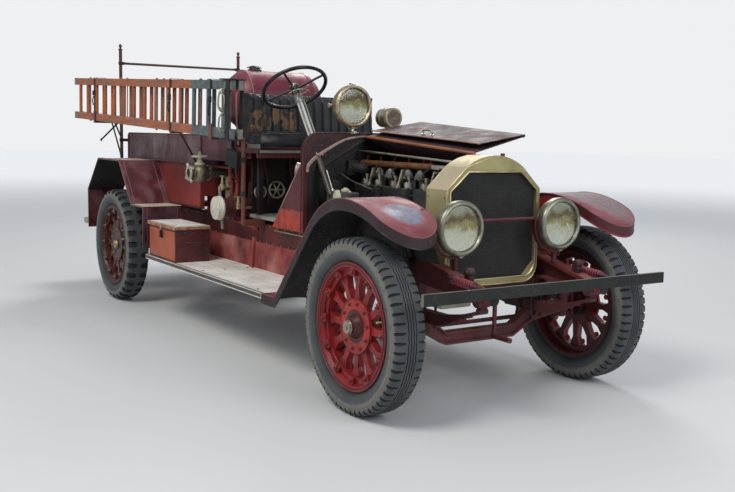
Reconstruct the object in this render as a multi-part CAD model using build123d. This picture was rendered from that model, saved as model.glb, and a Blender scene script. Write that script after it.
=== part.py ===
from build123d import *
from math import sin, cos, tan, asin, radians, atan2, hypot
import os

# Open-cab fire pumper with right-hand drive, in millimetres.
# +X points to the front, +Y to the vehicle's left, +Z up, and the ground is z = 0.
# The origin is on the ground at the centre of the length and width.

# Overall lengths and the axles
overall_length = 5976.0
front_overhang = 620.0
wheelbase = 4000.0
track = 1610.0
front_tyre_radius = 477.0
rear_tyre_radius = 486.0
tyre_width = 190.0
front_x = overall_length / 2
front_axle_x = front_x - front_overhang
rear_axle_x = front_axle_x - wheelbase
wheel_y = track / 2

# Clearances
running_fit = 0.3
seat_gap = 0.3
swing_gap = 6.0

# Wheels
rim_flange_radius = 345.0
rim_flange_wall = 6.0
rim_width = 146.0
rim_well_radius = 322.0
rim_bore_radius = 310.0
bead_gap = 0.3
spoke_count = 12
spoke_root_width = 58.0
spoke_waist_width = 34.0
spoke_tip_width = 84.0
spoke_waist_radius = 222.0
spoke_depth = 40.0
spoke_offset = 10.0
felloe_radius = 278.0
felloe_in = 26.0
felloe_out = 44.0
hub_radius = 82.0
hub_flange_radius = 150.0
hub_flange_thickness = 14.0
front_hub_out = 94.0
rear_hub_out = 60.0
hub_cap_radius = 34.0
hub_in = 62.0
spindle_radius = 30.0
drum_radius = 215.0
drum_width = 90.0

# Steering knuckles and tie rod
kingpin_y = 672.0
kingpin_radius = 17.0
axle_eye_radius = 36.0
axle_eye_height = 96.0
yoke_gap = 1.0
yoke_arm_thickness = 24.0
steer_arm_length = 150.0
tie_rod_radius = 13.0
tie_pin_radius = 9.0
tie_eye_radius = 22.0

# Front axle beam
beam_width = 62.0
beam_height = 74.0
beam_drop_z = 316.0
beam_drop_half = 250.0
beam_flange = 13.0
beam_pad_z = 470.0
beam_recess = 18.0

# Frame
rail_y = 430.0
rail_bottom_z = 690.0
rail_height = 150.0
rail_flange = 74.0
rail_wall = 9.0
horn_bend_x = front_axle_x - 38.0
horn_tip_x = front_axle_x + 527.0
horn_tip_z = 640.0
horn_tip_height = 70.0
cross_radius = 32.0
front_cross_x = horn_bend_x
front_cross_z = 625.0

# Leaf springs
spring_y = rail_y - rail_flange / 2
spring_width = 57.0
leaf_thickness = 9.0
leaf_step = 0.105
front_leaf_count = 7
rear_leaf_count = 9
front_spring_span = 1010.0
rear_spring_span = 1340.0
front_spring_rise = 88.0
rear_spring_rise = 30.0

# Rear axle and drive
rear_tube_radius = 52.0
diff_radius = 185.0
shaft_radius = 34.0
gearbox_x = front_axle_x - 1748.0
gearbox_length = 560.0

# Radiator
radiator_front_x = front_axle_x + 113.0
radiator_depth = 191.0
radiator_half_width = 340.0
radiator_bottom_z = 662.0
radiator_shoulder_z = 1203.0
radiator_top_half = 205.0
radiator_top_side_z = 1328.0
radiator_top_z = 1392.0
radiator_corner = 105.0
core_top_z = 1300.0
core_top_half = 192.0
core_side_half = 316.0
core_shoulder_z = 1192.0
core_bottom_z = 694.0
core_corner = 84.0
core_recess = 22.0

# Bonnet
dash_x = radiator_front_x - 1378.0
dash_thickness = 34.0
bonnet_front_x = radiator_front_x - radiator_depth
ridge_rear_z = 1478.0
ridge_front_z = 1397.0
shoulder_rear_y = 408.0
shoulder_rear_z = 1272.0
shoulder_front_y = 338.0
shoulder_front_z = 1205.0
bonnet_sill_z = rail_bottom_z + rail_height + seat_gap
bonnet_sheet = 5.0
hinge_half = 9.0
hinge_gap = 0.5
top_swing = 194.0
side_swing = 113.8
fold_gap = 6.0
leaf_end_gap = 14.0
bonnet_ends = (
    # ridge z, half width, shoulder z
    (ridge_rear_z, shoulder_rear_y, shoulder_rear_z),
    (ridge_front_z, shoulder_front_y, shoulder_front_z),
)
bonnet_reach = (dash_x + dash_thickness / 2 + swing_gap, bonnet_front_x - swing_gap)
ridge_fall = (ridge_rear_z - ridge_front_z) / (bonnet_reach[1] - bonnet_reach[0])
ridge_line = tuple(
    (x, 0.0, ridge_rear_z - (x - bonnet_reach[0]) * ridge_fall)
    for x in (dash_x + dash_thickness / 2 + seat_gap, bonnet_front_x - seat_gap)
)

# Dash and toe boards
dash_half_width = 478.0
dash_top_z = 1500.0
dash_corner = 130.0
floor_z = 900.0
floor_thickness = 24.0
floor_rear_x = dash_x - 813.0
floor_half_width = 476.0
toe_rear_x = dash_x - 370.0
toe_top_z = 1297.0
toe_sheet = 8.0

# Engine
engine_rear_x = dash_x + 77.0
engine_front_x = radiator_front_x - 241.0
crankcase_half = 200.0
crankcase_bottom_z = 470.0
crankcase_top_z = 905.0
cylinder_pair_places = tuple(engine_rear_x + offset for offset in (166.0, 500.0, 834.0))
cylinder_pair_length = 324.0
cylinder_half_width = 150.0
cylinder_top_z = 1166.0
valve_spread = 76.0
conduit_y = -60.0
conduit_z = 1306.0
conduit_size = 26.0
manifold_y = 205.0
manifold_z = 1070.0
stay_y = -60.0
stay_drop = 92.0
stay_front_rise = 34.0

# Front fenders
fender_inner_y = 560.0
side_limit_y = 900.0
fender_tail_x = front_axle_x - 1014.0
fender_crown_x = front_axle_x - 58.0
fender_crown_z = 1160.0
fender_slope = 49.5
fender_rear_arc = 470.0
fender_front_arc = 800.0
fender_front_turn = 38.0
fender_sheet = 8.0
fender_lip = 60.0
apron_sheet = 5.0
apron_places = tuple(
    fender_crown_x + offset for offset in (-480.0, -370.0, -250.0, -120.0, 0.0, 130.0, 250.0))
fender_stays = (
    # x, z at the frame, z at the fender
    (fender_crown_x - 20.0, 770.0, 1102.0),
    (fender_crown_x - 550.0, 760.0, 738.0),
)

# Running boards
board_z = 505.0
board_thickness = 34.0
board_inner_y = 450.0
board_rear_x = rear_axle_x + 897.0
board_front_x = fender_tail_x
board_bracket_places = (board_rear_x + 115.0, board_rear_x + 1055.0, board_front_x - 144.0)

# Rear fenders
rear_fender_top_z = 1238.0
rear_fender_inner_y = 560.0
rear_fender_sheet = 10.0
rear_fender_points_x = tuple(rear_axle_x + offset for offset in (-670.0, -340.0, 243.0, 555.0))
rear_fender_slope_z = 941.0
rear_fender_bottom_z = 581.0
step_plate_z = 880.0
step_plate_front_x = rear_axle_x + 835.0
step_panel_bottom_z = 545.0

# Toolboxes
toolbox_rear_x = board_rear_x + 38.0
toolbox_front_x = toolbox_rear_x + 565.0
toolbox_outer_y = 880.0
toolbox_inner_y = 605.0
toolbox_top_z = 755.0
toolbox_wall = 16.0
lid_thickness = 26.0
lid_overhang = 10.0
lid_hinge_radius = 6.0
lid_hinge_y = toolbox_inner_y - lid_hinge_radius - 1.0
lid_hinge_z = toolbox_top_z + seat_gap + lid_thickness / 2
lid_knuckle = 90.0

# Hose body
hose_body_rear_reach = 560.0
hose_body_front_reach = 1205.0
hose_body_rear_x = rear_axle_x - hose_body_rear_reach
hose_body_front_x = rear_axle_x + hose_body_front_reach
hose_body_half = 545.0
hose_body_wall = 26.0
hose_body_top_z = 1460.0
hose_body_bottom_z = 880.0
hose_floor_z = 1010.0
tank_stand_depth = 563.0
front_panel_x = hose_body_front_x + tank_stand_depth

# Tank behind the seat
tank_x = hose_body_front_x + 195.0
tank_z = 1746.0
tank_radius = 228.0
tank_y = -25.0
tank_half_length = 412.0
tank_dome = 155.0
filler_y = -180.0
filler_radius = 30.0
filler_height = 32.0
cradle_spread = 200.0

# Seat
seat_front_x = dash_x - 485.0
seat_rear_x = seat_front_x - 368.0
seat_half_width = 560.0
seat_base_z = 1384.0
cushion_thickness = 105.0
seat_valance = 66.0
seat_post_back = 215.0
back_foot_x = seat_front_x - 198.0
back_top_x = seat_front_x - 266.0
back_top_z = 1800.0
back_thickness = 110.0

# Steering column and wheel
column_y = -362.0
column_radius = 20.0
steering_x = dash_x - 332.0
steering_z = 1804.0
column_angle = 54.0
column_foot_z = 1100.0
gear_case_outer_y = -370.0
gear_case_length = 262.0
gear_case_low_z = 1056.0
gear_case_high_z = 1128.0
steering_ring_radius = 222.0
steering_rim_radius = 13.0
steering_boss_low = 59.0
steering_boss_high = 4.0

# Pump
pump_x = hose_body_front_x + 487.0
pump_z = 930.0
pump_radius = 210.0
pump_length = 620.0
pump_foot_top_z = 800.0
suction_x = pump_x + 130.0
suction_z = 941.0
suction_out = 700.0
suction_pipe_radius = 70.0
suction_cap_radius = 84.0
cap_bar_length = 310.0
cap_bar_width = 15.0
cap_thickness = 40.0
outlet_x = pump_x - 284.0
outlet_z = 1178.0
outlet_out = 735.0
outlet_radius = 46.0
outlet_bore = 32.0
outlet_bore_depth = 60.0

# Tail step
tail_step_spring_gap = 30.0
tail_step_front_x = rear_axle_x - rear_spring_span / 2 - tail_step_spring_gap
tail_step_depth = front_x + tail_step_front_x
tail_step_z = 610.0
tail_step_thickness = 48.0
tail_step_half = 760.0
tail_step_corner = 60.0
tail_bracket_width = 50.0
tail_bracket_inset = 35.0
tail_bracket_margin = 28.0
tail_bracket_pitch = (tail_step_depth - 2 * tail_bracket_margin) / 6
tail_bracket_places = (
    tail_step_front_x - tail_bracket_inset,
    tail_step_front_x - tail_bracket_inset - tail_bracket_pitch,
)

# The frame's rear end, past the step's second bracket, and its cross tubes
rail_tail = 8.0
rear_cross_inset = 48.0
rail_rear_x = tail_bracket_places[1] - tail_bracket_width / 2 - rail_tail
cross_places = (
    tail_step_front_x - rear_cross_inset, rear_axle_x + 482.0, rear_axle_x + 1482.0, front_axle_x - 1328.0,
)

# Ladders and hand rails
ladder_rear_inset = 116.0
ladder_rear_x = ladder_rear_inset - front_x
ladder_length = 3660.0
ladder_height = 386.0
ladder_slope = 2.45
ladder_mid_rear_z = 1797.0
ladder_rail_depth = 62.0
ladder_rail_width = 32.0
ladder_outer_y = -830.0
ladder_inner_y = -772.0
rung_count = 14
rung_radius = 15.0
post_y = 600.0
post_radius = 15.0
finial_radius = 15.5
finial_height = 60.0
collar_radius = 20.0
post_stand_heights = (1080.0, 1400.0)
rear_post_x = hose_body_rear_x - 23.0
front_post_x = seat_front_x - 158.0
rear_post_foot_z = 1062.0
rear_post_top_z = 2292.0
hand_rail_z = 2112.0
hand_rail_radius = 11.0
ladder_prop_x = hose_body_front_x + 127.0
prop_foot_x = hose_body_front_x - 53.0
prop_foot_z = 1229.0

# Lamps
headlamp_x = radiator_front_x + 179.0
headlamp_y = 361.0
headlamp_z = 1008.0
headlamp_radius = 150.0
headlamp_depth = 150.0
lamp_bar_rise = 33.0
lamp_bar_radius = 9.0
spot_x = dash_x - 70.0
spot_y = -88.0
spot_z = 1683.0
spot_radius = 143.0
spot_depth = 170.0
siren_x = dash_x - 61.0
siren_y = 236.0
siren_z = 1612.0
siren_radius = 66.0
siren_depth = 130.0

# Bumper
bumper_half = 850.0
bumper_top_z = 743.0
bumper_height = 60.0
bumper_thickness = 22.0
bumper_spring_radius = 31.0
bumper_spring_y = spring_y

# Starting crank
crank_z = 600.0
crank_arm_x = radiator_front_x + 34.0
crank_arm_length = 235.0
crank_grip_length = 140.0
crank_shaft_radius = 14.0

# Exhaust
exhaust_y = 285.0
exhaust_z = 600.0


def block(x0, x1, y0, y1, z0, z1):
    """A box given by its limits."""
    size = (abs(x1 - x0), abs(y1 - y0), abs(z1 - z0))
    return Pos((x0 + x1) / 2, (y0 + y1) / 2, (z0 + z1) / 2) * Box(*size)


def rod(start, end, radius):
    """A round bar between two points."""
    a, b = Vector(*start), Vector(*end)
    plane = Plane(origin=a, z_dir=b - a)
    return plane * Cylinder(radius, (b - a).length, align=(Align.CENTER, Align.CENTER, Align.MIN))


def disc(x, y, z, radius, length, axis="Y"):
    """A round bar centred on a point, along one axis."""
    half = {"X": (length / 2, 0, 0), "Y": (0, length / 2, 0), "Z": (0, 0, length / 2)}[axis]
    start = (x - half[0], y - half[1], z - half[2])
    end = (x + half[0], y + half[1], z + half[2])
    return rod(start, end, radius)


def plate_xz(points, y0, y1):
    """A side outline, given as (x, z), as thick as y0 to y1."""
    low, high = min(y0, y1), max(y0, y1)
    outline = Polyline(*[(x, low, z) for x, z in points], close=True)
    return extrude(make_face(outline), amount=high - low, dir=(0, 1, 0))


def plate_yz(points, x0, x1):
    """A front outline, given as (y, z), as thick as x0 to x1."""
    low, high = min(x0, x1), max(x0, x1)
    outline = Polyline(*[(low, y, z) for y, z in points], close=True)
    return extrude(make_face(outline), amount=high - low, dir=(1, 0, 0))


def turned(points, x, z, side=1):
    """A body of revolution about the line y at (x, z), from (radius, y) points; side flips it."""
    outline = Polyline(*[(x + radius, side * y, z) for radius, y in points], close=True)
    axis = Axis((x, 0, z), (0, 1, 0))
    return revolve(make_face(outline), axis, 360)


def left_of(shape):
    """The mirror image of a piece, on the other side of the vehicle."""
    return mirror(shape, Plane.XZ)


def fused(*shapes):
    """One body from touching pieces."""
    whole = shapes[0]
    for shape in shapes[1:]:
        whole = whole + shape
    return whole


def apart(*shapes):
    """Separate solids that share a node."""
    solids = []
    for shape in shapes:
        solids.extend(shape.solids())
    return Compound(solids)


# Wheels, tyres and hubs

def tyre(axle_x, radius, side):
    """A plain tyre on its rim, out to the tips of its tread."""
    half = tyre_width / 2
    bead = rim_well_radius + rim_flange_wall + bead_gap
    seat = rim_width / 2 - rim_flange_wall - bead_gap
    tread = radius - 62.0
    profile = [
        (bead, -seat), (bead, seat), (rim_flange_radius + 12.0, seat), (tread - 28.0, half),
        (tread + 22.0, half - 4.0), (radius - 10.0, half - 20.0), (radius, half - 34.0),
        (radius, 34.0 - half), (radius - 10.0, 20.0 - half), (tread + 22.0, 4.0 - half),
        (tread - 28.0, -half), (rim_flange_radius + 12.0, -seat),
    ]
    shape = turned(profile, axle_x, radius)
    return Pos(0, side * wheel_y, 0) * shape


def rim(axle_x, axle_z):
    """The rim: a well between two flanges."""
    half = rim_width / 2
    profile = [
        (rim_bore_radius, -half + 22.0), (rim_bore_radius, half - 22.0), (rim_well_radius, half),
        (rim_flange_radius, half), (rim_flange_radius, half - rim_flange_wall),
        (rim_well_radius + rim_flange_wall, half - rim_flange_wall),
        (rim_well_radius + rim_flange_wall, rim_flange_wall - half),
        (rim_flange_radius, rim_flange_wall - half), (rim_flange_radius, -half),
        (rim_well_radius, -half),
    ]
    return turned(profile, axle_x, axle_z)


def spoke(axle_x, axle_z, angle):
    """One cast spoke from the hub to the felloe, waisted and flared at its tip, at the given angle."""
    root, waist, tip = spoke_root_width / 2, spoke_waist_width / 2, spoke_tip_width / 2
    inner, outer = hub_radius - 8.0, felloe_radius + 4.0
    side = [(inner, root), (spoke_waist_radius, waist), (outer, tip)]
    points = side + [(x, -z) for x, z in side[::-1]]
    face = make_face(Polyline(*[(x, spoke_offset - spoke_depth / 2, z) for x, z in points], close=True))
    bar = extrude(face, amount=spoke_depth, dir=(0, 1, 0))
    return Pos(axle_x, 0, axle_z) * Rot(0, angle, 0) * bar


def wheel(axle_x, axle_z, side, hub_out, drum):
    """A cast spoked wheel about its own mid-plane; outboard is +y before it is placed."""
    felloe = [
        (felloe_radius, -felloe_in), (felloe_radius, felloe_out), (rim_bore_radius + 2.0, felloe_out),
        (rim_bore_radius + 2.0, -felloe_in),
    ]
    shape = rim(axle_x, axle_z) + turned(felloe, axle_x, axle_z)
    for number in range(spoke_count):
        shape += spoke(axle_x, axle_z, number * 360.0 / spoke_count)
    bore = spindle_radius + running_fit
    flange_y = spoke_offset + spoke_depth / 2
    hub = [
        (bore, -hub_in), (hub_radius, -hub_in), (hub_radius, flange_y - 4.0),
        (hub_flange_radius, flange_y - 4.0), (hub_flange_radius, flange_y + hub_flange_thickness - 4.0),
        (hub_radius - 14.0, flange_y + hub_flange_thickness - 4.0), (hub_cap_radius + 16.0, hub_out - 22.0),
        (hub_cap_radius, hub_out - 22.0), (hub_cap_radius, hub_out), (0.0, hub_out),
        (0.0, hub_out - 26.0), (bore, hub_out - 26.0),
    ]
    shape += turned(hub, axle_x, axle_z)
    if drum:
        inner = rim_width / 2 - 8.0
        shell = [
            (drum_radius - 12.0, -inner), (drum_radius, -inner), (drum_radius, drum_width - inner),
            (hub_radius - 4.0, drum_width - inner), (hub_radius - 4.0, drum_width - inner - 10.0),
            (drum_radius - 12.0, drum_width - inner - 10.0),
        ]
        shape += turned(shell, axle_x, axle_z)
    if side < 0:
        shape = mirror(shape, Plane.XZ)
    return Pos(0, side * wheel_y, 0) * shape


# Front axle, knuckles and steering linkage

def front_axle():
    """The dropped I-section beam with an eye for the kingpin at each end."""
    end_z = front_tyre_radius
    pad_z = beam_pad_z
    low, high = beam_drop_z, beam_drop_z + beam_height
    eye_y = kingpin_y - axle_eye_radius + 8.0
    pad_half = spring_width / 2 + 10.0
    upper = [
        (-eye_y, end_z + 26.0), (-spring_y - pad_half, pad_z), (pad_half - spring_y, pad_z),
        (-beam_drop_half, high),
    ]
    lower = [(-beam_drop_half, low), (-spring_y, pad_z - beam_height), (-eye_y, end_z - 40.0)]
    outline = upper + [(-y, z) for y, z in upper[::-1]] + [(-y, z) for y, z in lower[::-1]] + lower
    x0, x1 = front_axle_x - beam_width / 2, front_axle_x + beam_width / 2
    beam = plate_yz(outline, x0, x1)
    top_edge = [(y, z - beam_flange) for y, z in upper[1:]]
    low_edge = [(y, z + beam_flange) for y, z in lower[:2]]
    web = top_edge + [(-y, z) for y, z in top_edge[::-1]] + [(-y, z) for y, z in low_edge[::-1]] + low_edge
    for face_x in (x0, x1 - beam_recess):
        beam -= plate_yz(web, face_x - 1.0, face_x + beam_recess + 1.0)
    eye = disc(front_axle_x, kingpin_y, end_z, axle_eye_radius, axle_eye_height, "Z")
    bore = disc(front_axle_x, kingpin_y, end_z, kingpin_radius + running_fit, axle_eye_height + 2.0, "Z")
    beam = fused(beam, eye, left_of(eye)) - bore - left_of(bore)
    return beam


def knuckle():
    """The left knuckle: a yoke round the axle's eye, its kingpin, spindle and steering arm."""
    z = front_tyre_radius
    half = axle_eye_height / 2 + yoke_gap
    back_y = kingpin_y + axle_eye_radius + 6.0
    out = wheel_y - hub_in
    arms = []
    for low, high in ((z + half, z + half + yoke_arm_thickness), (z - half - yoke_arm_thickness, z - half)):
        arms.append(disc(front_axle_x, kingpin_y, (low + high) / 2, axle_eye_radius, high - low, "Z"))
        arms.append(block(front_axle_x - 26, front_axle_x + 26, kingpin_y, back_y + 20.0, low, high))
    back = block(front_axle_x - 34, front_axle_x + 34, back_y, back_y + 22.0, z - half - 20, z + half + 20)
    pin = disc(front_axle_x, kingpin_y, z, kingpin_radius, 2 * half + 2 * yoke_arm_thickness + 16.0, "Z")
    spindle = rod((front_axle_x, back_y + 10.0, z), (front_axle_x, wheel_y + spoke_offset + 30.0, z),
                  spindle_radius)
    arm_z = z - half - yoke_arm_thickness / 2
    arm_end = (front_axle_x - steer_arm_length, kingpin_y)
    arm = block(arm_end[0], front_axle_x, kingpin_y - 14.0, kingpin_y + 14.0, arm_z - 10.0, arm_z + 10.0)
    arm += disc(arm_end[0], arm_end[1], arm_z, 24.0, 20.0, "Z")
    bore = disc(arm_end[0], arm_end[1], arm_z, tie_pin_radius + running_fit, 30.0, "Z")
    return fused(*arms, back, pin, spindle, arm) - bore, arm_end, arm_z


def tie_rod(arm_end, arm_z):
    """The rod behind the axle that joins both steering arms, hung on a pin at each end."""
    x, y = arm_end
    z = arm_z - 10.0 - 1.0 - 14.0
    shape = rod((x, -y, z), (x, y, z), tie_rod_radius)
    for side in (-1, 1):
        shape += disc(x, side * y, z, tie_eye_radius, 28.0, "Z")
        shape += rod((x, side * y, z), (x, side * y, arm_z + 16.0), tie_pin_radius)
    return shape


# Frame, springs and driveline

def rail_top(x):
    """The height of the rail's top at a place, which falls along the front horn."""
    share = max(0.0, (x - horn_bend_x) / (horn_tip_x - horn_bend_x))
    return rail_bottom_z + rail_height + share * (horn_tip_z + horn_tip_height - rail_bottom_z - rail_height)


def rail_underside(x):
    """The height of the rail's underside at a place."""
    share = max(0.0, (x - horn_bend_x) / (horn_tip_x - horn_bend_x))
    return rail_bottom_z + share * (horn_tip_z - rail_bottom_z)


def frame():
    """Two channel rails with kicked-down front horns, and the members across them."""
    top = rail_bottom_z + rail_height
    outline = [
        (rail_rear_x, rail_bottom_z), (horn_bend_x, rail_bottom_z), (horn_tip_x, horn_tip_z),
        (horn_tip_x, horn_tip_z + horn_tip_height), (horn_bend_x, top), (rail_rear_x, top),
    ]
    inner_outline = [
        (rail_rear_x - 5.0, rail_bottom_z + rail_wall), (horn_bend_x, rail_bottom_z + rail_wall),
        (horn_tip_x - 60.0, horn_tip_z + rail_wall + 3.0),
        (horn_tip_x - 60.0, horn_tip_z + horn_tip_height - rail_wall), (horn_bend_x, top - rail_wall),
        (rail_rear_x - 5.0, top - rail_wall),
    ]
    rail = plate_xz(outline, rail_y - rail_flange, rail_y)
    rail -= plate_xz(inner_outline, rail_y - rail_flange - 5.0, rail_y - rail_wall)
    whole = fused(rail, left_of(rail))
    mid_z = rail_bottom_z + rail_height / 2
    reach = rail_y - rail_wall / 2
    for x in cross_places:
        whole += disc(x, 0, mid_z, cross_radius, 2 * reach)
    whole += block(front_cross_x - 40, front_cross_x + 40, -reach, reach, front_cross_z - 32.0,
                   front_cross_z + 32.0)
    for side in (-1, 1):
        y0, y1 = side * (rail_y - rail_flange), side * reach
        whole += block(front_cross_x - 40, front_cross_x + 40, y0, y1, front_cross_z - 32.0,
                       rail_bottom_z + 8.0)
    whole -= disc(front_cross_x, 0, crank_z, crank_shaft_radius + running_fit, 90.0, "X")
    return whole


def leaf_top(seat_z, rise, count):
    """The height of a stack's top at the axle, with its shortest leaf flat on the seat."""
    return seat_z + count * leaf_thickness - rise * (1.0 - (count - 1) * leaf_step) ** 2


def leaf_pack(axle_x, seat_z, span, rise, count):
    """A stack of nested leaves over an axle, each shorter than the one above, as one stepped outline."""
    half = span / 2
    top_z = leaf_top(seat_z, rise, count)
    ends = [half * (1.0 - number * leaf_step) for number in range(count)]

    def curve(x):
        return top_z + rise * (x / half) ** 2

    upper = [(x, curve(x)) for x in ends]
    under = []
    for number, x in enumerate(ends):
        under.append((x, curve(x) - (number + 1) * leaf_thickness))
        if number + 1 < count:
            under.append((ends[number + 1], curve(ends[number + 1]) - (number + 1) * leaf_thickness))
    right = upper[::-1] + under
    outline = [(axle_x + x, z) for x, z in right] + [(axle_x - x, z) for x, z in right[::-1]]
    return plate_xz(outline, spring_y - spring_width / 2, spring_y + spring_width / 2)


def springs():
    """The four leaf springs, their shackles and their clips on the axles."""
    packs = []
    front_seat = beam_pad_z
    rear_seat = rear_tyre_radius + rear_tube_radius
    table = (
        # axle x, seat z, span, rise, leaves
        (front_axle_x, front_seat, front_spring_span, front_spring_rise, front_leaf_count),
        (rear_axle_x, rear_seat, rear_spring_span, rear_spring_rise, rear_leaf_count),
    )
    for axle_x, seat_z, span, rise, count in table:
        pack = leaf_pack(axle_x, seat_z, span, rise, count)
        top = leaf_top(seat_z, rise, count)
        for end in (-1, 1):
            x = axle_x + end * span / 2
            pack += disc(x, spring_y, top + rise - leaf_thickness / 2, 17.0, spring_width)
            pack += block(x - 13, x + 13, spring_y - 24, spring_y + 24, top + rise,
                          rail_underside(x + 13) - seat_gap)
        for offset in (-42.0, 42.0):
            pack += block(axle_x + offset - 8, axle_x + offset + 8, spring_y - 38, spring_y + 38, seat_z,
                          top + 9.0)
        packs.extend([pack, left_of(pack)])
    return apart(*packs)


def rear_axle():
    """The live rear axle: a round case with its tubes, held in the spring pads."""
    z = rear_tyre_radius
    end = wheel_y - rim_width / 2 + 8.0 - 14.0
    case = Pos(rear_axle_x, 0, z) * Sphere(diff_radius)
    case = case & block(rear_axle_x - 150, rear_axle_x + 190, -140, 140, z - 190, z + 190)
    tube = disc(rear_axle_x, 0, z, rear_tube_radius, 2 * end)
    nose = rod((rear_axle_x + 120, 0, z + 20), (rear_axle_x + 300, 0, z + 50), 80.0)
    whole = fused(case, tube, nose)
    for side in (-1, 1):
        y = side * spring_y
        whole += block(rear_axle_x - 60, rear_axle_x + 60, y - 34, y + 34, z, z + rear_tube_radius)
        whole += disc(rear_axle_x, side * (end - 10), z, drum_radius - 16.0, 20.0)
        spindle_end = wheel_y + spoke_offset + 20.0
        whole += rod((rear_axle_x, side * end, z), (rear_axle_x, side * spindle_end, z), spindle_radius)
    return whole


def driveline():
    """The gearbox under the floor and the shafts to the engine and the rear axle."""
    z = 640.0
    rear_end = rear_axle_x + 308.0
    box = block(gearbox_x - gearbox_length / 2, gearbox_x + gearbox_length / 2, -170, 170, 520.0, 800.0)
    box = fillet(box.edges().filter_by(Axis.X), 40.0)
    bell = rod((gearbox_x + gearbox_length / 2, 0, z), (engine_rear_x - seat_gap, 0, z), 60.0)
    shaft = rod((rear_end, 0, rear_tyre_radius + 50), (gearbox_x - gearbox_length / 2 + 5, 0, z),
                shaft_radius)
    arms = fused(*[
        block(x - 25, x + 25, side * 165, side * (rail_y - rail_wall - seat_gap), 750.0, 790.0)
        for x in (gearbox_x - 200, gearbox_x + 200) for side in (-1, 1)
    ])
    return fused(box, bell, shaft) + arms


# Engine

def crankcase():
    """The aluminium crankcase with its sump and bearer arms."""
    upper = block(engine_rear_x, engine_front_x, -crankcase_half, crankcase_half, 640.0, crankcase_top_z)
    sump = plate_yz([(-150, 640), (-110, crankcase_bottom_z), (110, crankcase_bottom_z), (150, 640)],
                    engine_rear_x + 60.0, engine_front_x - 80.0)
    whole = upper + sump
    for x in (engine_rear_x + 90.0, engine_front_x - 110.0):
        for side in (-1, 1):
            whole += block(x - 45, x + 45, side * 190, side * (rail_y - rail_wall - seat_gap), 770.0, 794.0)
    return whole


def cylinders():
    """Three cylinder castings, two cylinders in each."""
    blocks = []
    for x in cylinder_pair_places:
        half = cylinder_pair_length / 2
        cast = block(x - half, x + half, -cylinder_half_width, cylinder_half_width, crankcase_top_z,
                     cylinder_top_z)
        blocks.append(fillet(cast.edges().filter_by(Axis.Z), 60.0))
    return apart(*blocks)


def engine_fittings():
    """Valve caps and priming cups on each casting, and the wire conduit on its posts."""
    pieces = []
    top = cylinder_top_z + seat_gap
    for x in cylinder_pair_places:
        for offset in (-valve_spread, valve_spread):
            cap = rod((x + offset, -78.0, top), (x + offset, -78.0, top + 34.0), 34.0)
            cap += rod((x + offset, -78.0, top), (x + offset, -78.0, top + 72.0), 13.0)
            pieces.append(cap)
            pieces.append(rod((x + offset, 60.0, top), (x + offset, 60.0, top + 28.0), 32.0))
        tube = rod((x - 4.0, -104.0, top + 8.0), (x + 44.0, -104.0, top + 112.0), 13.0)
        foot = rod((x - 4.0, -104.0, top), (x - 4.0, -104.0, top + 20.0), 20.0)
        pieces.append(fused(tube, foot))
    first, last = cylinder_pair_places[0] - 120.0, cylinder_pair_places[-1] + 100.0
    half = conduit_size / 2
    conduit = block(first, last, conduit_y - half, conduit_y + half, conduit_z - half, conduit_z + half)
    for x in (first + 90.0, last - 60.0):
        conduit += rod((x, conduit_y + 50.0, top), (x, conduit_y + 50.0, conduit_z), 9.0)
        conduit += block(x - 8, x + 8, conduit_y, conduit_y + 55.0, conduit_z - 8, conduit_z + 8)
    pieces.append(conduit)
    return apart(*pieces)


def manifolds():
    """The inlet and exhaust pipes along the engine's left side, with the carburettor below them."""
    first, last = cylinder_pair_places[0] - 90.0, cylinder_pair_places[-1] + 90.0
    face = cylinder_half_width + seat_gap
    upper = rod((first, manifold_y, manifold_z), (last, manifold_y, manifold_z), 34.0)
    lower = rod((first + 60.0, manifold_y, manifold_z - 85.0), (last - 60.0, manifold_y, manifold_z - 85.0),
                27.0)
    for x in cylinder_pair_places:
        upper += rod((x - 70.0, face, manifold_z), (x - 70.0, manifold_y, manifold_z), 26.0)
        upper += rod((x + 70.0, face, manifold_z), (x + 70.0, manifold_y, manifold_z), 26.0)
        lower += rod((x, face, manifold_z - 85.0), (x, manifold_y, manifold_z - 85.0), 22.0)
    middle = cylinder_pair_places[1]
    low = crankcase_top_z + 8.0
    carburettor = rod((middle, manifold_y, manifold_z - 90.0), (middle, manifold_y, low + 6.0), 24.0)
    carburettor += rod((middle, manifold_y + 10.0, low + 62.0), (middle, manifold_y + 10.0, low), 42.0)
    down = rod((first, manifold_y, manifold_z), (first - 15.0, manifold_y + 54.0, crankcase_top_z - 60.0),
               30.0)
    return apart(fused(upper, down), fused(lower, carburettor))


def radiator_stay():
    """The thin rod from the dash to the back of the radiator."""
    rear_x = dash_x + dash_thickness / 2 + seat_gap
    front_x = bonnet_front_x - seat_gap
    return rod(
        (rear_x, stay_y, ridge_rear_z - stay_drop), (front_x, stay_y, ridge_front_z - stay_drop + stay_front_rise), 7.0)


# Radiator and bonnet

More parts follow.
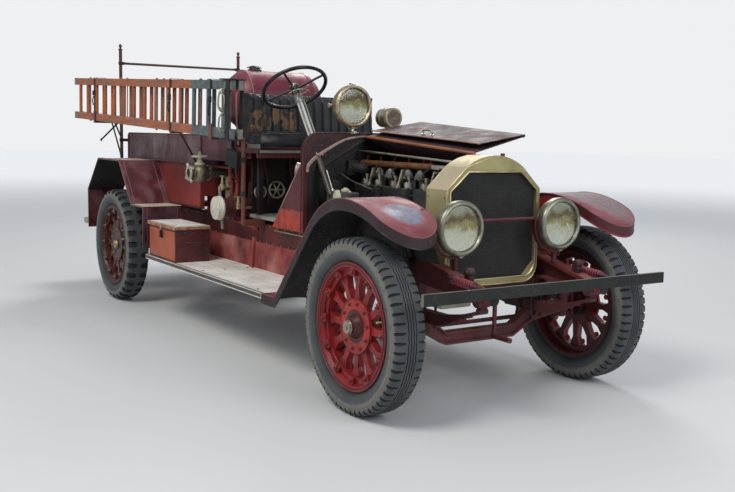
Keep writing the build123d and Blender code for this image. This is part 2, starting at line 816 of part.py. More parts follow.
def radiator_outline(half, bottom, shoulder, top_half, top_side, top, corner, x):
    """The front outline: round lower corners, slanted shoulders and an arched crown."""
    edges = [
        Line((x, -half, bottom + corner), (x, -half, shoulder)),
        Line((x, -half, shoulder), (x, -top_half, top_side)),
        ThreePointArc((x, -top_half, top_side), (x, 0, top), (x, top_half, top_side)),
        Line((x, top_half, top_side), (x, half, shoulder)),
        Line((x, half, shoulder), (x, half, bottom + corner)),
        ThreePointArc(
            (x, half, bottom + corner),
            (x, half - corner * (1 - cos(radians(45))), bottom + corner * (1 - sin(radians(45)))),
            (x, half - corner, bottom),
        ),
        Line((x, half - corner, bottom), (x, corner - half, bottom)),
        ThreePointArc(
            (x, corner - half, bottom),
            (x, -half + corner * (1 - cos(radians(45))), bottom + corner * (1 - sin(radians(45)))),
            (x, -half, bottom + corner),
        ),
    ]
    return make_face(edges)


def radiator_shell():
    """The polished shell, open at the front for the core."""
    rear = radiator_front_x - radiator_depth
    face = radiator_outline(
        radiator_half_width, radiator_bottom_z, radiator_shoulder_z, radiator_top_half,
        radiator_top_side_z, radiator_top_z, radiator_corner, rear,
    )
    shell = extrude(face, amount=radiator_depth, dir=(1, 0, 0))
    window = core_face(rear - 5.0)
    return shell - extrude(window, amount=radiator_depth + 10.0, dir=(1, 0, 0))


def core_face(x, gap=0.0):
    """The window for the core, smaller by the gap all round."""
    half, top_half = core_side_half - gap, core_top_half - gap
    points = [
        (-half, core_bottom_z + core_corner), (-half, core_shoulder_z), (-top_half, core_top_z - gap),
        (top_half, core_top_z - gap), (half, core_shoulder_z), (half, core_bottom_z + core_corner),
        (half - core_corner, core_bottom_z + gap), (core_corner - half, core_bottom_z + gap),
    ]
    return make_face(Polyline(*[(x, y, z) for y, z in points], close=True))


def radiator_core():
    """The finned core inside the shell."""
    rear = radiator_front_x - radiator_depth + 20.0
    depth = radiator_depth - 20.0 - core_recess
    return extrude(core_face(rear, seat_gap), amount=depth, dir=(1, 0, 0))


def bonnet_section(section):
    """One end of the closed left half, as (y, z) points: the hinge edge, the shoulder and the side hinge."""
    ridge_z, half_width, shoulder_z = section
    slope = atan2(ridge_z - shoulder_z, half_width)
    edge = (hinge_half + hinge_gap) * cos(slope), ridge_z - (hinge_half + hinge_gap) * sin(slope)
    side_hinge_y = half_width - bonnet_sheet - hinge_gap
    drop = (bonnet_sheet + fold_gap / 2) / cos(slope)
    side_hinge = (side_hinge_y, ridge_z - side_hinge_y * tan(slope) - drop)
    return edge, (half_width, shoulder_z), side_hinge


def leaf(lines):
    """A flat leaf from its two end lines, each an x and two (y, z) points, its sheet below and inside them."""
    faces = []
    for x, (y0, z0), (y1, z1) in lines:
        length = hypot(y1 - y0, z1 - z0)
        ny, nz = (z1 - z0) / length * bonnet_sheet, -(y1 - y0) / length * bonnet_sheet
        outline = [(y0, z0), (y1, z1), (y1 + ny, z1 + nz), (y0 + ny, z0 + nz)]
        faces.append(make_face(Polyline(*[(x, y, z) for y, z in outline], close=True)))
    return loft(faces)


def bonnet_leaves():
    """The closed left top leaf and side leaf, and the line of the hinge between them."""
    top_lines, side_lines, hinge_line = [], [], []
    for x, section in zip(bonnet_reach, bonnet_ends):
        edge, shoulder, (hinge_y, hinge_z) = bonnet_section(section)
        half_width = shoulder[0]
        top_lines.append((x, edge, shoulder))
        side_lines.append((x, (half_width, hinge_z), (half_width, bonnet_sill_z + leaf_end_gap)))
        hinge_line.append((x, hinge_y, hinge_z))
    return leaf(top_lines), leaf(side_lines), hinge_line


def side_hinge_rod(hinge_line):
    """The hinge's rod, which the side leaf carries."""
    return rod(hinge_line[0], hinge_line[1], fold_gap / 2 - seat_gap)


def bonnet_left():
    """The closed left half and the ridge that both top leaves hang on."""
    top, side, hinge_line = bonnet_leaves()
    half = fused(top, side, side_hinge_rod(hinge_line))
    for x, section in zip(bonnet_reach, bonnet_ends):
        edge, shoulder, side_hinge = bonnet_section(section)
        strap = [shoulder, side_hinge, (shoulder[0], side_hinge[1] - 20.0), shoulder]
        x0 = x if x < radiator_front_x - 1000.0 else x - 30.0
        half += plate_yz(strap[:3], x0, x0 + 30.0)
    ridge = rod(ridge_line[0], ridge_line[1], hinge_half)
    return half, ridge


def bonnet_right():
    """The right leaves, swung open about the ridge, with the side leaf folded onto the top leaf."""
    top, side, hinge_line = bonnet_leaves()
    top, side = left_of(top), left_of(side + side_hinge_rod(hinge_line))
    (x0, y0, z0), (x1, y1, z1) = hinge_line
    side_axis = Axis((x0, -y0, z0), (x1 - x0, y0 - y1, z1 - z0))
    ridge_axis = Axis(ridge_line[0], Vector(*ridge_line[1]) - Vector(*ridge_line[0]))
    side = side.rotate(side_axis, side_swing)
    return top.rotate(ridge_axis, -top_swing), side.rotate(ridge_axis, -top_swing)


# Dash, floor, seat and steering

def dash():
    """The dash board with round top corners, its toe boards and the side panels behind it."""
    half, top, corner = dash_half_width, dash_top_z, dash_corner
    x0, x1 = dash_x - dash_thickness / 2, dash_x + dash_thickness / 2
    board = block(x0, x1, -half, half, bonnet_sill_z, top)
    upper = board.edges().filter_by(Axis.X).sort_by(Axis.Z)[-2:]
    board = fillet(upper, corner)
    side_points = [
        (x0, toe_top_z), (x0, bonnet_sill_z), (toe_rear_x - 60.0, bonnet_sill_z),
        (toe_rear_x, floor_z + 7.0),
    ]
    panel = plate_xz(side_points, half - toe_sheet, half)
    column_hole = rod(column_point(column_foot_z - 200), column_point(steering_z), column_radius + 4.0)
    return fused(board, panel, left_of(panel)) - column_hole


def column_point(z):
    """The point of the steering column's axis at a height."""
    return (steering_x + (steering_z - z) / tan_of(column_angle), column_y, z)


def tan_of(angle):
    """The tangent of an angle in degrees."""
    return sin(radians(angle)) / cos(radians(angle))


def floor_boards():
    """The flat floor and the sloping toe board."""
    front = dash_x - dash_thickness / 2 - seat_gap
    half = floor_half_width - toe_sheet - seat_gap
    flat = block(floor_rear_x, toe_rear_x + 140, -half, half, floor_z - floor_thickness, floor_z)
    slope = plate_xz([
        (toe_rear_x + 120, floor_z - floor_thickness), (front, floor_z + 150), (front, floor_z + 175),
        (toe_rear_x + 120, floor_z),
    ], -half, half)
    bearers = fused(*[
        block(x - 20, x + 20, side * (rail_y - 60.0), side * rail_y, rail_bottom_z + rail_height,
              floor_z - 20.0)
        for x in (floor_rear_x + 10.0, toe_rear_x + 67.0) for side in (-1, 1)
    ])
    hole = rod(column_point(column_foot_z - 200), column_point(steering_z), column_radius + 4.0)
    return fused(flat, slope) + bearers - hole


def seat_frame():
    """The seat's boarded base on four posts, with the panel behind it."""
    top = seat_base_z - seat_gap
    base = block(seat_rear_x, seat_front_x - 12.0, -seat_half_width, seat_half_width, top - 34.0, top)
    valance = block(seat_front_x - 34.0, seat_front_x - 12.0, -seat_half_width, seat_half_width,
                    top - seat_valance, top)
    panel_half = floor_half_width - 20.0
    rear = block(floor_rear_x, floor_rear_x + 18.0, -panel_half, panel_half, floor_z + seat_gap, top - 20.0)
    whole = fused(base, valance, rear)
    x = seat_front_x - seat_post_back
    for y in (-440.0, -150.0, 150.0, 440.0):
        whole += block(x - 18, x + 18, y - 18, y + 18, floor_z + seat_gap, top - 10.0)
    return whole


def seat_cushion():
    """The bench cushion."""
    shape = block(
        back_foot_x + seat_gap, seat_front_x + 20.0, -seat_half_width, seat_half_width,
        seat_base_z, seat_base_z + cushion_thickness,
    )
    return fillet(shape.edges().filter_by(Axis.Y), 24.0)


def seat_back():
    """The upright squab behind the cushion."""
    low = seat_base_z
    points = [
        (back_foot_x - back_thickness, low), (back_foot_x, low), (back_foot_x - 8.0, low + 120.0),
        (back_top_x + 30.0, back_top_z), (back_top_x + 30.0 - back_thickness, back_top_z),
    ]
    return plate_xz(points, -seat_half_width, seat_half_width)


def steering_column():
    """The raked column and the gear case at its foot, on a bracket on the frame."""
    top = column_point(steering_z - (steering_boss_low + 1.0) * sin(radians(column_angle)))
    foot = column_point(column_foot_z)
    shape = rod(foot, top, column_radius)
    case_x = foot[0] - 44.0
    case = block(
        case_x, case_x + gear_case_length, gear_case_outer_y, gear_case_outer_y + 84.0, gear_case_low_z,
        gear_case_high_z,
    )
    shape += fillet(case.edges().filter_by(Axis.Y), 12.0)
    shape += block(
        case_x + 90.0, case_x + 190.0, gear_case_outer_y, gear_case_outer_y + 22.0,
        rail_bottom_z + rail_height + seat_gap, gear_case_low_z + 8.0,
    )
    return shape


def steering_wheel():
    """The wheel: a round rim, four spokes and the boss on the column's end."""
    ring = Torus(steering_ring_radius, steering_rim_radius)
    boss = rod((0, 0, -steering_boss_low), (0, 0, steering_boss_high), 30.0)
    whole = ring + boss
    for number in range(4):
        spoke_bar = rod((20, 0, -10), (steering_ring_radius, 0, 0), 8.0)
        whole += Rot(0, 0, 45 + 90 * number) * spoke_bar
    tilt = 90.0 - column_angle
    return Pos(steering_x, column_y, steering_z) * Rot(0, -tilt, 0) * whole


def hand_levers():
    """The gear and brake levers by the driver and the pedals on the toe board."""
    pieces = []
    for x, y, top in ((toe_rear_x + 67.0, -60.0, 1250.0), (toe_rear_x + 37.0, 20.0, 1180.0)):
        lever = block(x - 22, x + 22, y - 14, y + 14, floor_z + seat_gap, floor_z + 14.0)
        lever += rod((x, y, floor_z + 6.0), (x - 60, y, top), 11.0)
        lever += Pos(x - 60, y, top) * Sphere(22.0)
        pieces.append(lever)
    return apart(*pieces)


# Pump and its valves

def pump():
    """The pump case across the frame, with a capped suction inlet on each side."""
    case = disc(pump_x, 0, pump_z, pump_radius, pump_length)
    cap_back = suction_out - cap_thickness
    inlet = rod((suction_x, 250, suction_z), (suction_x, cap_back, suction_z), suction_pipe_radius)
    cap = disc(suction_x, suction_out - cap_thickness / 2, suction_z, suction_cap_radius, cap_thickness)
    bar = Box(cap_bar_width, cap_bar_width, cap_bar_length)
    bar = Pos(suction_x, cap_back - cap_bar_width / 2, suction_z) * Rot(0, -10, 0) * bar
    side = fused(inlet, cap, bar)
    feet = fused(*[
        block(x - 30, x + 30, -side_y * 300, -side_y * (rail_y - rail_wall - 20),
              rail_bottom_z + rail_wall + seat_gap, pump_foot_top_z)
        for x in (pump_x - 90, pump_x + 90) for side_y in (-1, 1)
    ])
    return fused(case, side, left_of(side)) + feet


def discharge_valves():
    """The outlet valve on each side, open at its mouth."""
    pipe = rod((outlet_x, 380, outlet_z), (outlet_x, outlet_out - 60, outlet_z), outlet_radius - 6)
    body = Pos(outlet_x, outlet_out - 90, outlet_z) * Sphere(72.0)
    mouth = disc(outlet_x, outlet_out - 30, outlet_z, outlet_radius, 60.0)
    stem = rod((outlet_x, outlet_out - 90, outlet_z + 40), (outlet_x, outlet_out - 90, outlet_z + 150),
               12.0)
    grip = disc(outlet_x, outlet_out - 90, outlet_z + 120, 62.0, 12.0, "Z")
    riser = rod((outlet_x, 380, outlet_z), (outlet_x, 380, rail_bottom_z + rail_height + seat_gap), 50.0)
    bore = rod((outlet_x, outlet_out - outlet_bore_depth, outlet_z), (outlet_x, outlet_out + 5, outlet_z),
               outlet_bore)
    valve = fused(pipe, body, mouth, stem, grip, riser) - bore
    return apart(valve, left_of(valve))


# Body work

def fender_crown(drop):
    """The front fender's side line: straight tail, rear arc and front arc, lowered by drop."""
    turn = radians(fender_slope)
    join_x = fender_crown_x - fender_rear_arc * sin(turn)
    join_z = fender_crown_z - fender_rear_arc * (1 - cos(turn))
    tail_z = board_z
    foot_x = join_x - (join_z - tail_z) / tan_of(fender_slope)
    half_turn = radians(fender_slope / 2)
    rear_mid = (fender_crown_x - fender_rear_arc * sin(half_turn),
                fender_crown_z - fender_rear_arc * (1 - cos(half_turn)))
    front_turn = radians(fender_front_turn + 6.0)
    tip = (fender_crown_x + fender_front_arc * sin(front_turn),
           fender_crown_z - fender_front_arc * (1 - cos(front_turn)))
    half_front = front_turn / 2
    front_mid = (
        fender_crown_x + fender_front_arc * sin(half_front),
        fender_crown_z - fender_front_arc * (1 - cos(half_front)),
    )
    points = [(fender_tail_x - 30.0, tail_z), (foot_x, tail_z), (join_x, join_z), rear_mid,
              (fender_crown_x, fender_crown_z), front_mid, tip]
    return [(x, z - drop) for x, z in points]


def under_crown(drop, depth, y0, y1):
    """The solid under the fender's side line, between two heights below it."""
    top, low = fender_crown(drop), fender_crown(drop + depth)
    y = min(y0, y1)
    edges = []
    for line, forward in ((top, True), (low, False)):
        tail, foot, join, rear_mid, crown, front_mid, tip = [(x, y, z) for x, z in line]
        run = [Line(tail, foot), Line(foot, join), ThreePointArc(join, rear_mid, crown),
               ThreePointArc(crown, front_mid, tip)]
        edges.extend(run)
    edges.append(Line((top[-1][0], y, top[-1][1]), (low[-1][0], y, low[-1][1])))
    edges.append(Line((top[0][0], y, top[0][1]), (low[0][0], y, low[0][1])))
    return extrude(make_face(edges), amount=abs(y1 - y0), dir=(0, 1, 0))


def fender_plan(inset):
    """The fender's plan: straight sides and a round nose."""
    inner, outer = fender_inner_y + inset, side_limit_y - inset
    radius = (outer - inner) / 2
    tip_x = fender_crown_x + fender_front_arc * sin(radians(fender_front_turn)) - inset
    straight = tip_x - radius
    tail_x = fender_tail_x - inset
    edges = [
        Line((tail_x, inner, 0), (straight, inner, 0)),
        ThreePointArc((straight, inner, 0), (tip_x, (inner + outer) / 2, 0), (straight, outer, 0)),
        Line((straight, outer, 0), (tail_x, outer, 0)),
        Line((tail_x, outer, 0), (tail_x, inner, 0)),
    ]
    return extrude(make_face(edges), amount=1500.0, dir=(0, 0, 1))


def crown_height(x):
    """The height of the fender's side line at a place along the vehicle."""
    turn = radians(fender_slope)
    join_x = fender_crown_x - fender_rear_arc * sin(turn)
    if x < join_x:
        join_z = fender_crown_z - fender_rear_arc * (1 - cos(turn))
        return join_z - (join_x - x) * tan_of(fender_slope)
    arc = fender_rear_arc if x < fender_crown_x else fender_front_arc
    return fender_crown_z - arc + (arc ** 2 - (x - fender_crown_x) ** 2) ** 0.5


def apron():
    """The sheet from the frame's top edge up to the fender's inner edge, and its level part behind."""
    top_y = fender_inner_y + 3.0
    foot_y = rail_y + seat_gap
    foot_z = rail_bottom_z + rail_height - 30.0
    sections = []
    for x in apron_places:
        top_z = crown_height(x) - fender_sheet
        points = [(foot_y, foot_z), (foot_y + apron_sheet, foot_z), (top_y + apron_sheet, top_z),
                  (top_y, top_z)]
        sections.append(make_face(Polyline(*[(x, y, z) for y, z in points], close=True)))
    sheet = loft(sections, ruled=True)
    rear = under_crown(0, fender_sheet, foot_y, fender_inner_y + 5.0)
    rear = rear & block(fender_tail_x + 60.0, apron_places[0] + 2.0, foot_y, fender_inner_y + 5.0, 0, 1500)
    return fused(sheet, rear)


def front_fender():
    """The left front fender, crowned, with a rounded nose and a turned-down lip, and the aprons to the frame."""
    outer = under_crown(0, fender_lip, fender_inner_y, side_limit_y) & fender_plan(0)
    inner = under_crown(fender_sheet * 1.2, fender_lip + 40.0, fender_inner_y,
                        side_limit_y) & fender_plan(fender_sheet)
    fender = fused(outer - inner, apron())
    for x, foot_z, head_z in fender_stays:
        foot = block(x - 25, x + 25, rail_y + seat_gap, rail_y + 26.0, foot_z - 30, foot_z + 30)
        stay = rod((x, rail_y + 18.0, foot_z), (x, fender_inner_y + 4.0, head_z), 13.0)
        fender = fused(fender, foot, stay)
    return fender


def running_boards():
    """The long side steps with their brackets, and the splash aprons above them."""
    board = block(board_rear_x, board_front_x - seat_gap, board_inner_y, side_limit_y,
                  board_z - board_thickness, board_z)
    sheet = 12.0
    apron_points = [
        (rail_y + seat_gap, rail_bottom_z + 10.0), (board_inner_y - 4.0, board_z - 24.0),
        (board_inner_y - 4.0 + sheet, board_z - 24.0), (rail_y + sheet, rail_bottom_z + 10.0),
    ]
    whole = board + plate_yz(apron_points, board_rear_x, board_front_x - seat_gap)
    low = board_z - board_thickness
    for x in board_bracket_places:
        whole += plate_yz([
            (rail_y + seat_gap, rail_bottom_z + 40.0), (rail_y + seat_gap, rail_bottom_z - 50.0),
            (rail_y + 60.0, board_z - 80.0), (side_limit_y - 60.0, low - 14.0),
            (side_limit_y - 60.0, low + 3.0),
            (board_inner_y + 30.0, low + 3.0), (rail_y + 24.0, rail_bottom_z + 40.0),
        ], x - 20.0, x + 20.0)
    return apart(whole, left_of(whole))


def rear_fenders():
    """The square rear fenders: folded sheet over the wheel, a step plate and a front panel."""
    rear_x, top_rear, top_front, slope_foot = rear_fender_points_x
    outline = [
        (rear_x, rear_fender_bottom_z), (rear_x, rear_fender_slope_z), (top_rear, rear_fender_top_z),
        (top_front, rear_fender_top_z), (slope_foot, step_plate_z), (step_plate_front_x, step_plate_z),
        (step_plate_front_x, step_panel_bottom_z),
    ]
    sheet = rear_fender_sheet
    inner = [
        (step_plate_front_x - sheet, step_panel_bottom_z), (step_plate_front_x - sheet,
            step_plate_z - sheet),
        (slope_foot - 6.0, step_plate_z - sheet), (top_front - 5.0, rear_fender_top_z - sheet),
        (top_rear + 4.0, rear_fender_top_z - sheet), (rear_x + sheet, rear_fender_slope_z - 5.0),
        (rear_x + sheet, rear_fender_bottom_z),
    ]
    fender = plate_xz(outline + inner, rear_fender_inner_y, side_limit_y)
    for x in (top_rear + 120.0, top_front - 120.0):
        fender += block(x - 20, x + 20, hose_body_half + seat_gap, rear_fender_inner_y + 30,
                        rear_fender_top_z - 60.0,
                        rear_fender_top_z - sheet + 2.0)
    return apart(fender, left_of(fender))


def toolbox():
    """One open-topped box on the left running board."""
    box = block(toolbox_rear_x, toolbox_front_x, toolbox_inner_y, toolbox_outer_y, board_z + seat_gap,
                toolbox_top_z)
    wall = toolbox_wall
    hollow = block(
        toolbox_rear_x + wall, toolbox_front_x - wall, toolbox_inner_y + wall, toolbox_outer_y - wall,
        board_z + wall, toolbox_top_z + 5.0,
    )
    middle_x = (toolbox_rear_x + toolbox_front_x) / 2
    knuckle_bar = disc(middle_x, lid_hinge_y, lid_hinge_z, lid_hinge_radius, lid_knuckle, "X")
    plate = block(
        middle_x - lid_knuckle / 2, middle_x + lid_knuckle / 2, lid_hinge_y, toolbox_inner_y,
        toolbox_top_z - 45.0, toolbox_top_z,
    )
    stem = block(
        middle_x - lid_knuckle / 2, middle_x + lid_knuckle / 2, lid_hinge_y - 3.0, lid_hinge_y + 3.0,
        toolbox_top_z - 45.0, lid_hinge_z,
    )
    return fused(box - hollow, plate, stem, knuckle_bar)


def toolbox_lid():
    """The left toolbox's lid, hinged at its inner edge."""
    low = toolbox_top_z + seat_gap
    plate = block(
        toolbox_rear_x - lid_overhang, toolbox_front_x + lid_overhang, toolbox_inner_y,
        toolbox_outer_y + lid_overhang,
        low, low + lid_thickness,
    )
    lid = fillet(plate.edges().sort_by(Axis.Z)[-4:], 6.0)
    middle_x = (toolbox_rear_x + toolbox_front_x) / 2
    for side in (-1, 1):
        x = middle_x + side * (lid_knuckle + 1.0)
        lid += disc(x, lid_hinge_y, lid_hinge_z, lid_hinge_radius, lid_knuckle, "X")
        lid += block(
            x - lid_knuckle / 2, x + lid_knuckle / 2, lid_hinge_y, toolbox_inner_y + 2.0,
            lid_hinge_z - 3.0, lid_hinge_z + 3.0,
        )
    return lid


def hose_body():
    """The open-topped hose body, with a floor, bearers on the frame and a low tail board."""
    wall = hose_body_wall
    shell = block(
        hose_body_rear_x, hose_body_front_x, -hose_body_half, hose_body_half, hose_body_bottom_z,
        hose_body_top_z,
    )
    bed = block(
        hose_body_rear_x + wall, hose_body_front_x - wall, wall - hose_body_half, hose_body_half - wall,
        hose_floor_z, hose_body_top_z + 5.0,
    )
    under = block(
        hose_body_rear_x - 5, hose_body_front_x + 5.0, wall - hose_body_half, hose_body_half - wall,
        hose_body_bottom_z - 5.0, hose_floor_z - wall,
    )
    gate = block(
        hose_body_rear_x - 5.0, hose_body_rear_x + wall + 5, wall - hose_body_half, hose_body_half - wall,
        hose_floor_z + 180.0, hose_body_top_z + 5.0,
    )
    shell = shell - bed - under - gate
    for x in (hose_body_rear_x + 120, rear_axle_x + 332.0, hose_body_front_x - 120):
        for side in (-1, 1):
            shell += block(
                x - 40, x + 40, side * (rail_y - rail_flange), side * rail_y,
                rail_bottom_z + rail_height + seat_gap, hose_floor_z - wall + 2,
            )
    return shell


def tank():
    """The tank across the body behind the seat: a cylinder with domed ends, in two cradles."""
    barrel_half = tank_half_length - tank_dome
    dome_radius = (tank_radius ** 2 + tank_dome ** 2) / (2 * tank_dome)
    centre_y = tank_half_length - dome_radius
    half_dome = asin(tank_radius / dome_radius) / 2
    face = make_face([
        Line((tank_x, -tank_half_length, tank_z), (tank_x, tank_half_length, tank_z)),
        ThreePointArc(
            (tank_x, tank_half_length, tank_z),
            (tank_x + dome_radius * sin(half_dome),
             centre_y + dome_radius * cos(half_dome), tank_z),
            (tank_x + tank_radius, barrel_half, tank_z),
        ),
        Line((tank_x + tank_radius, barrel_half, tank_z), (tank_x + tank_radius, -barrel_half, tank_z)),
        ThreePointArc(
            (tank_x + tank_radius, -barrel_half, tank_z),
            (tank_x + dome_radius * sin(half_dome),
             -centre_y - dome_radius * cos(half_dome), tank_z),
            (tank_x, -tank_half_length, tank_z),
        ),
    ])
    barrel = Pos(0, tank_y, 0) * revolve(face, Axis((tank_x, 0, tank_z), (0, 1, 0)), 360)
    filler = disc(tank_x, filler_y, tank_z + tank_radius, filler_radius, 2 * filler_height, "Z")
    whole = barrel + filler
    for y in (tank_y - cradle_spread, tank_y + cradle_spread):
        whole += block(tank_x - 170, tank_x + 170, y - 25, y + 25, hose_body_top_z - 160, tank_z - 120)
    return whole


def tank_stand():
    """The cabinet between the hose body and the seat that carries the tank and hides the pump pipes."""
    half = hose_body_half
    x0, x1 = hose_body_front_x + seat_gap, front_panel_x
    top = hose_body_top_z - 160.0 - seat_gap
    deck = block(x0, x1, -half, half, top - 24.0, top)
    side = block(x0, x1, half - 20.0, half, top - 24.0, hose_body_top_z)
    whole = fused(deck, side, left_of(side))
    for x in (x0 + 30.0, x0 + 480.0):
        for sign in (-1, 1):
            y0, y1 = sign * (rail_y - 50), sign * (rail_y - 5)
            whole += block(x - 22, x + 22, y0, y1, rail_bottom_z + rail_height + seat_gap, top - 10)
    return whole


def tail_step():
    """The wide rear step on its two brackets."""
    step = block(-front_x, tail_step_front_x, -tail_step_half, tail_step_half,
                 tail_step_z - tail_step_thickness, tail_step_z)
    corner = min(tail_step_corner, tail_step_depth / 2)
    step = fillet(step.edges().filter_by(Axis.Z).sort_by(Axis.X)[:2], corner)
    for side in (-1, 1):
        y0, y1 = side * (rail_y - rail_flange), side * rail_y
        for x in tail_bracket_places:
            x0, x1 = x - tail_bracket_width / 2, x + tail_bracket_width / 2
            step += block(x0, x1, y0, y1, tail_step_z - 5, rail_bottom_z - seat_gap)
    return step


# Ladders and rails

def ladder(y, shift):
    """One ladder standing on edge: two rails and their rungs."""
    length = ladder_length - 2 * shift
    half_gap = (ladder_height - ladder_rail_depth) / 2
    width = ladder_rail_width / 2
    shape = None
    for offset in (-half_gap, half_gap):
        bar = Pos(length / 2 + shift, 0, offset) * Box(length, ladder_rail_width, ladder_rail_depth)
        shape = bar if shape is None else shape + bar
    pitch = (length - 300.0) / (rung_count - 1)
    for number in range(rung_count):
        x = shift + 150.0 + number * pitch
        shape += disc(x, 0, 0, rung_radius, 2 * half_gap, "Z")
    return Pos(ladder_rear_x, y, ladder_mid_rear_z) * Rot(0, ladder_slope, 0) * shape


def ladder_bottom(x):
    """The height of the ladders' lower edge at a place along the vehicle."""
    middle = ladder_mid_rear_z - (x - ladder_rear_x) * tan_of(ladder_slope)
    return middle - ladder_height / 2 / cos(radians(ladder_slope))


def ladder_prop():
    """The strut that holds the ladders off the body's side between the posts."""
    low_z = ladder_bottom(ladder_prop_x + 16)
    side_y = -hose_body_half - seat_gap
    shoe = block(
        ladder_prop_x - 16, ladder_prop_x + 16, ladder_outer_y - 20, ladder_inner_y + 20, low_z - 16,
        low_z - seat_gap,
    )
    pad = block(prop_foot_x - 25, prop_foot_x + 25, side_y - 14, side_y, prop_foot_z - 30, prop_foot_z + 30)
    strut = rod((prop_foot_x, side_y - 11, prop_foot_z), (ladder_prop_x, ladder_inner_y, low_z - 9), 9.0)
    return fused(shoe, pad, strut)


def finial(x, y, top):
    """A post's turned tip: a collar, a neck and a bud."""
    low = top - finial_height
    profile = [
        (0.0, -30.0), (post_radius, -30.0), (post_radius, -2.0), (collar_radius, 2.0),
        (collar_radius, 10.0),
        (9.0, 15.0), (9.0, 22.0), (finial_radius, 36.0), (12.0, 50.0), (0.0, finial_height),
    ]
    outline = Polyline(*[(x + r, y, low + rise) for r, rise in profile], close=True)
    return revolve(make_face(outline), Axis((x, y, low), (0, 0, 1)), 360)


def hand_rails():
    """The two rear posts with the rail across them, and the post and arms that carry the ladders on the right."""
    rear = rod((rear_post_x, -post_y, hand_rail_z), (rear_post_x, post_y, hand_rail_z), hand_rail_radius)
    for side in (-1, 1):
        y = side * post_y
        rear += rod((rear_post_x, y, rear_post_foot_z), (rear_post_x, y, rear_post_top_z - finial_height),
                    post_radius)
        rear += finial(rear_post_x, y, rear_post_top_z)
        for z in post_stand_heights:
            rear += block(rear_post_x - 14, rear_post_x + 14, side * (hose_body_half + seat_gap), y, z - 14,
                          z + 14)
    front_top = ladder_bottom(front_post_x + 22) - 10
    front = rod((front_post_x, -post_y, floor_z - 60.0), (front_post_x, -post_y, front_top), post_radius)
    foot_y = -(floor_half_width - 40.0)
    front += block(front_post_x - 16, front_post_x + 16, foot_y, -post_y, floor_z - 70,
                   floor_z - floor_thickness - seat_gap)
    for x, part in ((rear_post_x, "rear"), (front_post_x, "front")):
        z = ladder_bottom(x + 22)
        arm = block(x - 22, x + 22, ladder_outer_y - 26, -post_y, z - 20, z - seat_gap)
        arm += block(x - 22, x + 22, ladder_outer_y - 26, ladder_outer_y - ladder_rail_width / 2 - 1,
                     z - 20, z + 90)
        if part == "rear":
            rear += arm
        else:
            front += arm
    return apart(rear, front, ladder_prop())


# Lamps, siren, bumper, crank and exhaust

def lamp_drum(x, y, z, radius, depth):
    """A lamp facing forward: a bowl behind a thick ring, with its glass set back in the ring."""
    profile = [
        (0.0, 8.0), (radius - 24.0, 12.0), (radius - 19.0, 2.0), (radius - 10.0, 0.0), (radius, 9.0),
        (radius, 24.0),
        (radius - 9.0, 34.0), (radius - 13.0, 44.0), (radius - 13.0, 76.0), (radius * 0.8, depth * 0.68),
        (radius * 0.58, depth * 0.86),
        (radius * 0.3, depth * 0.97), (0.0, depth),
    ]
    outline = Polyline(*[(x - back, y, z + r) for r, back in profile], close=True)
    return revolve(make_face(outline), Axis((x, y, z), (1, 0, 0)), 360)


def headlamps():
    """The two headlamps."""
    lamp = lamp_drum(headlamp_x, headlamp_y, headlamp_z, headlamp_radius, headlamp_depth)
    return apart(lamp, left_of(lamp))


def headlamp_brackets():
    """The round forks under the headlamps and the bar between them."""
    x = headlamp_x - 62.0
    low = rail_top(x - 16.0) + seat_gap
    y = headlamp_y
    half = headlamp_radius + 12.0
    ears_z = headlamp_z + lamp_bar_rise + 10.0
    ring = disc(x, y, headlamp_z, half + 6.0, 24.0, "X") - disc(x, y, headlamp_z, half - 6.0, 26.0, "X")
    fork = ring & block(x - 12, x + 12, y - half - 6, y + half + 6, headlamp_z - half - 6, headlamp_z)
    for side in (-1, 1):
        ear_z = ears_z if side < 0 else headlamp_z + 12.0
        fork += block(x - 12, x + 12, y + side * half - 6, y + side * half + 6, headlamp_z - 2, ear_z)
        fork += rod((x, y + side * (half + 4), headlamp_z), (x, y + side * (headlamp_radius - 12.8),
            headlamp_z), 8.0)
    stand = rod((x, y, low), (x, y, headlamp_z - half), 15.0)
    side_set = fused(fork, stand)
    bar_z = headlamp_z + lamp_bar_rise
    bar = rod((x, -y + half, bar_z), (x, y - half, bar_z), lamp_bar_radius)
    return fused(side_set, left_of(side_set), bar)


def spotlight():
    """The large adjustable lamp on the dash's top edge."""
    lamp = lamp_drum(spot_x + spot_depth / 2, spot_y, spot_z, spot_radius, spot_depth)
    stem = rod((dash_x - 12.0, spot_y, dash_top_z + seat_gap),
               (dash_x - 12.0, spot_y, spot_z - spot_radius + 30.0), 14.0)
    foot = block(dash_x - 26, dash_x + 26, spot_y - 40, spot_y + 40, dash_top_z + seat_gap,
                 dash_top_z + 12.0)
    return fused(lamp, stem, foot)


def siren():
    """The small siren drum beside the spotlight."""
    x0, x1 = siren_x - siren_depth / 2, siren_x + siren_depth / 2
    drum = rod((x0, siren_y, siren_z), (x1, siren_y, siren_z), siren_radius)
    stem = block(dash_x - 16, dash_x, siren_y - 24, siren_y + 24, dash_top_z + seat_gap,
                 siren_z - siren_radius + 12.0)
    return fused(drum, stem)


def bumper():
    """The flat bumper bar and the two spring buffers that join it to the frame's horns."""
    rear = front_x - bumper_thickness
    bar = block(rear, front_x, -bumper_half, bumper_half, bumper_top_z - bumper_height, bumper_top_z)
    z = horn_tip_z + horn_tip_height / 2
    for side in (-1, 1):
        y = side * bumper_spring_y
        bar += rod((horn_tip_x + seat_gap, y, z), (rear + 2.0, y, z), bumper_spring_radius)
    return bar


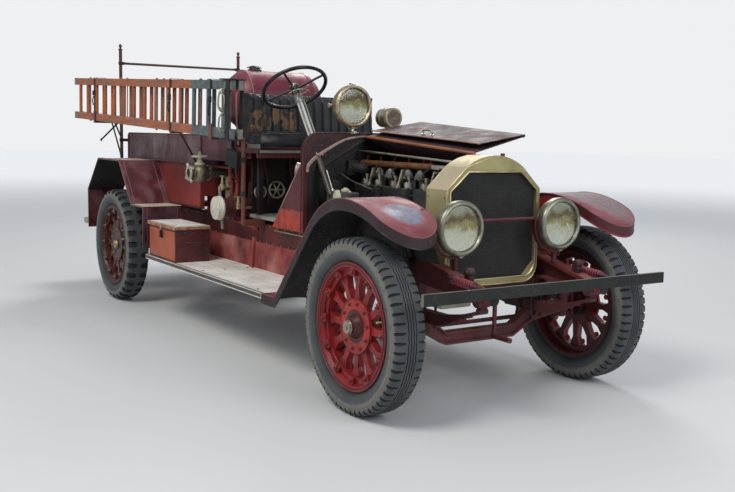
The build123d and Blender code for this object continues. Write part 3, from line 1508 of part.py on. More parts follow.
def starting_crank():
    """The starting handle at rest, hanging down from its shaft under the radiator."""
    shaft = rod((front_cross_x - 60.0, 0, crank_z), (crank_arm_x, 0, crank_z), crank_shaft_radius)
    arm = rod((crank_arm_x, 0, crank_z + 14.0), (crank_arm_x, 0, crank_z - crank_arm_length), 13.0)
    low = crank_z - crank_arm_length
    grip = rod((crank_arm_x - 13.0, 0, low), (crank_arm_x + crank_grip_length, 0, low), 15.0)
    return fused(shaft, arm, grip)


def exhaust():
    """The pipe and silencer along the left side of the frame."""
    y, z = exhaust_y, exhaust_z
    rear, front = cross_places[1] + 450.0, engine_rear_x + 320.0
    pipe = rod((rear, y, z), (front, y, z), 30.0)
    silencer = disc(rear + 400.0, y, z, 85.0, 700.0, "X")
    riser = rod((front, y, z - 20.0), (front, y, z + 200.0), 30.0)
    tail = rod((rear - 300.0, y, z), (rear + 60.0, y, z), 26.0)
    whole = fused(pipe, silencer, riser, tail)
    member_z = rail_bottom_z + rail_height / 2 - cross_radius
    for x in cross_places[2:]:
        whole += block(x - 16, x + 16, y - 12, y + 12, z, member_z - seat_gap)
    return whole


# The model

os.makedirs("parts", exist_ok=True)

left_knuckle, arm_end, arm_z = knuckle()
left_fender = front_fender()
bonnet_left_leaves, bonnet_ridge = bonnet_left()
right_top, right_side = bonnet_right()

nodes = {
    "frame_rails": frame(),
    "leaf_springs": springs(),
    "front_axle": front_axle(),
    "rear_axle": rear_axle(),
    "driveline": driveline(),
    "engine_crankcase": crankcase(),
    "engine_cylinders": cylinders(),
    "engine_fittings": engine_fittings(),
    "engine_manifolds": manifolds(),
    "radiator_stay": radiator_stay(),
    "exhaust": exhaust(),
    "radiator_shell": radiator_shell(),
    "radiator_core": radiator_core(),
    "dash_panel": dash(),
    "bonnet_left": bonnet_left_leaves,
    "bonnet_ridge": bonnet_ridge,
    "bonnet_right_top": right_top,
    "bonnet_right_side": right_side,
    "headlamps": headlamps(),
    "headlamp_brackets": headlamp_brackets(),
    "spotlight": spotlight(),
    "siren": siren(),
    "bumper": bumper(),
    "rear_fenders": rear_fenders(),
    "running_boards": running_boards(),
    "floor_boards": floor_boards(),
    "seat_frame": seat_frame(),
    "seat_cushion": seat_cushion(),
    "seat_back": seat_back(),
    "steering_column": steering_column(),
    "steering_wheel": steering_wheel(),
    "hand_levers": hand_levers(),
    "pump": pump(),
    "discharge_valves": discharge_valves(),
    "hose_body": hose_body(),
    "tank_stand": tank_stand(),
    "water_tank": tank(),
    "hand_rails": hand_rails(),
    "ladder_outer": ladder(ladder_outer_y, 0.0),
    "ladder_inner": ladder(ladder_inner_y, 40.0),
    "tail_step": tail_step(),
    "starting_crank": starting_crank(),
    "tie_rod": tie_rod(arm_end, arm_z),
}

for side, sign in (("left", 1), ("right", -1)):
    place = (lambda shape: shape) if sign > 0 else left_of
    nodes["knuckle_" + side] = place(left_knuckle)
    nodes["front_fender_" + side] = place(left_fender)
    nodes["toolbox_" + side] = place(toolbox())
    nodes["toolbox_lid_" + side] = place(toolbox_lid())
    for axle, axle_x, radius, hub_out, drum in (
        ("front", front_axle_x, front_tyre_radius, front_hub_out, False),
        ("rear", rear_axle_x, rear_tyre_radius, rear_hub_out, True),
    ):
        nodes[axle + "_wheel_" + side] = wheel(axle_x, radius, sign, hub_out, drum)
        nodes[axle + "_tyre_" + side] = tyre(axle_x, radius, sign)

for name, shape in nodes.items():
    export_step(shape, "parts/" + name + ".step")
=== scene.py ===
"""Looks of the open-cab fire pumper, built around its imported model, in metres."""

import math
from itertools import product

import bpy
import numpy as np
from mathutils import Matrix, Vector


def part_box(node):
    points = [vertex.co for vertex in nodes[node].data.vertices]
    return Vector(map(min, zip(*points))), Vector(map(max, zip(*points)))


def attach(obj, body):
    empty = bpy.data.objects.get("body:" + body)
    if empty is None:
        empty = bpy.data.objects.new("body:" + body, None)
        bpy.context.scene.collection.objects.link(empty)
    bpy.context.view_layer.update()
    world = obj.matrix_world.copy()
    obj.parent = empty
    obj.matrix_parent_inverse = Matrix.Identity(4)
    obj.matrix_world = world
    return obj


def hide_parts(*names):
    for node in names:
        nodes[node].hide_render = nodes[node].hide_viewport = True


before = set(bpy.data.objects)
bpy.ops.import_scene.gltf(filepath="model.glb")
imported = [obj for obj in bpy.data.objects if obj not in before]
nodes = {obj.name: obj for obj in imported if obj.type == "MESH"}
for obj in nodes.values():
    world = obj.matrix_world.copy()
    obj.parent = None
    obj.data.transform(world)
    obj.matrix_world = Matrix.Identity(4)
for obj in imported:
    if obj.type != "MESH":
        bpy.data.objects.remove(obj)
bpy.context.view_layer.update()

# Camera, from the photograph's viewing angle
CAMERA_PLACE = (6.5376, -3.4656, 1.5011)
CAMERA_YAW = 147.161
CAMERA_PITCH = 6.836
CAMERA_ROLL = 1.026
CAMERA_FOCAL_PX = 938.17
PHOTO_WIDTH = 735
SENSOR_WIDTH = 36.0

# Places of the model
FRONT_AXLE_X = 2.368
REAR_AXLE_X = -1.632
WHEEL_Y = 0.805
FRONT_TYRE_RADIUS = 0.477
REAR_TYRE_RADIUS = 0.486
RADIATOR_X = FRONT_AXLE_X + 0.113
DASH_X = RADIATOR_X - 1.378
DASH_FRONT_X = DASH_X + 0.017
SPRING_Y = 0.393
FENDER_CROWN_X = FRONT_AXLE_X - 0.058
FENDER_CROWN_Z = 1.160
FENDER_ARCS = (0.470, 0.800)
FENDER_SLOPE = math.radians(49.5)
FENDER_TURN = math.radians(38)
BOARD_Z = 0.505
SIDE_Y = 0.9
LADDER_REAR_X = REAR_AXLE_X - 1.24
LADDER_MID_REAR_Z = 1.797
LADDER_SLOPE = math.radians(2.45)
LADDER_FRONT_X = LADDER_REAR_X + 3.66 * math.cos(LADDER_SLOPE)
SIDES = (("left", 1), ("right", -1))
COIL_Y, COIL_Z = 0.454, 0.738
POST_X, POST_Y = -2.215, 0.600
FRONT_POST_X = 0.460
LADDER_RAILS = (-0.830, -0.772)
TURN = 2 * math.pi


# Meshes

class Form:
    """Points and faces of the mesh in the making, from simple shapes; kind picks the finish of new faces."""

    def __init__(self):
        self.clear()

    def clear(self):
        """Empties the form for the next mesh."""
        self.points = []
        self.faces = []
        self.kinds = []
        self.kind = 0

    def add(self, points, faces):
        """Joins a shape to the form."""
        start = len(self.points)
        self.points.extend(tuple(point) for point in points)
        self.faces.extend(tuple(start + index for index in face) for face in faces)
        self.kinds.extend([self.kind] * len(faces))

    def rows(self, rows, closed=False):
        """Joins neighbouring round rows of points with faces; open ends get a cap."""
        count = len(rows[0])
        points = [point for row in rows for point in row]
        faces = []
        for number in range(len(rows) if closed else len(rows) - 1):
            low, high = number * count, (number + 1) % len(rows) * count
            for step in range(count):
                after = (step + 1) % count
                faces.append((low + step, low + after, high + after, high + step))
        if not closed:
            faces.append(tuple(range(count))[::-1])
            faces.append(tuple(len(points) - count + step for step in range(count)))
        self.add(points, faces)

    def tube(self, path, radius, sides=8, closed=False):
        """A round bar along a path; radius is one number or one for each point."""
        path = [Vector(point) for point in path]
        radii = radius if isinstance(radius, (list, tuple)) else [radius] * len(path)
        rows, across = [], None
        for number, point in enumerate(path):
            before = path[number - 1] if number or closed else point
            after = path[(number + 1) % len(path)] if closed or number + 1 < len(path) else point
            along = (after - before).normalized()
            if across is None:
                helper = Vector((0, 0, 1)) if abs(along.z) < 0.9 else Vector((1, 0, 0))
                across = along.cross(helper)
            across = (across - along * across.dot(along)).normalized()
            up = along.cross(across)
            rows.append([
                point + radii[number] * (math.cos(turn) * across + math.sin(turn) * up)
                for turn in (TURN * side / sides for side in range(sides))
            ])
        self.rows(rows, closed)

    def strip(self, path, width, height, up, closed=False):
        """A flat bar on a path: width across it, height in the direction up; both up and width may vary."""
        path = [Vector(point) for point in path]
        ups = up if isinstance(up, list) else [up] * len(path)
        widths = width if isinstance(width, list) else [width] * len(path)
        rows = []
        for number, point in enumerate(path):
            before = path[number - 1] if number or closed else point
            after = path[(number + 1) % len(path)] if closed or number + 1 < len(path) else point
            upward = Vector(ups[number]).normalized()
            across = upward.cross(after - before).normalized() * widths[number] / 2
            rise = upward * height
            rows.append([point - across, point + across, point + across * 0.8 + rise, point - across * 0.8
                         + rise])
        self.rows(rows, closed)

    def lathe(self, profile, centre, axis, steps=48, closed=False):
        """A turned shape about an axis through the centre, from (along, radius) points."""
        centre, axis = Vector(centre), Vector(axis).normalized()
        across, up = sideways(axis)
        rows = []
        for along, radius in profile:
            rows.append([
                centre + along * axis + radius * (math.cos(turn) * across + math.sin(turn) * up)
                for turn in (TURN * step / steps for step in range(steps))
            ])
        self.rows(rows, closed)

    def ring(self, centre, axis, radius, thick, steps=48, sides=8):
        """A round ring about an axis."""
        self.tube(circle(centre, axis, radius, steps)[:-1], thick, sides=sides, closed=True)

    def block(self, centre, size, along=(1, 0, 0), up=(0, 0, 1)):
        """A block about its centre; its size runs along, across and up."""
        along = Vector(along).normalized()
        across = Vector(up).cross(along).normalized()
        upward = along.cross(across)
        points = []
        for high, (x, y) in product((-0.5, 0.5), ((-0.5, -0.5), (0.5, -0.5), (0.5, 0.5), (-0.5, 0.5))):
            points.append(Vector(centre) + x * size[0] * along + y * size[1] * across
                          + high * size[2] * upward)
        self.add(points, [(3, 2, 1, 0), (4, 5, 6, 7), (0, 1, 5, 4), (1, 2, 6, 5), (2, 3, 7, 6), (3, 0, 4, 7)])

    def bolt(self, place, along, radius, height):
        """A hexagon bolt head that stands on a place."""
        self.lathe([(-0.002, radius), (height * 0.8, radius), (height, radius * 0.8)], place, along, steps=6)

    def rivet(self, place, along, radius):
        """A domed rivet head."""
        profile = [(-0.001, radius), (radius * 0.35, radius * 0.85), (radius * 0.6, radius * 0.4)]
        self.lathe(profile, place, along, steps=8)


form = Form()


def sideways(axis):
    """Two directions square to an axis and to each other."""
    helper = Vector((0, 0, 1)) if abs(axis.z) < 0.9 else Vector((1, 0, 0))
    across = axis.cross(helper).normalized()
    return across, axis.cross(across)


def spokes(axis, count, first=0.0):
    """Directions spread evenly round the x, y or z axis; first is a share of their spacing."""
    for number in range(count):
        turn = TURN * (number + first) / count
        pair = [math.cos(turn), math.sin(turn)]
        pair.insert("xyz".index(axis), 0.0)
        yield Vector(pair)


def circle(centre, axis, radius, steps=48, start=0.0, end=360.0):
    """Points round an axis, from one angle to another in degrees."""
    centre, axis = Vector(centre), Vector(axis).normalized()
    across, up = sideways(axis)
    turns = (math.radians(start + (end - start) * step / steps) for step in range(steps + 1))
    return [centre + radius * (math.cos(turn) * across + math.sin(turn) * up) for turn in turns]


def curve(points, steps=6):
    """A smooth line through points."""
    points = [Vector(point) for point in points]
    padded = [2 * points[0] - points[1]] + points + [2 * points[-1] - points[-2]]
    line = []
    for a, b, c, d in zip(padded, padded[1:], padded[2:], padded[3:]):
        for step in range(steps):
            t = step / steps
            line.append(0.5 * (2 * b + (c - a) * t + (2 * a - 5 * b + 4 * c - d) * t ** 2
                               + (3 * b - a - 3 * c + d) * t ** 3))
    return line + [points[-1]]


def helix(start, end, radius, turns, steps=14):
    """Points of a coil between two places."""
    start, end = Vector(start), Vector(end)
    axis = (end - start).normalized()
    across, up = sideways(axis)
    count = int(turns * steps)
    return [
        start.lerp(end, step / count) + radius * (
            math.cos(TURN * step / steps) * across + math.sin(TURN * step / steps) * up)
        for step in range(count + 1)
    ]


def piece(name, finish, body="chassis", round_below=38.0, bevel=0.0, origin=None):
    """A mesh object from the form in the making, with its finishes, on the body that carries it."""
    mesh = bpy.data.meshes.new(name)
    mesh.from_pydata(form.points, [], form.faces)
    for one in finish if isinstance(finish, list) else [finish]:
        mesh.materials.append(one)
    mesh.polygons.foreach_set("material_index", form.kinds)
    mesh.validate()
    mesh.shade_smooth()
    mesh.set_sharp_from_angle(angle=math.radians(round_below))
    thing = bpy.data.objects.new(name, mesh)
    if origin is not None:
        mesh.transform(Matrix.Translation(-Vector(origin)))
        thing.location = origin
    bpy.context.scene.collection.objects.link(thing)
    if bevel:
        rounding = thing.modifiers.new("edges", "BEVEL")
        rounding.width = bevel
        rounding.segments = 2
        rounding.limit_method = "ANGLE"
        rounding.angle_limit = math.radians(40)
    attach(thing, body)
    form.clear()
    return thing


# Materials

CHIPS = 0.56  # the noise above which paint has chipped off


class Finish:
    """One material: its shader, and short names for the nodes that feed it."""

    def __init__(self, name, **sockets):
        self.material = bpy.data.materials.new(name)
        self.material.use_nodes = True
        self.tree = self.material.node_tree
        self.shader = self.tree.nodes["Principled BSDF"]
        for socket, value in sockets.items():
            self.put(self.shader.inputs[socket.replace("_", " ")], value)

    def put(self, socket, value):
        """Links a socket, or sets its value; a colour of three numbers is in 0-255 display values."""
        if isinstance(value, bpy.types.NodeSocket):
            self.tree.links.new(value, socket)
        elif socket.type == "RGBA" and len(value) == 3:
            socket.default_value = rgb(*value)
        else:
            socket.default_value = value

    def node(self, kind, settings=None, **inputs):
        """Adds a node; inputs are given by the socket's name or number."""
        node = self.tree.nodes.new("ShaderNode" + kind)
        for key, value in (settings or {}).items():
            setattr(node, key, value)
        for key, value in inputs.items():
            socket = node.inputs[int(key[1:])] if key[0] == "n" and key[1:].isdigit() else node.inputs[key]
            self.put(socket, value)
        return node

    def place(self, scale=(1, 1, 1), shift=(0, 0, 0)):
        """The object's coordinates, scaled and shifted."""
        coordinates = self.node("TexCoord").outputs["Object"]
        return self.node("Mapping", Vector=coordinates, Location=shift, Scale=scale).outputs["Vector"]

    def noise(self, size, stretch=(1, 1, 1), detail=4.0, rough=0.55, warp=0.0, shift=(0, 0, 0)):
        """Cloudy noise; size is the width of a patch in metres."""
        node = self.node(
            "TexNoise", Vector=self.place(stretch, shift), Scale=1.0 / size, Detail=detail, Roughness=rough,
            Distortion=warp,
        )
        return node.outputs["Fac"]

    def span(self, value, low, high, first=0.0, last=1.0, soft=False):
        """Maps low..high to first..last, held at the ends."""
        node = self.node("MapRange", {"interpolation_type": "SMOOTHSTEP" if soft else "LINEAR"}, Value=value)
        for number, limit in enumerate((low, high, first, last)):
            node.inputs[number + 1].default_value = limit
        return node.outputs["Result"]

    def cloud(self, size, low, high, first=0.0, last=1.0, **noise):
        """A share from cloudy noise."""
        return self.span(self.noise(size, **noise), low, high, first, last)

    def mottle(self, size, low, high, first, second, **noise):
        """Two colours in cloudy patches."""
        return self.mix(self.cloud(size, low, high, **noise), first, second)

    def mix(self, share, first, second):
        """Blends two colours."""
        node = self.node("Mix", {"data_type": "RGBA"})
        for number, value in ((0, share), (6, first), (7, second)):
            self.put(node.inputs[number], value)
        return node.outputs[2]

    def sum(self, way, first, second=0.0):
        """Arithmetic on two numbers."""
        return self.node("Math", {"operation": way}, n0=first, n1=second).outputs[0]

    def both(self, *shares):
        """The product of several shares."""
        whole = shares[0]
        for share in shares[1:]:
            whole = self.sum("MULTIPLY", whole, share)
        return whole

    def axis(self, name):
        """One of the object's coordinates."""
        return self.node("SeparateXYZ", Vector=self.place()).outputs[name]

    def out(self):
        """The distance from the vehicle's middle plane."""
        return self.sum("ABSOLUTE", self.axis("Y"))

    def reach(self, x, z):
        """The distance from an axle that runs across the vehicle."""
        across = self.sum("SUBTRACT", self.axis("X"), x)
        high = self.sum("SUBTRACT", self.axis("Z"), z)
        squares = self.sum("ADD", self.sum("MULTIPLY", across, across), self.sum("MULTIPLY", high, high))
        return self.sum("SQRT", squares)

    def facing(self, name="Z"):
        """How much the surface faces along an axis."""
        normal = self.node("NewGeometry").outputs["Normal"]
        return self.node("SeparateXYZ", Vector=normal).outputs[name]

    def ramp(self, value, *stops):
        """A colour by a value, from (value, colour) stops in rising order."""
        low, high = stops[0][0], stops[-1][0]
        node = self.node("ValToRGB", Fac=self.span(value, low, high))
        band = node.color_ramp
        while len(band.elements) < len(stops):
            band.elements.new(0.5)
        for element, (where, colour) in zip(band.elements, stops):
            element.position = (where - low) / (high - low)
        for element, (where, colour) in zip(band.elements, stops):
            element.color = rgb(*colour)
        return node.outputs["Color"]

    def bump(self, height, distance, strength):
        """Relief from a height, in metres."""
        node = self.node("Bump", Height=height, Distance=distance, Strength=strength)
        self.put(self.shader.inputs["Normal"], node.outputs["Normal"])

    def done(self, colour=None, rough=None):
        """Sets the linked colour and roughness, and returns the material."""
        if colour is not None:
            self.put(self.shader.inputs["Base Color"], colour)
        if rough is not None:
            self.put(self.shader.inputs["Roughness"], rough)
        return self.material


def rgb(red, green, blue):
    """A linear colour from 0-255 display values."""
    def linear(value):
        value = value / 255.0
        return value / 12.92 if value <= 0.04045 else ((value + 0.055) / 1.055) ** 2.4
    return (linear(red), linear(green), linear(blue), 1.0)


def old_paint(name, base, deep, faded, primer, fade_up=0.6, gloss=0.32, over=None):
    """Worn coach paint: deep patches, bleached tops, streaks and chips; over adds to its colour."""
    f = Finish(name)
    patches = f.cloud(0.45, 0.35, 0.68, detail=5)
    colour = f.mix(patches, base, deep)
    streaks = f.cloud(0.09, 0.48, 0.75, stretch=(1, 1, 0.12), detail=4)
    colour = f.mix(f.both(streaks, 0.35), colour, deep)
    upward = f.span(f.facing(), 0.35, 0.95)
    cloud = f.cloud(0.2, 0.38, 0.62, detail=6, warp=0.4)
    bleach = f.both(upward, cloud, fade_up)
    colour = f.mix(bleach, colour, faded)
    if over is not None:
        colour = over(f, colour)
    specks = f.cloud(0.022, CHIPS, CHIPS + 0.05, detail=6, rough=0.7)
    wear = f.cloud(0.3, 0.45, 0.6, detail=3, shift=(3, 1, 2))
    chipped = f.both(specks, wear)
    colour = f.mix(chipped, colour, primer)
    rough = f.cloud(0.15, 0.3, 0.75, gloss, gloss + 0.28, detail=5)
    rough = f.sum("ADD", rough, f.both(bleach, 0.25))
    height = f.sum("SUBTRACT", f.both(f.noise(0.012, detail=3), 0.3), chipped)
    f.bump(height, 0.0006, 0.5)
    return f.done(colour, rough)


def metal(name, base, tarnish, rough=0.3, patch=0.12, share=0.6, over=None):
    """Bright or dull metal with tarnish in cloudy patches; over adds to its colour."""
    f = Finish(name, Metallic=1.0)
    cloud = f.cloud(patch, 0.38, 0.66, detail=6, rough=0.65, warp=0.5)
    colour = f.mix(f.both(cloud, share), base, tarnish)
    if over is not None:
        colour = over(f, colour)
    uneven = f.cloud(patch * 0.35, 0.3, 0.7, rough, rough + 0.22, detail=5)
    f.bump(f.noise(0.008, detail=4), 0.0004, 0.35)
    return f.done(colour, uneven)


def cast_iron(name, base, rust, rough=0.6, share=0.4, over=None):
    """Rough dark castings and forgings with a bloom of rust and dust."""
    f = Finish(name)
    cloud = f.cloud(0.1, 0.45, 0.68, detail=6, rough=0.65)
    colour = f.mix(f.both(cloud, share), base, rust)
    if over is not None:
        colour = over(f, colour)
    f.bump(f.noise(0.006, detail=5), 0.0008, 0.6)
    return f.done(colour, f.cloud(0.05, 0.3, 0.7, rough, rough + 0.25))


def timber(name, base, grain, worn, along=(0.06, 1, 1), rough=0.5, over=None):
    """Wood with long grain and worn patches."""
    f = Finish(name)
    fibre = f.cloud(0.012, 0.35, 0.7, stretch=along, detail=6, rough=0.6, warp=0.3)
    colour = f.mix(fibre, base, grain)
    patches = f.cloud(0.25, 0.42, 0.62, detail=5)
    colour = f.mix(f.both(patches, 0.5), colour, worn)
    if over is not None:
        colour = over(f, colour)
    f.bump(fibre, 0.0008, 0.5)
    return f.done(colour, f.cloud(0.08, 0.3, 0.7, rough, rough + 0.25))


def tyre_rubber(name, radius):
    """Dusty rubber, coloured by its distance from the wheel's centre."""
    f = Finish(name)
    reach = f.sum("ADD", f.reach(0.0, 0.0), f.both(f.noise(0.05, detail=4), 0.008))
    colour = f.ramp(
        reach, (0.345, (34, 35, 35)), (0.366, (50, 52, 53)), (0.385, (68, 72, 76)),
        (radius - 0.070, (74, 79, 84)), (radius - 0.056, (116, 115, 106)),
        (radius - 0.028, (108, 108, 101)), (radius - 0.012, (66, 70, 74)), (radius + 0.004, (60, 64, 68)),
    )
    dust = f.cloud(0.12, 0.42, 0.66, detail=6, rough=0.65)
    colour = f.mix(f.both(dust, 0.3), colour, (106, 106, 100))
    dark = f.cloud(0.03, 0.52, 0.7, detail=6, rough=0.7)
    colour = f.mix(f.both(dark, 0.5), colour, (42, 44, 46))
    f.bump(f.noise(0.004, detail=5), 0.0006, 0.6)
    return f.done(colour, f.cloud(0.06, 0.3, 0.7, 0.68, 0.9))


def wheel_paint(name, axle_x, axle_z, bright, disc, barrel, dirt, dirty, rim):
    """A painted wheel: rim and spokes, the hub's disc and barrel in colours of their own, dirt between, and
    painted shade on the side that faces the vehicle.
    """
    f = Finish(name)
    reach = f.reach(axle_x, axle_z)
    colour = f.ramp(reach, (0.07, barrel), (0.088, barrel), (0.096, disc), (0.146, disc), (0.156, bright),
                    (0.326, bright), (0.329, barrel), (0.338, barrel), (0.341, rim), (0.35, rim))
    streak = f.cloud(0.14, 0.4, 0.66, detail=5, warp=0.4)
    colour = f.mix(f.both(streak, 0.45), colour, barrel)
    # Painted shade: the wheel's inner side, facing the vehicle, is darkened to a dark brown.
    inner = f.span(f.both(f.facing("Y"), f.axis("Y")), -0.4, -0.1, 0.85, 0.0)
    inner = f.sum("MAXIMUM", inner, f.span(f.out(), 0.785, 0.8, 0.8, 0.0))
    colour = f.mix(inner, colour, (46, 18, 17))
    grime = f.cloud(0.05, 0.5, 0.66, detail=6, rough=0.7)
    colour = f.mix(f.both(grime, dirty), colour, dirt)
    f.bump(f.noise(0.01, detail=4), 0.0006, 0.5)
    return f.done(colour, f.cloud(0.08, 0.3, 0.7, 0.32, 0.6))


def step(f, value, edge, soft=0.004):
    """A share that rises from 0 to 1 across an edge."""
    return f.span(value, edge - soft, edge + soft)


def inside(f, value, low, high, soft=0.01):
    """A share that is 1 between two limits."""
    return f.both(step(f, value, low, soft), step(f, f.both(value, -1.0), -high, soft))


def worn_nose(x, y, reach_x, reach_y, pale, ring, lip, under, apron):
    """Rings of worn paint round a place on a fender's nose; underside and apron differ, and the lip is
    painted dark as shade.
    """
    def over(f, colour):
        waver = f.cloud(0.09, 0.3, 0.7, -0.08, 0.08, detail=4, warp=0.3)
        away_x = f.both(f.sum("SUBTRACT", f.axis("X"), x), 1.0 / reach_x)
        away_y = f.both(f.sum("SUBTRACT", f.axis("Y"), y), 1.0 / reach_y)
        away = f.sum("SQRT", f.sum("ADD", f.both(away_x, away_x), f.both(away_y, away_y)))
        away = f.sum("ADD", away, waver)
        bare = f.mix(f.both(f.cloud(0.03, 0.45, 0.7, detail=5), 0.5), pale, ring)
        top = f.both(step(f, f.facing(), 0.45, 0.12), f.span(away, 0.75, 1.05, 1.0, 0.0))
        halo = f.both(step(f, f.facing(), 0.45, 0.12), f.span(away, 1.0, 1.35, 1.0, 0.0),
                      f.span(away, 0.7, 1.0))
        colour = f.mix(f.both(halo, 0.85), colour, ring)
        outer = f.both(f.span(away, 1.35, 1.5), f.span(away, 1.5, 1.7, 1.0, 0.0),
                       step(f, f.facing(), 0.45, 0.12), 0.5)
        colour = f.mix(outer, colour, ring)
        colour = f.mix(f.both(top, 0.92), colour, bare)
        # Painted shade: the lip's side-facing faces are darkened towards near black.
        colour = f.mix(f.span(f.facing(), 0.16, 0.34, 0.9, 0.0), colour, lip)
        below = f.span(f.facing(), -0.35, -0.05, 1.0, 0.0)
        colour = f.mix(below, colour, under)
        inner = f.span(f.out(), 0.553, 0.559, 1.0, 0.0)
        return f.mix(inner, colour, apron)
    return over


def body_side(f, colour):
    """The body's upper half dull and purplish, with darker rubbed streaks."""
    dull = f.mottle(0.07, 0.36, 0.66, (104, 72, 76), (70, 46, 52), detail=6, warp=0.6)
    grey = f.cloud(0.16, 0.45, 0.62, stretch=(1, 1, 0.4), detail=6)
    dull = f.mix(f.both(grey, 0.6), dull, (126, 112, 114))
    return f.mix(step(f, f.axis("Z"), 1.228, 0.003), colour, dull)


def board_parts(f, colour):
    """The splash boards inside the running boards stay red, and the brackets below dark."""
    high = step(f, f.axis("Z"), BOARD_Z + 0.004, 0.002)
    red = f.mottle(0.1, 0.35, 0.65, (150, 70, 66), (112, 44, 44), detail=6, warp=0.4)
    red = f.mix(f.cloud(0.35, 0.5, 0.66, detail=5), red, (172, 112, 104))
    colour = f.mix(high, colour, red)
    low = f.span(f.axis("Z"), BOARD_Z - 0.037, BOARD_Z - 0.035, 1.0, 0.0)
    plank = f.sum("PINGPONG", f.out(), 0.0475)
    groove = f.both(f.span(plank, 0.0, 0.0022, 1.0, 0.0), f.sum("SUBTRACT", 1.0, high))
    colour = f.mix(f.both(groove, 0.8), colour, (74, 68, 60))
    return f.mix(low, colour, (56, 38, 34))


def ladder_parts(f, colour):
    """The ladders' front end is painted grey-green, and their upper edges are bleached."""
    top = f.span(f.facing(), 0.7, 0.95)
    bleach = f.cloud(0.09, 0.3, 0.6, stretch=(0.2, 1, 1), detail=5)
    colour = f.mix(f.both(top, bleach, 0.85), colour, (176, 170, 154))
    front = f.span(f.sum("ADD", f.axis("X"), f.both(f.noise(0.03), 0.04)), 0.115, 0.13)
    green = f.mottle(0.05, 0.35, 0.65, (96, 106, 106), (66, 76, 78), detail=5)
    return f.mix(front, colour, green)


def column_parts(f, colour):
    """The column's lower part, before the dash, is dark."""
    dark = f.mottle(0.05, 0.4, 0.65, (44, 42, 38), (72, 66, 56), detail=5)
    return f.mix(step(f, f.axis("X"), DASH_FRONT_X, 0.002), colour, dark)


def dash_parts(f, colour):
    """The dash board's front is black and the foot of its side panels bright."""
    front = f.both(step(f, f.facing("X"), 0.6, 0.1), step(f, f.axis("X"), DASH_FRONT_X - 0.006, 0.002))
    side = f.both(f.axis("Y"), 1 / 0.452)
    rise = f.both(f.sum("MAXIMUM", f.sum("SUBTRACT", f.axis("Z"), 1.18), 0.0), 1 / 0.301)
    bay = f.span(f.sum("ADD", f.both(side, side), f.both(rise, rise)), 0.99, 1.01, 1.0, 0.0)
    brown = f.mottle(0.07, 0.38, 0.62, (62, 24, 23), (36, 16, 17), detail=6, warp=0.5)
    colour = f.mix(front, colour, f.mix(bay, brown, (16, 16, 15)))
    out = step(f, f.out(), 0.462, 0.002)
    foot = f.span(f.sum("ADD", f.axis("Z"), f.both(f.noise(0.06, detail=5), 0.06)), 1.0, 1.012, 1.0, 0.0)
    red = f.mottle(0.08, 0.38, 0.65, (178, 62, 40), (132, 40, 32), detail=5)
    return f.mix(f.both(out, foot, f.sum("SUBTRACT", 1.0, front)), colour, red)


def shell_parts(f, colour):
    """The radiator shell's slanted faces and its sides catch the light: painted highlights."""
    slanted = f.both(f.span(f.facing(), 0.25, 0.4),
                     f.span(f.sum("ABSOLUTE", f.facing("X")), 0.3, 0.5, 1.0, 0.0))
    colour = f.mix(f.both(slanted, 0.75), colour, (214, 200, 172))
    # Painted highlight on the shell's side faces.
    side = f.span(f.sum("ABSOLUTE", f.facing("Y")), 0.8, 0.95)
    return f.mix(f.both(side, 0.8), colour, (216, 204, 156))


def pump_parts(f, colour):
    """The suction caps are pale and their bars grey."""
    out = f.out()
    cream = f.mottle(0.06, 0.4, 0.65, (204, 200, 184), (160, 154, 138), detail=5)
    bar = f.mottle(0.04, 0.35, 0.65, (146, 146, 138), (94, 92, 86), detail=5)
    colour = f.mix(step(f, out, 0.6440, 0.0006), colour, bar)
    return f.mix(step(f, out, 0.6606, 0.0004), colour, cream)


def bumper_parts(f, colour):
    """The buffers behind the bumper bar are red."""
    red = f.mottle(0.05, 0.4, 0.65, (132, 52, 58), (88, 34, 38), detail=5)
    return f.mix(f.span(f.axis("X"), 2.9645, 2.9655, 1.0, 0.0), colour, red)


def chest_ends(f, colour):
    """The toolbox's ends are maroon."""
    across = f.sum("ABSOLUTE", f.facing("X"))
    maroon = f.mottle(0.1, 0.38, 0.65, (84, 26, 28), (52, 17, 20), detail=5)
    return f.mix(step(f, across, 0.6, 0.05), colour, maroon)


def lid_edges(f, colour):
    """The lid's edges keep their brown paint and its top is rubbed pale."""
    side = f.span(f.facing(), 0.3, 0.6, 1.0, 0.0)
    brown = f.mottle(0.04, 0.4, 0.62, (136, 82, 52), (168, 132, 104), detail=5)
    return f.mix(side, colour, brown)


def rear_fender_parts(f, colour):
    """The rear fenders' level tops and step plates are bleached; their undersides are black."""
    level = f.span(f.facing(), 0.965, 0.985)
    pale = f.mottle(0.07, 0.36, 0.62, (216, 200, 194), (176, 146, 140), detail=6, warp=0.5)
    colour = f.mix(f.both(level, 0.9), colour, pale)
    sheen = f.both(f.span(f.facing("X"), 0.5, 0.7), f.cloud(0.2, 0.45, 0.7, detail=4, warp=0.8), 0.35)
    colour = f.mix(sheen, colour, (150, 120, 132))
    return f.mix(f.span(f.facing(), -0.3, -0.1, 1.0, 0.0), colour, (24, 22, 22))


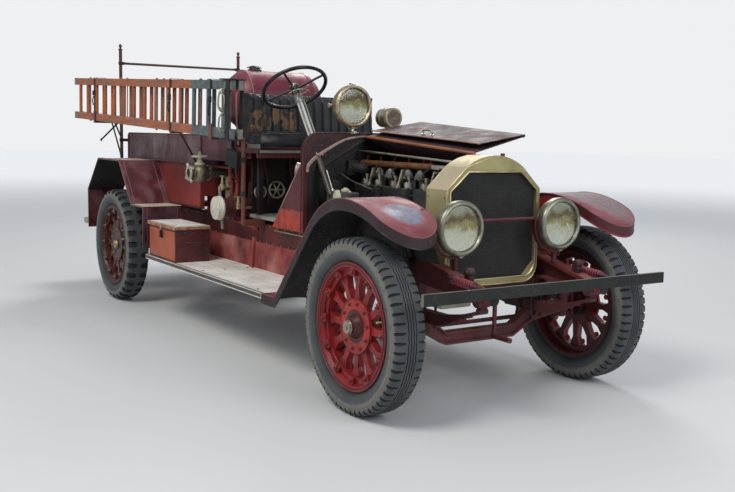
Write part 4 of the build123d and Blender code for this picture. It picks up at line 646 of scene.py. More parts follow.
def worn_leather(name, patch_x=None):
    """Black leather with fine grain, and fibre showing brown through torn patches on the driver's side."""
    f = Finish(name)
    colour = f.mottle(0.1, 0.38, 0.66, (20, 21, 25), (36, 36, 39), detail=5)
    rub = f.cloud(0.02, 0.56, 0.68, detail=6, rough=0.7)
    if patch_x is None:
        edge = f.both(step(f, f.axis("X"), 0.612, 0.012), step(f, f.axis("Z"), 1.44, 0.02))
        colour = f.mix(f.both(edge, f.cloud(0.05, 0.4, 0.6, stretch=(1, 0.3, 1), detail=5), 0.8),
                       colour, (142, 140, 130))
    else:
        where = f.both(inside(f, f.axis("Y"), -0.52, -0.16, 0.03), inside(f, f.axis("Z"), 1.49, 1.67, 0.03),
                       step(f, f.axis("X"), patch_x, 0.01))
        torn = f.span(f.sum("ADD", f.noise(0.055, stretch=(1, 1, 0.6), detail=5), f.both(where, 0.12)),
                      0.585, 0.615)
        fibre = f.mottle(0.012, 0.35, 0.65, (128, 98, 64), (74, 56, 40), detail=5)
        colour = f.mix(f.both(torn, where), colour, fibre)
    colour = f.mix(f.both(rub, 0.3), colour, (76, 74, 72))
    grain = f.node("TexVoronoi", Vector=f.place(), Scale=420.0).outputs["Distance"]
    f.bump(f.sum("ADD", f.both(grain, 0.5), f.noise(0.01, detail=4)), 0.0006, 0.5)
    return f.done(colour, f.cloud(0.05, 0.3, 0.7, 0.42, 0.7))


def core_lines(f, colour):
    """The core's tubes show as upright lines, mottled."""
    tube = f.span(f.sum("SINE", f.both(f.axis("Y"), 520.0)), -0.4, 0.8)
    mottle = f.cloud(0.05, 0.4, 0.65, stretch=(1, 1, 0.3), detail=5)
    colour = f.mix(f.both(tube, 0.55), colour, (84, 82, 80))
    return f.mix(f.both(mottle, 0.4), colour, (62, 56, 58))


def block_top_highlights(f, colour):
    """The upper faces of the castings are painted lighter: a painted highlight."""
    return f.mix(f.span(f.facing(), 0.7, 0.95, 0.0, 0.8), colour, (84, 86, 84))


def seat_inside_shade(f, colour):
    """The seat frame's inside is painted nearly black behind the valance and the posts: painted shade."""
    deep = f.both(f.span(f.axis("X"), 0.575, 0.58, 1.0, 0.0), f.span(f.out(), 0.50, 0.51, 1.0, 0.0))
    return f.mix(f.both(deep, 0.92), colour, (20, 12, 13))


def rail_parts(f, colour):
    """The cross rail is grey brown and the front right post coppery."""
    rail = f.span(f.out(), 0.52, 0.54, 1.0, 0.0)
    colour = f.mix(f.both(rail, 0.8), colour, (74, 54, 48))
    post = f.both(step(f, f.axis("X"), 0.0, 0.01), f.span(f.axis("Y"), -0.2, -0.1, 1.0, 0.0))
    return f.mix(f.both(post, 0.85), colour, (108, 60, 42))


def fluted_glass():
    """Clear lamp glass with upright flutes."""
    f = Finish("lamp_glass", Transmission_Weight=1.0, IOR=1.45, Roughness=0.06)
    f.shader.inputs["Base Color"].default_value = (0.93, 0.95, 0.92, 1)
    f.bump(f.sum("SINE", f.both(f.axis("Y"), 900.0)), 0.0006, 0.14)
    return f.done()


def reflector_bowl():
    """The silvered bowl behind a lamp's glass, with a painted reflection: a brown band in its upper half,
    pale below.
    """
    f = Finish("lamp_reflector", Metallic=1.0)
    # Painted reflection: colour by height, pale low down and a brown band high up.
    painted_reflection = f.sum("ADD", f.axis("Z"), f.both(f.noise(0.08, detail=5, warp=0.5), 0.16))
    colour = f.ramp(
        painted_reflection, (0.08, (228, 226, 212)), (0.155, (216, 212, 188)), (0.175, (176, 168, 112)),
        (0.205, (152, 140, 80)), (0.22, (112, 84, 42)), (0.24, (124, 98, 54)),
        (0.26, (160, 158, 132)), (0.30, (200, 200, 188)),
    )
    f.bump(f.noise(0.02, detail=3), 0.0006, 0.3)
    return f.done(colour, f.cloud(0.04, 0.3, 0.7, 0.16, 0.34))


maroon = old_paint("maroon_paint", (88, 24, 28), (52, 14, 18), (150, 96, 100), (70, 46, 40))
side_red = old_paint("side_red_paint", (146, 54, 46), (104, 32, 32), (190, 110, 98), (96, 60, 48), gloss=0.4,
                     over=body_side)
red_paint = old_paint("red_paint", (140, 36, 34), (92, 22, 24), (184, 96, 90), (80, 48, 40), gloss=0.36)
# The third colour of each is the lip's painted shade.
worn_right = worn_nose(2.61, -0.715, 0.115, 0.115, (108, 122, 138), (128, 42, 50), (28, 13, 16), (14, 14, 13),
                       (18, 17, 16))
worn_left = worn_nose(2.40, 0.79, 0.40, 0.20, (124, 114, 114), (126, 58, 66), (66, 14, 19), (26, 20, 20),
                      (116, 22, 26))
fender_paint = {"right": old_paint("fender_right_paint", (112, 46, 52), (82, 30, 36), (150, 92, 100),
                                   (90, 60, 58), fade_up=0.9, gloss=0.42, over=worn_right),
                "left": old_paint("fender_left_paint", (100, 26, 32), (70, 18, 25), (160, 104, 112),
                                  (90, 60, 58), fade_up=0.9, over=worn_left)}
rear_fender_paint = old_paint("rear_fender_paint", (84, 22, 28), (50, 12, 18), (150, 96, 100), (90, 60, 58),
                              gloss=0.24, over=rear_fender_parts)
tank_paint = old_paint("tank_paint", (112, 30, 48), (84, 22, 36), (168, 92, 108), (90, 60, 58), gloss=0.26)
bonnet_paint = old_paint("bonnet_paint", (70, 44, 50), (46, 28, 34), (98, 74, 78), (140, 80, 50),
                         fade_up=0.45, gloss=0.5)
axle_paint = old_paint("axle_paint", (84, 34, 34), (50, 20, 22), (130, 84, 78), (60, 44, 36), gloss=0.5)
beam_paint = old_paint("beam_paint", (96, 40, 42), (60, 25, 28), (146, 98, 94), (60, 44, 36), gloss=0.5)
rail_paint = old_paint("rail_paint", (100, 34, 34), (62, 22, 23), (150, 98, 92), (60, 44, 36), gloss=0.5)
bumper_paint = old_paint("bumper_paint", (19, 21, 16), (12, 13, 10), (46, 48, 42), (46, 40, 32), gloss=0.5,
                         over=bumper_parts)
gloss_black = old_paint("gloss_black", (20, 21, 20), (12, 13, 12), (60, 60, 56), (60, 50, 40), gloss=0.2)
edge_paint = old_paint("edge_paint", (176, 148, 140), (128, 88, 84), (200, 184, 174), (110, 90, 80),
                       gloss=0.5)
rust_edge = old_paint("rust_edge", (150, 92, 62), (112, 62, 42), (172, 128, 98), (90, 56, 40), gloss=0.5)
lamp_stay_paint = old_paint("lamp_stay_paint", (84, 22, 30), (54, 15, 20), (130, 74, 78), (70, 46, 40))
seat_paint = old_paint("seat_paint", (88, 26, 27), (58, 18, 20), (170, 90, 84), (80, 48, 40), gloss=0.36,
                       over=seat_inside_shade)
hand_rail_paint = old_paint("hand_rail_paint", (88, 36, 33), (56, 23, 22), (136, 92, 86), (80, 48, 40),
                            over=rail_parts)
pump_paint = old_paint("pump_paint", (84, 28, 30), (52, 16, 18), (140, 90, 86), (70, 46, 40), over=pump_parts)
chest_paint = old_paint("chest_paint", (176, 84, 26), (156, 62, 24), (200, 122, 72), (96, 50, 36), gloss=0.36,
                        over=chest_ends)
lid_paint = cast_iron("lid_top", (234, 232, 226), (186, 174, 164), 0.6, 0.7, over=lid_edges)
tread_rubber = {radius: tyre_rubber(name, radius) for name, radius in
                (("front_rubber", FRONT_TYRE_RADIUS), ("rear_rubber", REAR_TYRE_RADIUS))}
groove_rubber = cast_iron("groove_rubber", (38, 39, 39), (64, 64, 62), 0.8, 0.4)
iron = cast_iron("iron", (30, 30, 28), (86, 62, 46), 0.6, 0.5)
dark_iron = cast_iron("dark_iron", (22, 22, 22), (52, 44, 38), 0.55, 0.35)
block_iron = cast_iron("block_iron", (22, 23, 22), (50, 47, 42), 0.28, 0.4, over=block_top_highlights)
aluminium = cast_iron("cast_aluminium", (196, 190, 168), (146, 138, 114), 0.45, 0.6)
floor_plate = cast_iron("floor_plate", (150, 150, 146), (98, 94, 88), 0.5, 0.7)
dull_grey = cast_iron("dull_grey", (120, 116, 108), (84, 76, 68), 0.5, 0.6)
brass = metal("dull_brass", (166, 160, 128), (116, 108, 78), 0.4, 0.2, 0.75)
bright_brass = metal("bright_brass", (196, 184, 146), (140, 122, 82), 0.3, 0.1, 0.6)
nickel = metal("nickel", (190, 184, 168), (128, 116, 88), 0.26)
steel = metal("bright_steel", (170, 168, 162), (110, 104, 96), 0.32)
copper = metal("copper_conduit", (150, 106, 78), (96, 66, 48), 0.45, 0.06)
ladder_wood = timber("ladder_wood", (180, 100, 58), (132, 70, 42), (116, 90, 72), over=ladder_parts)
board_wood = timber("board_wood", (238, 235, 228), (214, 209, 198), (180, 172, 158), rough=0.7,
                    over=board_parts)
step_wood = timber("step_wood", (186, 178, 158), (146, 136, 118), (112, 104, 90), along=(1, 0.06, 1),
                   rough=0.7)
core_metal = cast_iron("core", (44, 44, 43), (30, 29, 29), 0.55, 0.5, over=core_lines)
fin_metal = cast_iron("core_fins", (70, 70, 68), (44, 43, 42), 0.5, 0.7, over=core_lines)
glass = fluted_glass()
mirror = reflector_bowl()
lamp_dull = metal("lamp_ring_dull", (156, 154, 138), (100, 98, 80), 0.34, 0.08, 0.7)
shell_brass = metal("shell_brass", (178, 168, 124), (134, 124, 84), 0.5, 0.2, 0.75, over=shell_parts)
valve_bronze = metal("valve_bronze", (150, 144, 122), (100, 92, 70), 0.4, 0.06, 0.7)
column_paint = cast_iron("column_paint", (206, 206, 198), (156, 154, 142), 0.34, 0.5, over=column_parts)
dash_paint = old_paint("dash_paint", (88, 24, 28), (52, 14, 18), (150, 96, 100), (70, 46, 40),
                       over=dash_parts)
siren_brown = cast_iron("siren_brown", (120, 108, 94), (82, 72, 62), 0.5, 0.6)
lamp_brown = metal("lamp_ring_brown", (190, 176, 150), (128, 108, 84), 0.36, 0.06, 0.7)
wheel_paints = {"front": wheel_paint("front_wheel_paint", FRONT_AXLE_X, FRONT_TYRE_RADIUS, (142, 30, 32),
                                     (170, 44, 32), (78, 20, 24), (46, 18, 18), 0.55, (142, 30, 32)),
                "rear": wheel_paint("rear_wheel_paint", REAR_AXLE_X, REAR_TYRE_RADIUS, (86, 38, 34),
                                    (82, 36, 32), (52, 24, 23), (44, 28, 24), 0.7, (158, 134, 112))}
ring_paint = {"front": old_paint("ring_paint_front", (150, 36, 38), (104, 22, 26), (184, 96, 98),
                                  (60, 30, 28), fade_up=0.3, gloss=0.3),
               "rear": old_paint("ring_paint_rear", (84, 36, 32), (52, 22, 21), (130, 96, 80),
                                 (60, 40, 34))}
wheel_bolt_paint = old_paint("wheel_bolts", (132, 52, 52), (80, 30, 32), (168, 112, 108), (96, 84, 76),
                             gloss=0.4)
fender_edge_paint = old_paint("fender_edge_paint", (126, 80, 84), (84, 44, 48), (156, 120, 122), (90, 60, 58),
                              gloss=0.5)
bulb_glass = cast_iron("bulb_glass", (226, 222, 206), (176, 168, 140), 0.2, 0.4)
rod_paint = old_paint("rod_paint", (72, 26, 32), (44, 16, 20), (116, 70, 74), (60, 44, 36), gloss=0.45)
coil_paint = old_paint("coil_paint", (156, 66, 78), (112, 44, 54), (186, 116, 118), (70, 50, 44), gloss=0.45)
dark_maroon = old_paint("dark_maroon", (62, 30, 32), (38, 18, 20), (120, 92, 90), (60, 44, 36), gloss=0.45)
valve_cap_metal = cast_iron("valve_cap_metal", (178, 176, 166), (112, 108, 98), 0.4, 0.5)
dial_white = cast_iron("dial_white", (206, 202, 178), (172, 166, 138), 0.35, 0.4)
cap_cream = cast_iron("cap_cream", (206, 202, 186), (160, 154, 138), 0.5, 0.6)
cushion_leather = worn_leather("cushion_leather")
back_leather = worn_leather("back_leather", patch_x=0.29)


def dress(finish, *names):
    """Gives CAD nodes their finish."""
    for name in names:
        mesh = nodes[name].data
        mesh.materials.clear()
        mesh.materials.append(finish)


dress(maroon, "tank_stand")
dress(dash_paint, "dash_panel")
dress(lamp_stay_paint, "headlamp_brackets")
dress(seat_paint, "seat_frame")
dress(hand_rail_paint, "hand_rails")
dress(rail_paint, "frame_rails")
dress(side_red, "hose_body")
dress(pump_paint, "pump")
dress(rear_fender_paint, "rear_fenders")
dress(beam_paint, "front_axle", "knuckle_left", "knuckle_right", "tie_rod", "starting_crank")
dress(axle_paint, "leaf_springs", "rear_axle", "driveline")
dress(iron, "exhaust", "engine_manifolds")
dress(tank_paint, "water_tank")
dress(bonnet_paint, "bonnet_left", "bonnet_right_top", "bonnet_right_side")
dress(rust_edge, "bonnet_ridge")
dress(bumper_paint, "bumper")
dress(gloss_black, "steering_wheel")
dress(shell_brass, "radiator_shell")
dress(core_metal, "radiator_core")
dress(nickel, "siren", "engine_fittings", "radiator_stay")
dress(steel, "hand_levers")
dress(aluminium, "engine_crankcase")
dress(column_paint, "steering_column")
dress(floor_plate, "floor_boards")
dress(block_iron, "engine_cylinders")
dress(board_wood, "running_boards")
dress(step_wood, "tail_step")
dress(ladder_wood, "ladder_outer", "ladder_inner")
dress(lid_paint, "toolbox_lid_left", "toolbox_lid_right")
dress(chest_paint, "toolbox_left", "toolbox_right")
for side_name, _ in SIDES:
    dress(fender_paint[side_name], "front_fender_" + side_name)
    for end in ("front", "rear"):
        dress(wheel_paints[end], end + "_wheel_" + side_name)


# Tyres and wheels

def tyre(end, side_name, side, axle_x, radius, pitches, rows, stagger):
    """A tyre as one grid; rows are (half width, radius, half angle of a cut, depth of a cut).

    Cut angles are shares of a pitch. Stagger turns the cuts of one side by half a pitch.
    """
    middle = 0.014  # half of the width over which the two sides' cuts pass into each other
    grooved = 0.056  # half of the width that has the grooves round the tread
    edge = 0.035  # the slope beside a cut, as a share of a pitch
    full = [(-v, r, w, d) for v, r, w, d in rows] + [(v, r, w, d) for v, r, w, d in rows[::-1] if v > 0.0004]
    pitch = TURN / pitches
    normals = []
    for number, (v, r, _, _) in enumerate(full):
        before, after = full[max(number - 1, 0)], full[min(number + 1, len(full) - 1)]
        along = Vector((after[0] - before[0], after[1] - before[1])).normalized()
        normals.append((-along.y, along.x))
    points, faces, kinds = [], [], []
    for (v, r, w, d), (nv, nr) in zip(full, normals):
        turn = stagger * pitch / 2 * max(-1.0, min(1.0, v / middle))
        zigzag = 0.0016 if abs(v) < grooved and not stagger else 0.0
        for number in range(pitches):
            for share, deep in ((-w - edge, 0.0), (-w, d), (w, d), (w + edge, 0.0), (0.5, 0.0)):
                angle = (number + share) * pitch + turn
                shift = zigzag if share == 0.5 else -zigzag
                y, reach = v - nv * deep + shift, r - nr * deep
                points.append((reach * math.cos(angle), side * y, reach * math.sin(angle)))
    count = pitches * 5
    for row in range(len(full) - 1):
        cut = full[row][3] > 0.003 and full[row + 1][3] > 0.003
        sunk = min(full[row][1], full[row + 1][1]) < radius - 0.004 and abs(full[row][0]) < grooved
        for column in range(count):
            after = (column + 1) % count
            low, high = row * count, (row + 1) * count
            face = (low + column, low + after, high + after, high + column)
            faces.append(face[::-side])
            kinds.append(1 if (cut and column % 5 in (0, 1, 2)) or (sunk and not stagger) else 0)
    form.add(points, faces)
    form.kinds = kinds
    name = f"{end}_tyre_{side_name}"
    thing = piece(name + "_tread", [tread_rubber[radius], groove_rubber], body=f"{end}_wheel_{side_name}",
                  round_below=32)
    thing.location = (axle_x, side * WHEEL_Y, radius)
    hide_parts(name)


def groove(v, r):
    """Rows of one groove round the tread, at half of its width to each side."""
    half, deep, lip = 0.0019, 0.007, 0.0019 + 0.0008
    edges = ((lip, 0.0), (half, deep), (-half, deep), (-lip, 0.0))
    return [(v + place, r - down, 0.02, 0.0) for place, down in edges]


def tyre_side(radius):
    """Rows of a tyre's bead and sidewall, with the raised ring below the shoulder."""
    return [(0.0600, 0.3295, 0.02, 0.0), (0.0664, 0.338, 0.02, 0.0), (0.0667, 0.352, 0.02, 0.0),
            (0.0740, 0.3605, 0.02, 0.0), (0.0775, 0.3615, 0.02, 0.0), (0.0790, 0.3655, 0.02, 0.0),
            (0.0860, 0.3745, 0.02, 0.0), (0.0922, 0.388, 0.02, 0.0), (0.0945, 0.402, 0.02, 0.0),
            (0.0938, radius - 0.0575, 0.02, 0.0), (0.0948, radius - 0.0545, 0.02, 0.0),
            (0.0944, radius - 0.0455, 0.02, 0.0), (0.0926, radius - 0.0430, 0.02, 0.0)]


FRONT_TREAD = tyre_side(FRONT_TYRE_RADIUS) + [
    (0.0928, 0.4375, 0.03, 0.001), (0.0926, 0.4440, 0.06, 0.004), (0.0918, 0.4510, 0.10, 0.007),
    (0.0896, 0.4585, 0.13, 0.008), (0.0862, 0.4645, 0.145, 0.009), (0.0800, 0.4700, 0.145, 0.009),
    (0.0710, 0.4735, 0.13, 0.009), (0.0600, 0.4752, 0.11, 0.008), (0.0490, 0.4760, 0.08, 0.007),
    (0.0400, 0.4764, 0.055, 0.005), (0.0350, 0.4766, 0.02, 0.0),
] + groove(0.0235, 0.4768) + groove(0.0080, 0.4770) + [(0.0, 0.4770, 0.02, 0.0)]

REAR_TREAD = tyre_side(REAR_TYRE_RADIUS) + [
    (0.0912, 0.4465, 0.08, 0.002), (0.0904, 0.4500, 0.20, 0.010), (0.0886, 0.4570, 0.23, 0.015),
    (0.0850, 0.4650, 0.235, 0.016), (0.0790, 0.4730, 0.235, 0.016), (0.0700, 0.4795, 0.235, 0.015),
    (0.0580, 0.4832, 0.23, 0.014), (0.0400, 0.4852, 0.22, 0.014), (0.0230, 0.4858, 0.18, 0.013),
    (0.0150, 0.4860, 0.06, 0.008), (0.0110, 0.4860, 0.02, 0.0), (0.0, 0.4860, 0.02, 0.0),
]


def wheel_trim(end, side_name, side, axle_x, radius, hub_out, cap):
    """The rim's rings, the clamps that hold it, the hub's bolts and its cap."""
    centre, out = Vector((axle_x, side * WHEEL_Y, radius)), Vector((0, side, 0))
    body = f"{end}_wheel_{side_name}"
    name = f"{end}_{side_name}"

    def spot(reach, angle, along):
        turn = math.radians(angle)
        return centre + reach * Vector((math.cos(turn), 0, math.sin(turn))) + along * out

    for along, reach, thick, steps in ((0.0735, 0.343, 0.0042, 96), (0.0735, 0.3235, 0.0036, 96),
                                       (0.0445, 0.281, 0.0034, 72), (0.0405, 0.1475, 0.0034, 60)):
        form.ring(centre + along * out, out, reach, thick, steps=steps)
    for number in range(12):
        angle = 30.0 * number
        radial = spot(1.0, angle, 0) - centre
        form.block(spot(0.294, angle, 0.052), (0.040, 0.046, 0.020), along=radial, up=out)
        form.block(spot(0.314, angle, 0.060), (0.016, 0.038, 0.014), along=radial, up=out)
        form.lathe([(0.0, 0.017), (0.010, 0.0165), (0.012, 0.014)], spot(0.250, angle + 15.0, -0.002), -out,
                   steps=10)
    piece(f"wheel_rings_{name}", ring_paint[end], body=body, bevel=0.002, origin=tuple(centre))

    for number in range(12):
        form.bolt(spot(0.292, 30.0 * number, 0.062), out, 0.0115, 0.011)
        form.lathe([(0.0, 0.0055), (0.020, 0.0055), (0.021, 0.004)], spot(0.292, 30.0 * number, 0.062), out,
                   steps=8)
    for number in range(10):
        form.bolt(spot(0.124, 36.0 * number + 9.0, 0.040), out, 0.0105, 0.009)
        form.lathe([(0.0, 0.005), (0.013, 0.005)], spot(0.124, 36.0 * number + 9.0, 0.040), out, steps=8)
    piece(f"wheel_bolts_{name}", wheel_bolt_paint if end == "front" else dull_grey, body=body, bevel=0.0008,
          origin=tuple(centre))

    low = hub_out - 0.023
    form.lathe([(low, 0.0375), (low + 0.003, 0.039), (low + 0.012, 0.039), (low + 0.014, 0.0362),
                (hub_out - 0.003, 0.0355), (hub_out + 0.001, 0.033), (hub_out + 0.0025, 0.024),
                (hub_out + 0.003, 0.0135), (hub_out + 0.008, 0.0125), (hub_out + 0.010, 0.010),
                (hub_out + 0.010, 0.004), (hub_out + 0.007, 0.0)], centre, out, steps=36)
    for number in range(8):
        form.block(spot(0.0375, 45.0 * number, low + 0.008), (0.006, 0.010, 0.010),
                   along=spot(1.0, 45.0 * number, 0) - centre, up=out)
    piece(f"hub_cap_{name}", cap, body=body, bevel=0.0008, origin=tuple(centre))

    form.tube([spot(0.306, 15.0, 0.040), spot(0.300, 15.0, 0.060), spot(0.284, 15.0, 0.074)], 0.0045)
    form.lathe([(0.0, 0.006), (0.012, 0.006), (0.014, 0.004)], spot(0.286, 15.0, 0.0725),
               spot(-0.006, 15.0, 0.006) - centre, steps=8)
    piece(f"tyre_valve_{name}", bright_brass, body=body, origin=tuple(centre))


for side_name, side in SIDES:
    tyre("front", side_name, side, FRONT_AXLE_X, FRONT_TYRE_RADIUS, 60, FRONT_TREAD, 0)
    tyre("rear", side_name, side, REAR_AXLE_X, REAR_TYRE_RADIUS, 32, REAR_TREAD, 1)
    wheel_trim("front", side_name, side, FRONT_AXLE_X, FRONT_TYRE_RADIUS, 0.094, nickel)
    wheel_trim("rear", side_name, side, REAR_AXLE_X, REAR_TYRE_RADIUS, 0.060, bright_brass)


# Fenders

def crown_height(x):
    """The height of a front fender's top line."""
    join_x = FENDER_CROWN_X - FENDER_ARCS[0] * math.sin(FENDER_SLOPE)
    if x < join_x:
        join_z = FENDER_CROWN_Z - FENDER_ARCS[0] * (1 - math.cos(FENDER_SLOPE))
        return max(join_z - (join_x - x) * math.tan(FENDER_SLOPE), BOARD_Z)
    arc = FENDER_ARCS[0] if x < FENDER_CROWN_X else FENDER_ARCS[1]
    return FENDER_CROWN_Z - arc + math.sqrt(arc ** 2 - (x - FENDER_CROWN_X) ** 2)


def fender_edge(side, inset, drop):
    """The edge of a front fender seen from above, from the outer tail round the nose to the inner side."""
    nose_x = FENDER_CROWN_X + FENDER_ARCS[1] * math.sin(FENDER_TURN) - 0.17
    outer, inner = SIDE_Y - inset, 0.56 + inset
    middle, radius = (outer + inner) / 2, (outer - inner) / 2
    plan = [(1.362 + (nose_x - 1.362) * step / 40, outer) for step in range(41)]
    plan += [
        (nose_x + radius * math.sin(turn), middle + radius * math.cos(turn))
        for turn in (math.pi * step / 20 for step in range(1, 21))
    ]
    plan += [(nose_x - 1.05 * step / 24, inner) for step in range(1, 25)]
    return [(x, side * y, crown_height(x) - drop) for x, y in plan]


for side_name, side in SIDES:
    form.tube(fender_edge(side, 0.0015, 0.001), 0.0034)
    piece(f"fender_bead_{side_name}", fender_edge_paint)
    form.tube(fender_edge(side, 0.004, 0.0605), 0.0058)
    for x in (2.16, 2.44):
        form.block((x, side * 0.556, crown_height(x) - 0.022), (0.05, 0.006, 0.03))
    piece(f"fender_wire_{side_name}", gloss_black if side < 0 else ring_paint["front"], bevel=0.001)
    for x in (1.60, 1.72, 1.84, 2.10, 2.34, 2.58):
        normal = (crown_height(x - 0.01) - crown_height(x + 0.01), 0, 0.02)
        form.rivet((x, side * 0.575, crown_height(x) + 0.0005), normal, 0.007)
    piece(f"fender_bolts_{side_name}", fender_paint[side_name])


def rear_fender_line(side, y, points, lift=0.0):
    """A line on a rear fender's outside."""
    return [(x, side * y, z + lift) for x, z in points]


REAR_SLOPE = [(REAR_AXLE_X + 0.243, 1.238), (REAR_AXLE_X + 0.555, 0.880)]
REAR_OUTLINE = [(REAR_AXLE_X - 0.67, 0.581), (REAR_AXLE_X - 0.67, 0.941), (REAR_AXLE_X - 0.34, 1.238),
                *REAR_SLOPE, (REAR_AXLE_X + 0.835, 0.880), (REAR_AXLE_X + 0.835, 0.545)]
for side_name, side in SIDES:
    for y in (SIDE_Y - 0.002, SIDE_Y - 0.012):
        form.tube(rear_fender_line(side, y, REAR_OUTLINE), 0.0036, sides=6)
    for y in (0.862, 0.600):
        form.tube(rear_fender_line(side, y, REAR_SLOPE, 0.002), 0.0045)
        form.tube([(REAR_AXLE_X + 0.836, side * y, 0.872), (REAR_AXLE_X + 0.836, side * y, 0.55)], 0.0045)
    piece(f"rear_fender_beads_{side_name}", fender_edge_paint)
    low, high = REAR_AXLE_X + 0.57, REAR_AXLE_X + 0.832
    form.block(((low + high) / 2, side * 0.73, 0.8825), (high - low, 0.325, 0.004))
    for number in range(9):
        form.block(((low + high) / 2, side * (0.595 + 0.034 * number), 0.8855),
                   (high - low - 0.03, 0.006, 0.003))
    piece(f"step_plate_{side_name}", aluminium, bevel=0.001)
    for x, z in ((REAR_AXLE_X - 0.3, 1.238), (REAR_AXLE_X - 0.05, 1.238), (REAR_AXLE_X + 0.2, 1.238)):
        for y in (0.585, 0.872):
            form.rivet((x, side * y, z), (0, 0, 1), 0.008)
    for z, y in product((0.62, 0.70, 0.78, 0.86), (0.578, 0.882)):
        form.rivet((REAR_AXLE_X + 0.835, side * y, z), (1, 0, 0), 0.007)
    piece(f"rear_fender_rivets_{side_name}", rear_fender_paint)


# Radiator

CORE_HALF, CORE_FLAT = 0.316, 0.192
CORE_TOP, CORE_SHOULDER, CORE_BOTTOM = 1.3, 1.192, 0.694
CORE_CORNER = 0.084


def core_top(y):
    """The upper edge of the radiator's core at a distance from the middle."""
    y = abs(y)
    if y < CORE_FLAT:
        return CORE_TOP
    return CORE_TOP - (y - CORE_FLAT) / (CORE_HALF - CORE_FLAT) * (CORE_TOP - CORE_SHOULDER)


def core_bottom(y):
    """The lower edge of the core, with its round corners."""
    out = abs(y) - (CORE_HALF - CORE_CORNER)
    if out <= 0:
        return CORE_BOTTOM
    return CORE_BOTTOM + CORE_CORNER - math.sqrt(max(CORE_CORNER ** 2 - out ** 2, 0.0))


def radiator():
    """The core's fins and tubes, and the beads round its window and the shell's front edge."""
    face_x = RADIATOR_X - 0.0215
    pitch = 0.0072
    count = int(0.312 / pitch)
    for number in range(-count, count + 1):
        y = number * pitch
        low, high = core_bottom(y) + 0.002, core_top(y) - 0.002
        steps = 26
        path = [(face_x, y + 0.0012 * (-1) ** step, low + (high - low) * step / steps)
                for step in range(steps + 1)]
        form.strip(path, 0.0016, 0.0045, (1, 0, 0))
    piece("radiator_fins", fin_metal, round_below=20)

    z = 0.704
    while z < 1.296:
        width = 0.314
        if z >= CORE_SHOULDER:
            width -= (z - CORE_SHOULDER) / (CORE_TOP - CORE_SHOULDER) * (CORE_HALF - CORE_FLAT)
        if z < 0.778:
            width = CORE_HALF - CORE_CORNER + math.sqrt(CORE_CORNER ** 2 - (0.778 - z) ** 2) - 0.003
        form.block((face_x + 0.0012, 0, z), (0.0024, 2 * width, 0.0018))
        z += 0.0105
    piece("radiator_tubes", core_metal)

    outline = [(-CORE_FLAT, CORE_TOP), (CORE_FLAT, CORE_TOP), (CORE_HALF, CORE_SHOULDER)]
    outline += [(0.232 + 0.084 * math.cos(turn), 0.778 - 0.084 * math.sin(turn))
                for turn in (math.pi / 2 * step / 10 for step in range(11))]
    outline += [(-y, z) for y, z in outline[:2:-1]] + [(-CORE_HALF, CORE_SHOULDER)]
    form.tube([(RADIATOR_X + 0.0005, y, z) for y, z in outline], 0.0065, closed=True)
    shell = [(0.0, 1.392), (0.205, 1.328), (0.34, 1.203)]
    shell += [(0.235 + 0.105 * math.cos(turn), 0.767 - 0.105 * math.sin(turn))
              for turn in (math.pi / 2 * step / 10 for step in range(11))]
    shell += [(-y, z) for y, z in shell[:0:-1]]
    form.tube([(RADIATOR_X - 0.003, y * 0.993, z - 0.002) for y, z in shell], 0.0045, closed=True)
    form.tube([(RADIATOR_X - 0.186, y * 0.999, z - 0.001) for y, z in shell], 0.0035, closed=True)
    piece("radiator_beads", bright_brass)

    for z, side in product((0.86, 1.02, 1.16), (-1, 1)):
        form.rivet((RADIATOR_X - 0.02, side * 0.34, z), (0, side, 0), 0.006)
        form.rivet((RADIATOR_X - 0.17, side * 0.34, z), (0, side, 0), 0.006)
    piece("radiator_rivets", brass)

    form.block((RADIATOR_X - 0.030, 0.066, 1.378), (0.034, 0.030, 0.012))
    form.block((RADIATOR_X - 0.020, 0.066, 1.390), (0.010, 0.026, 0.026))
    form.bolt((RADIATOR_X - 0.036, 0.066, 1.383), (0, 0, 1), 0.006, 0.006)
    piece("radiator_bracket", lamp_stay_paint, bevel=0.001)


radiator()


# Lamps and siren

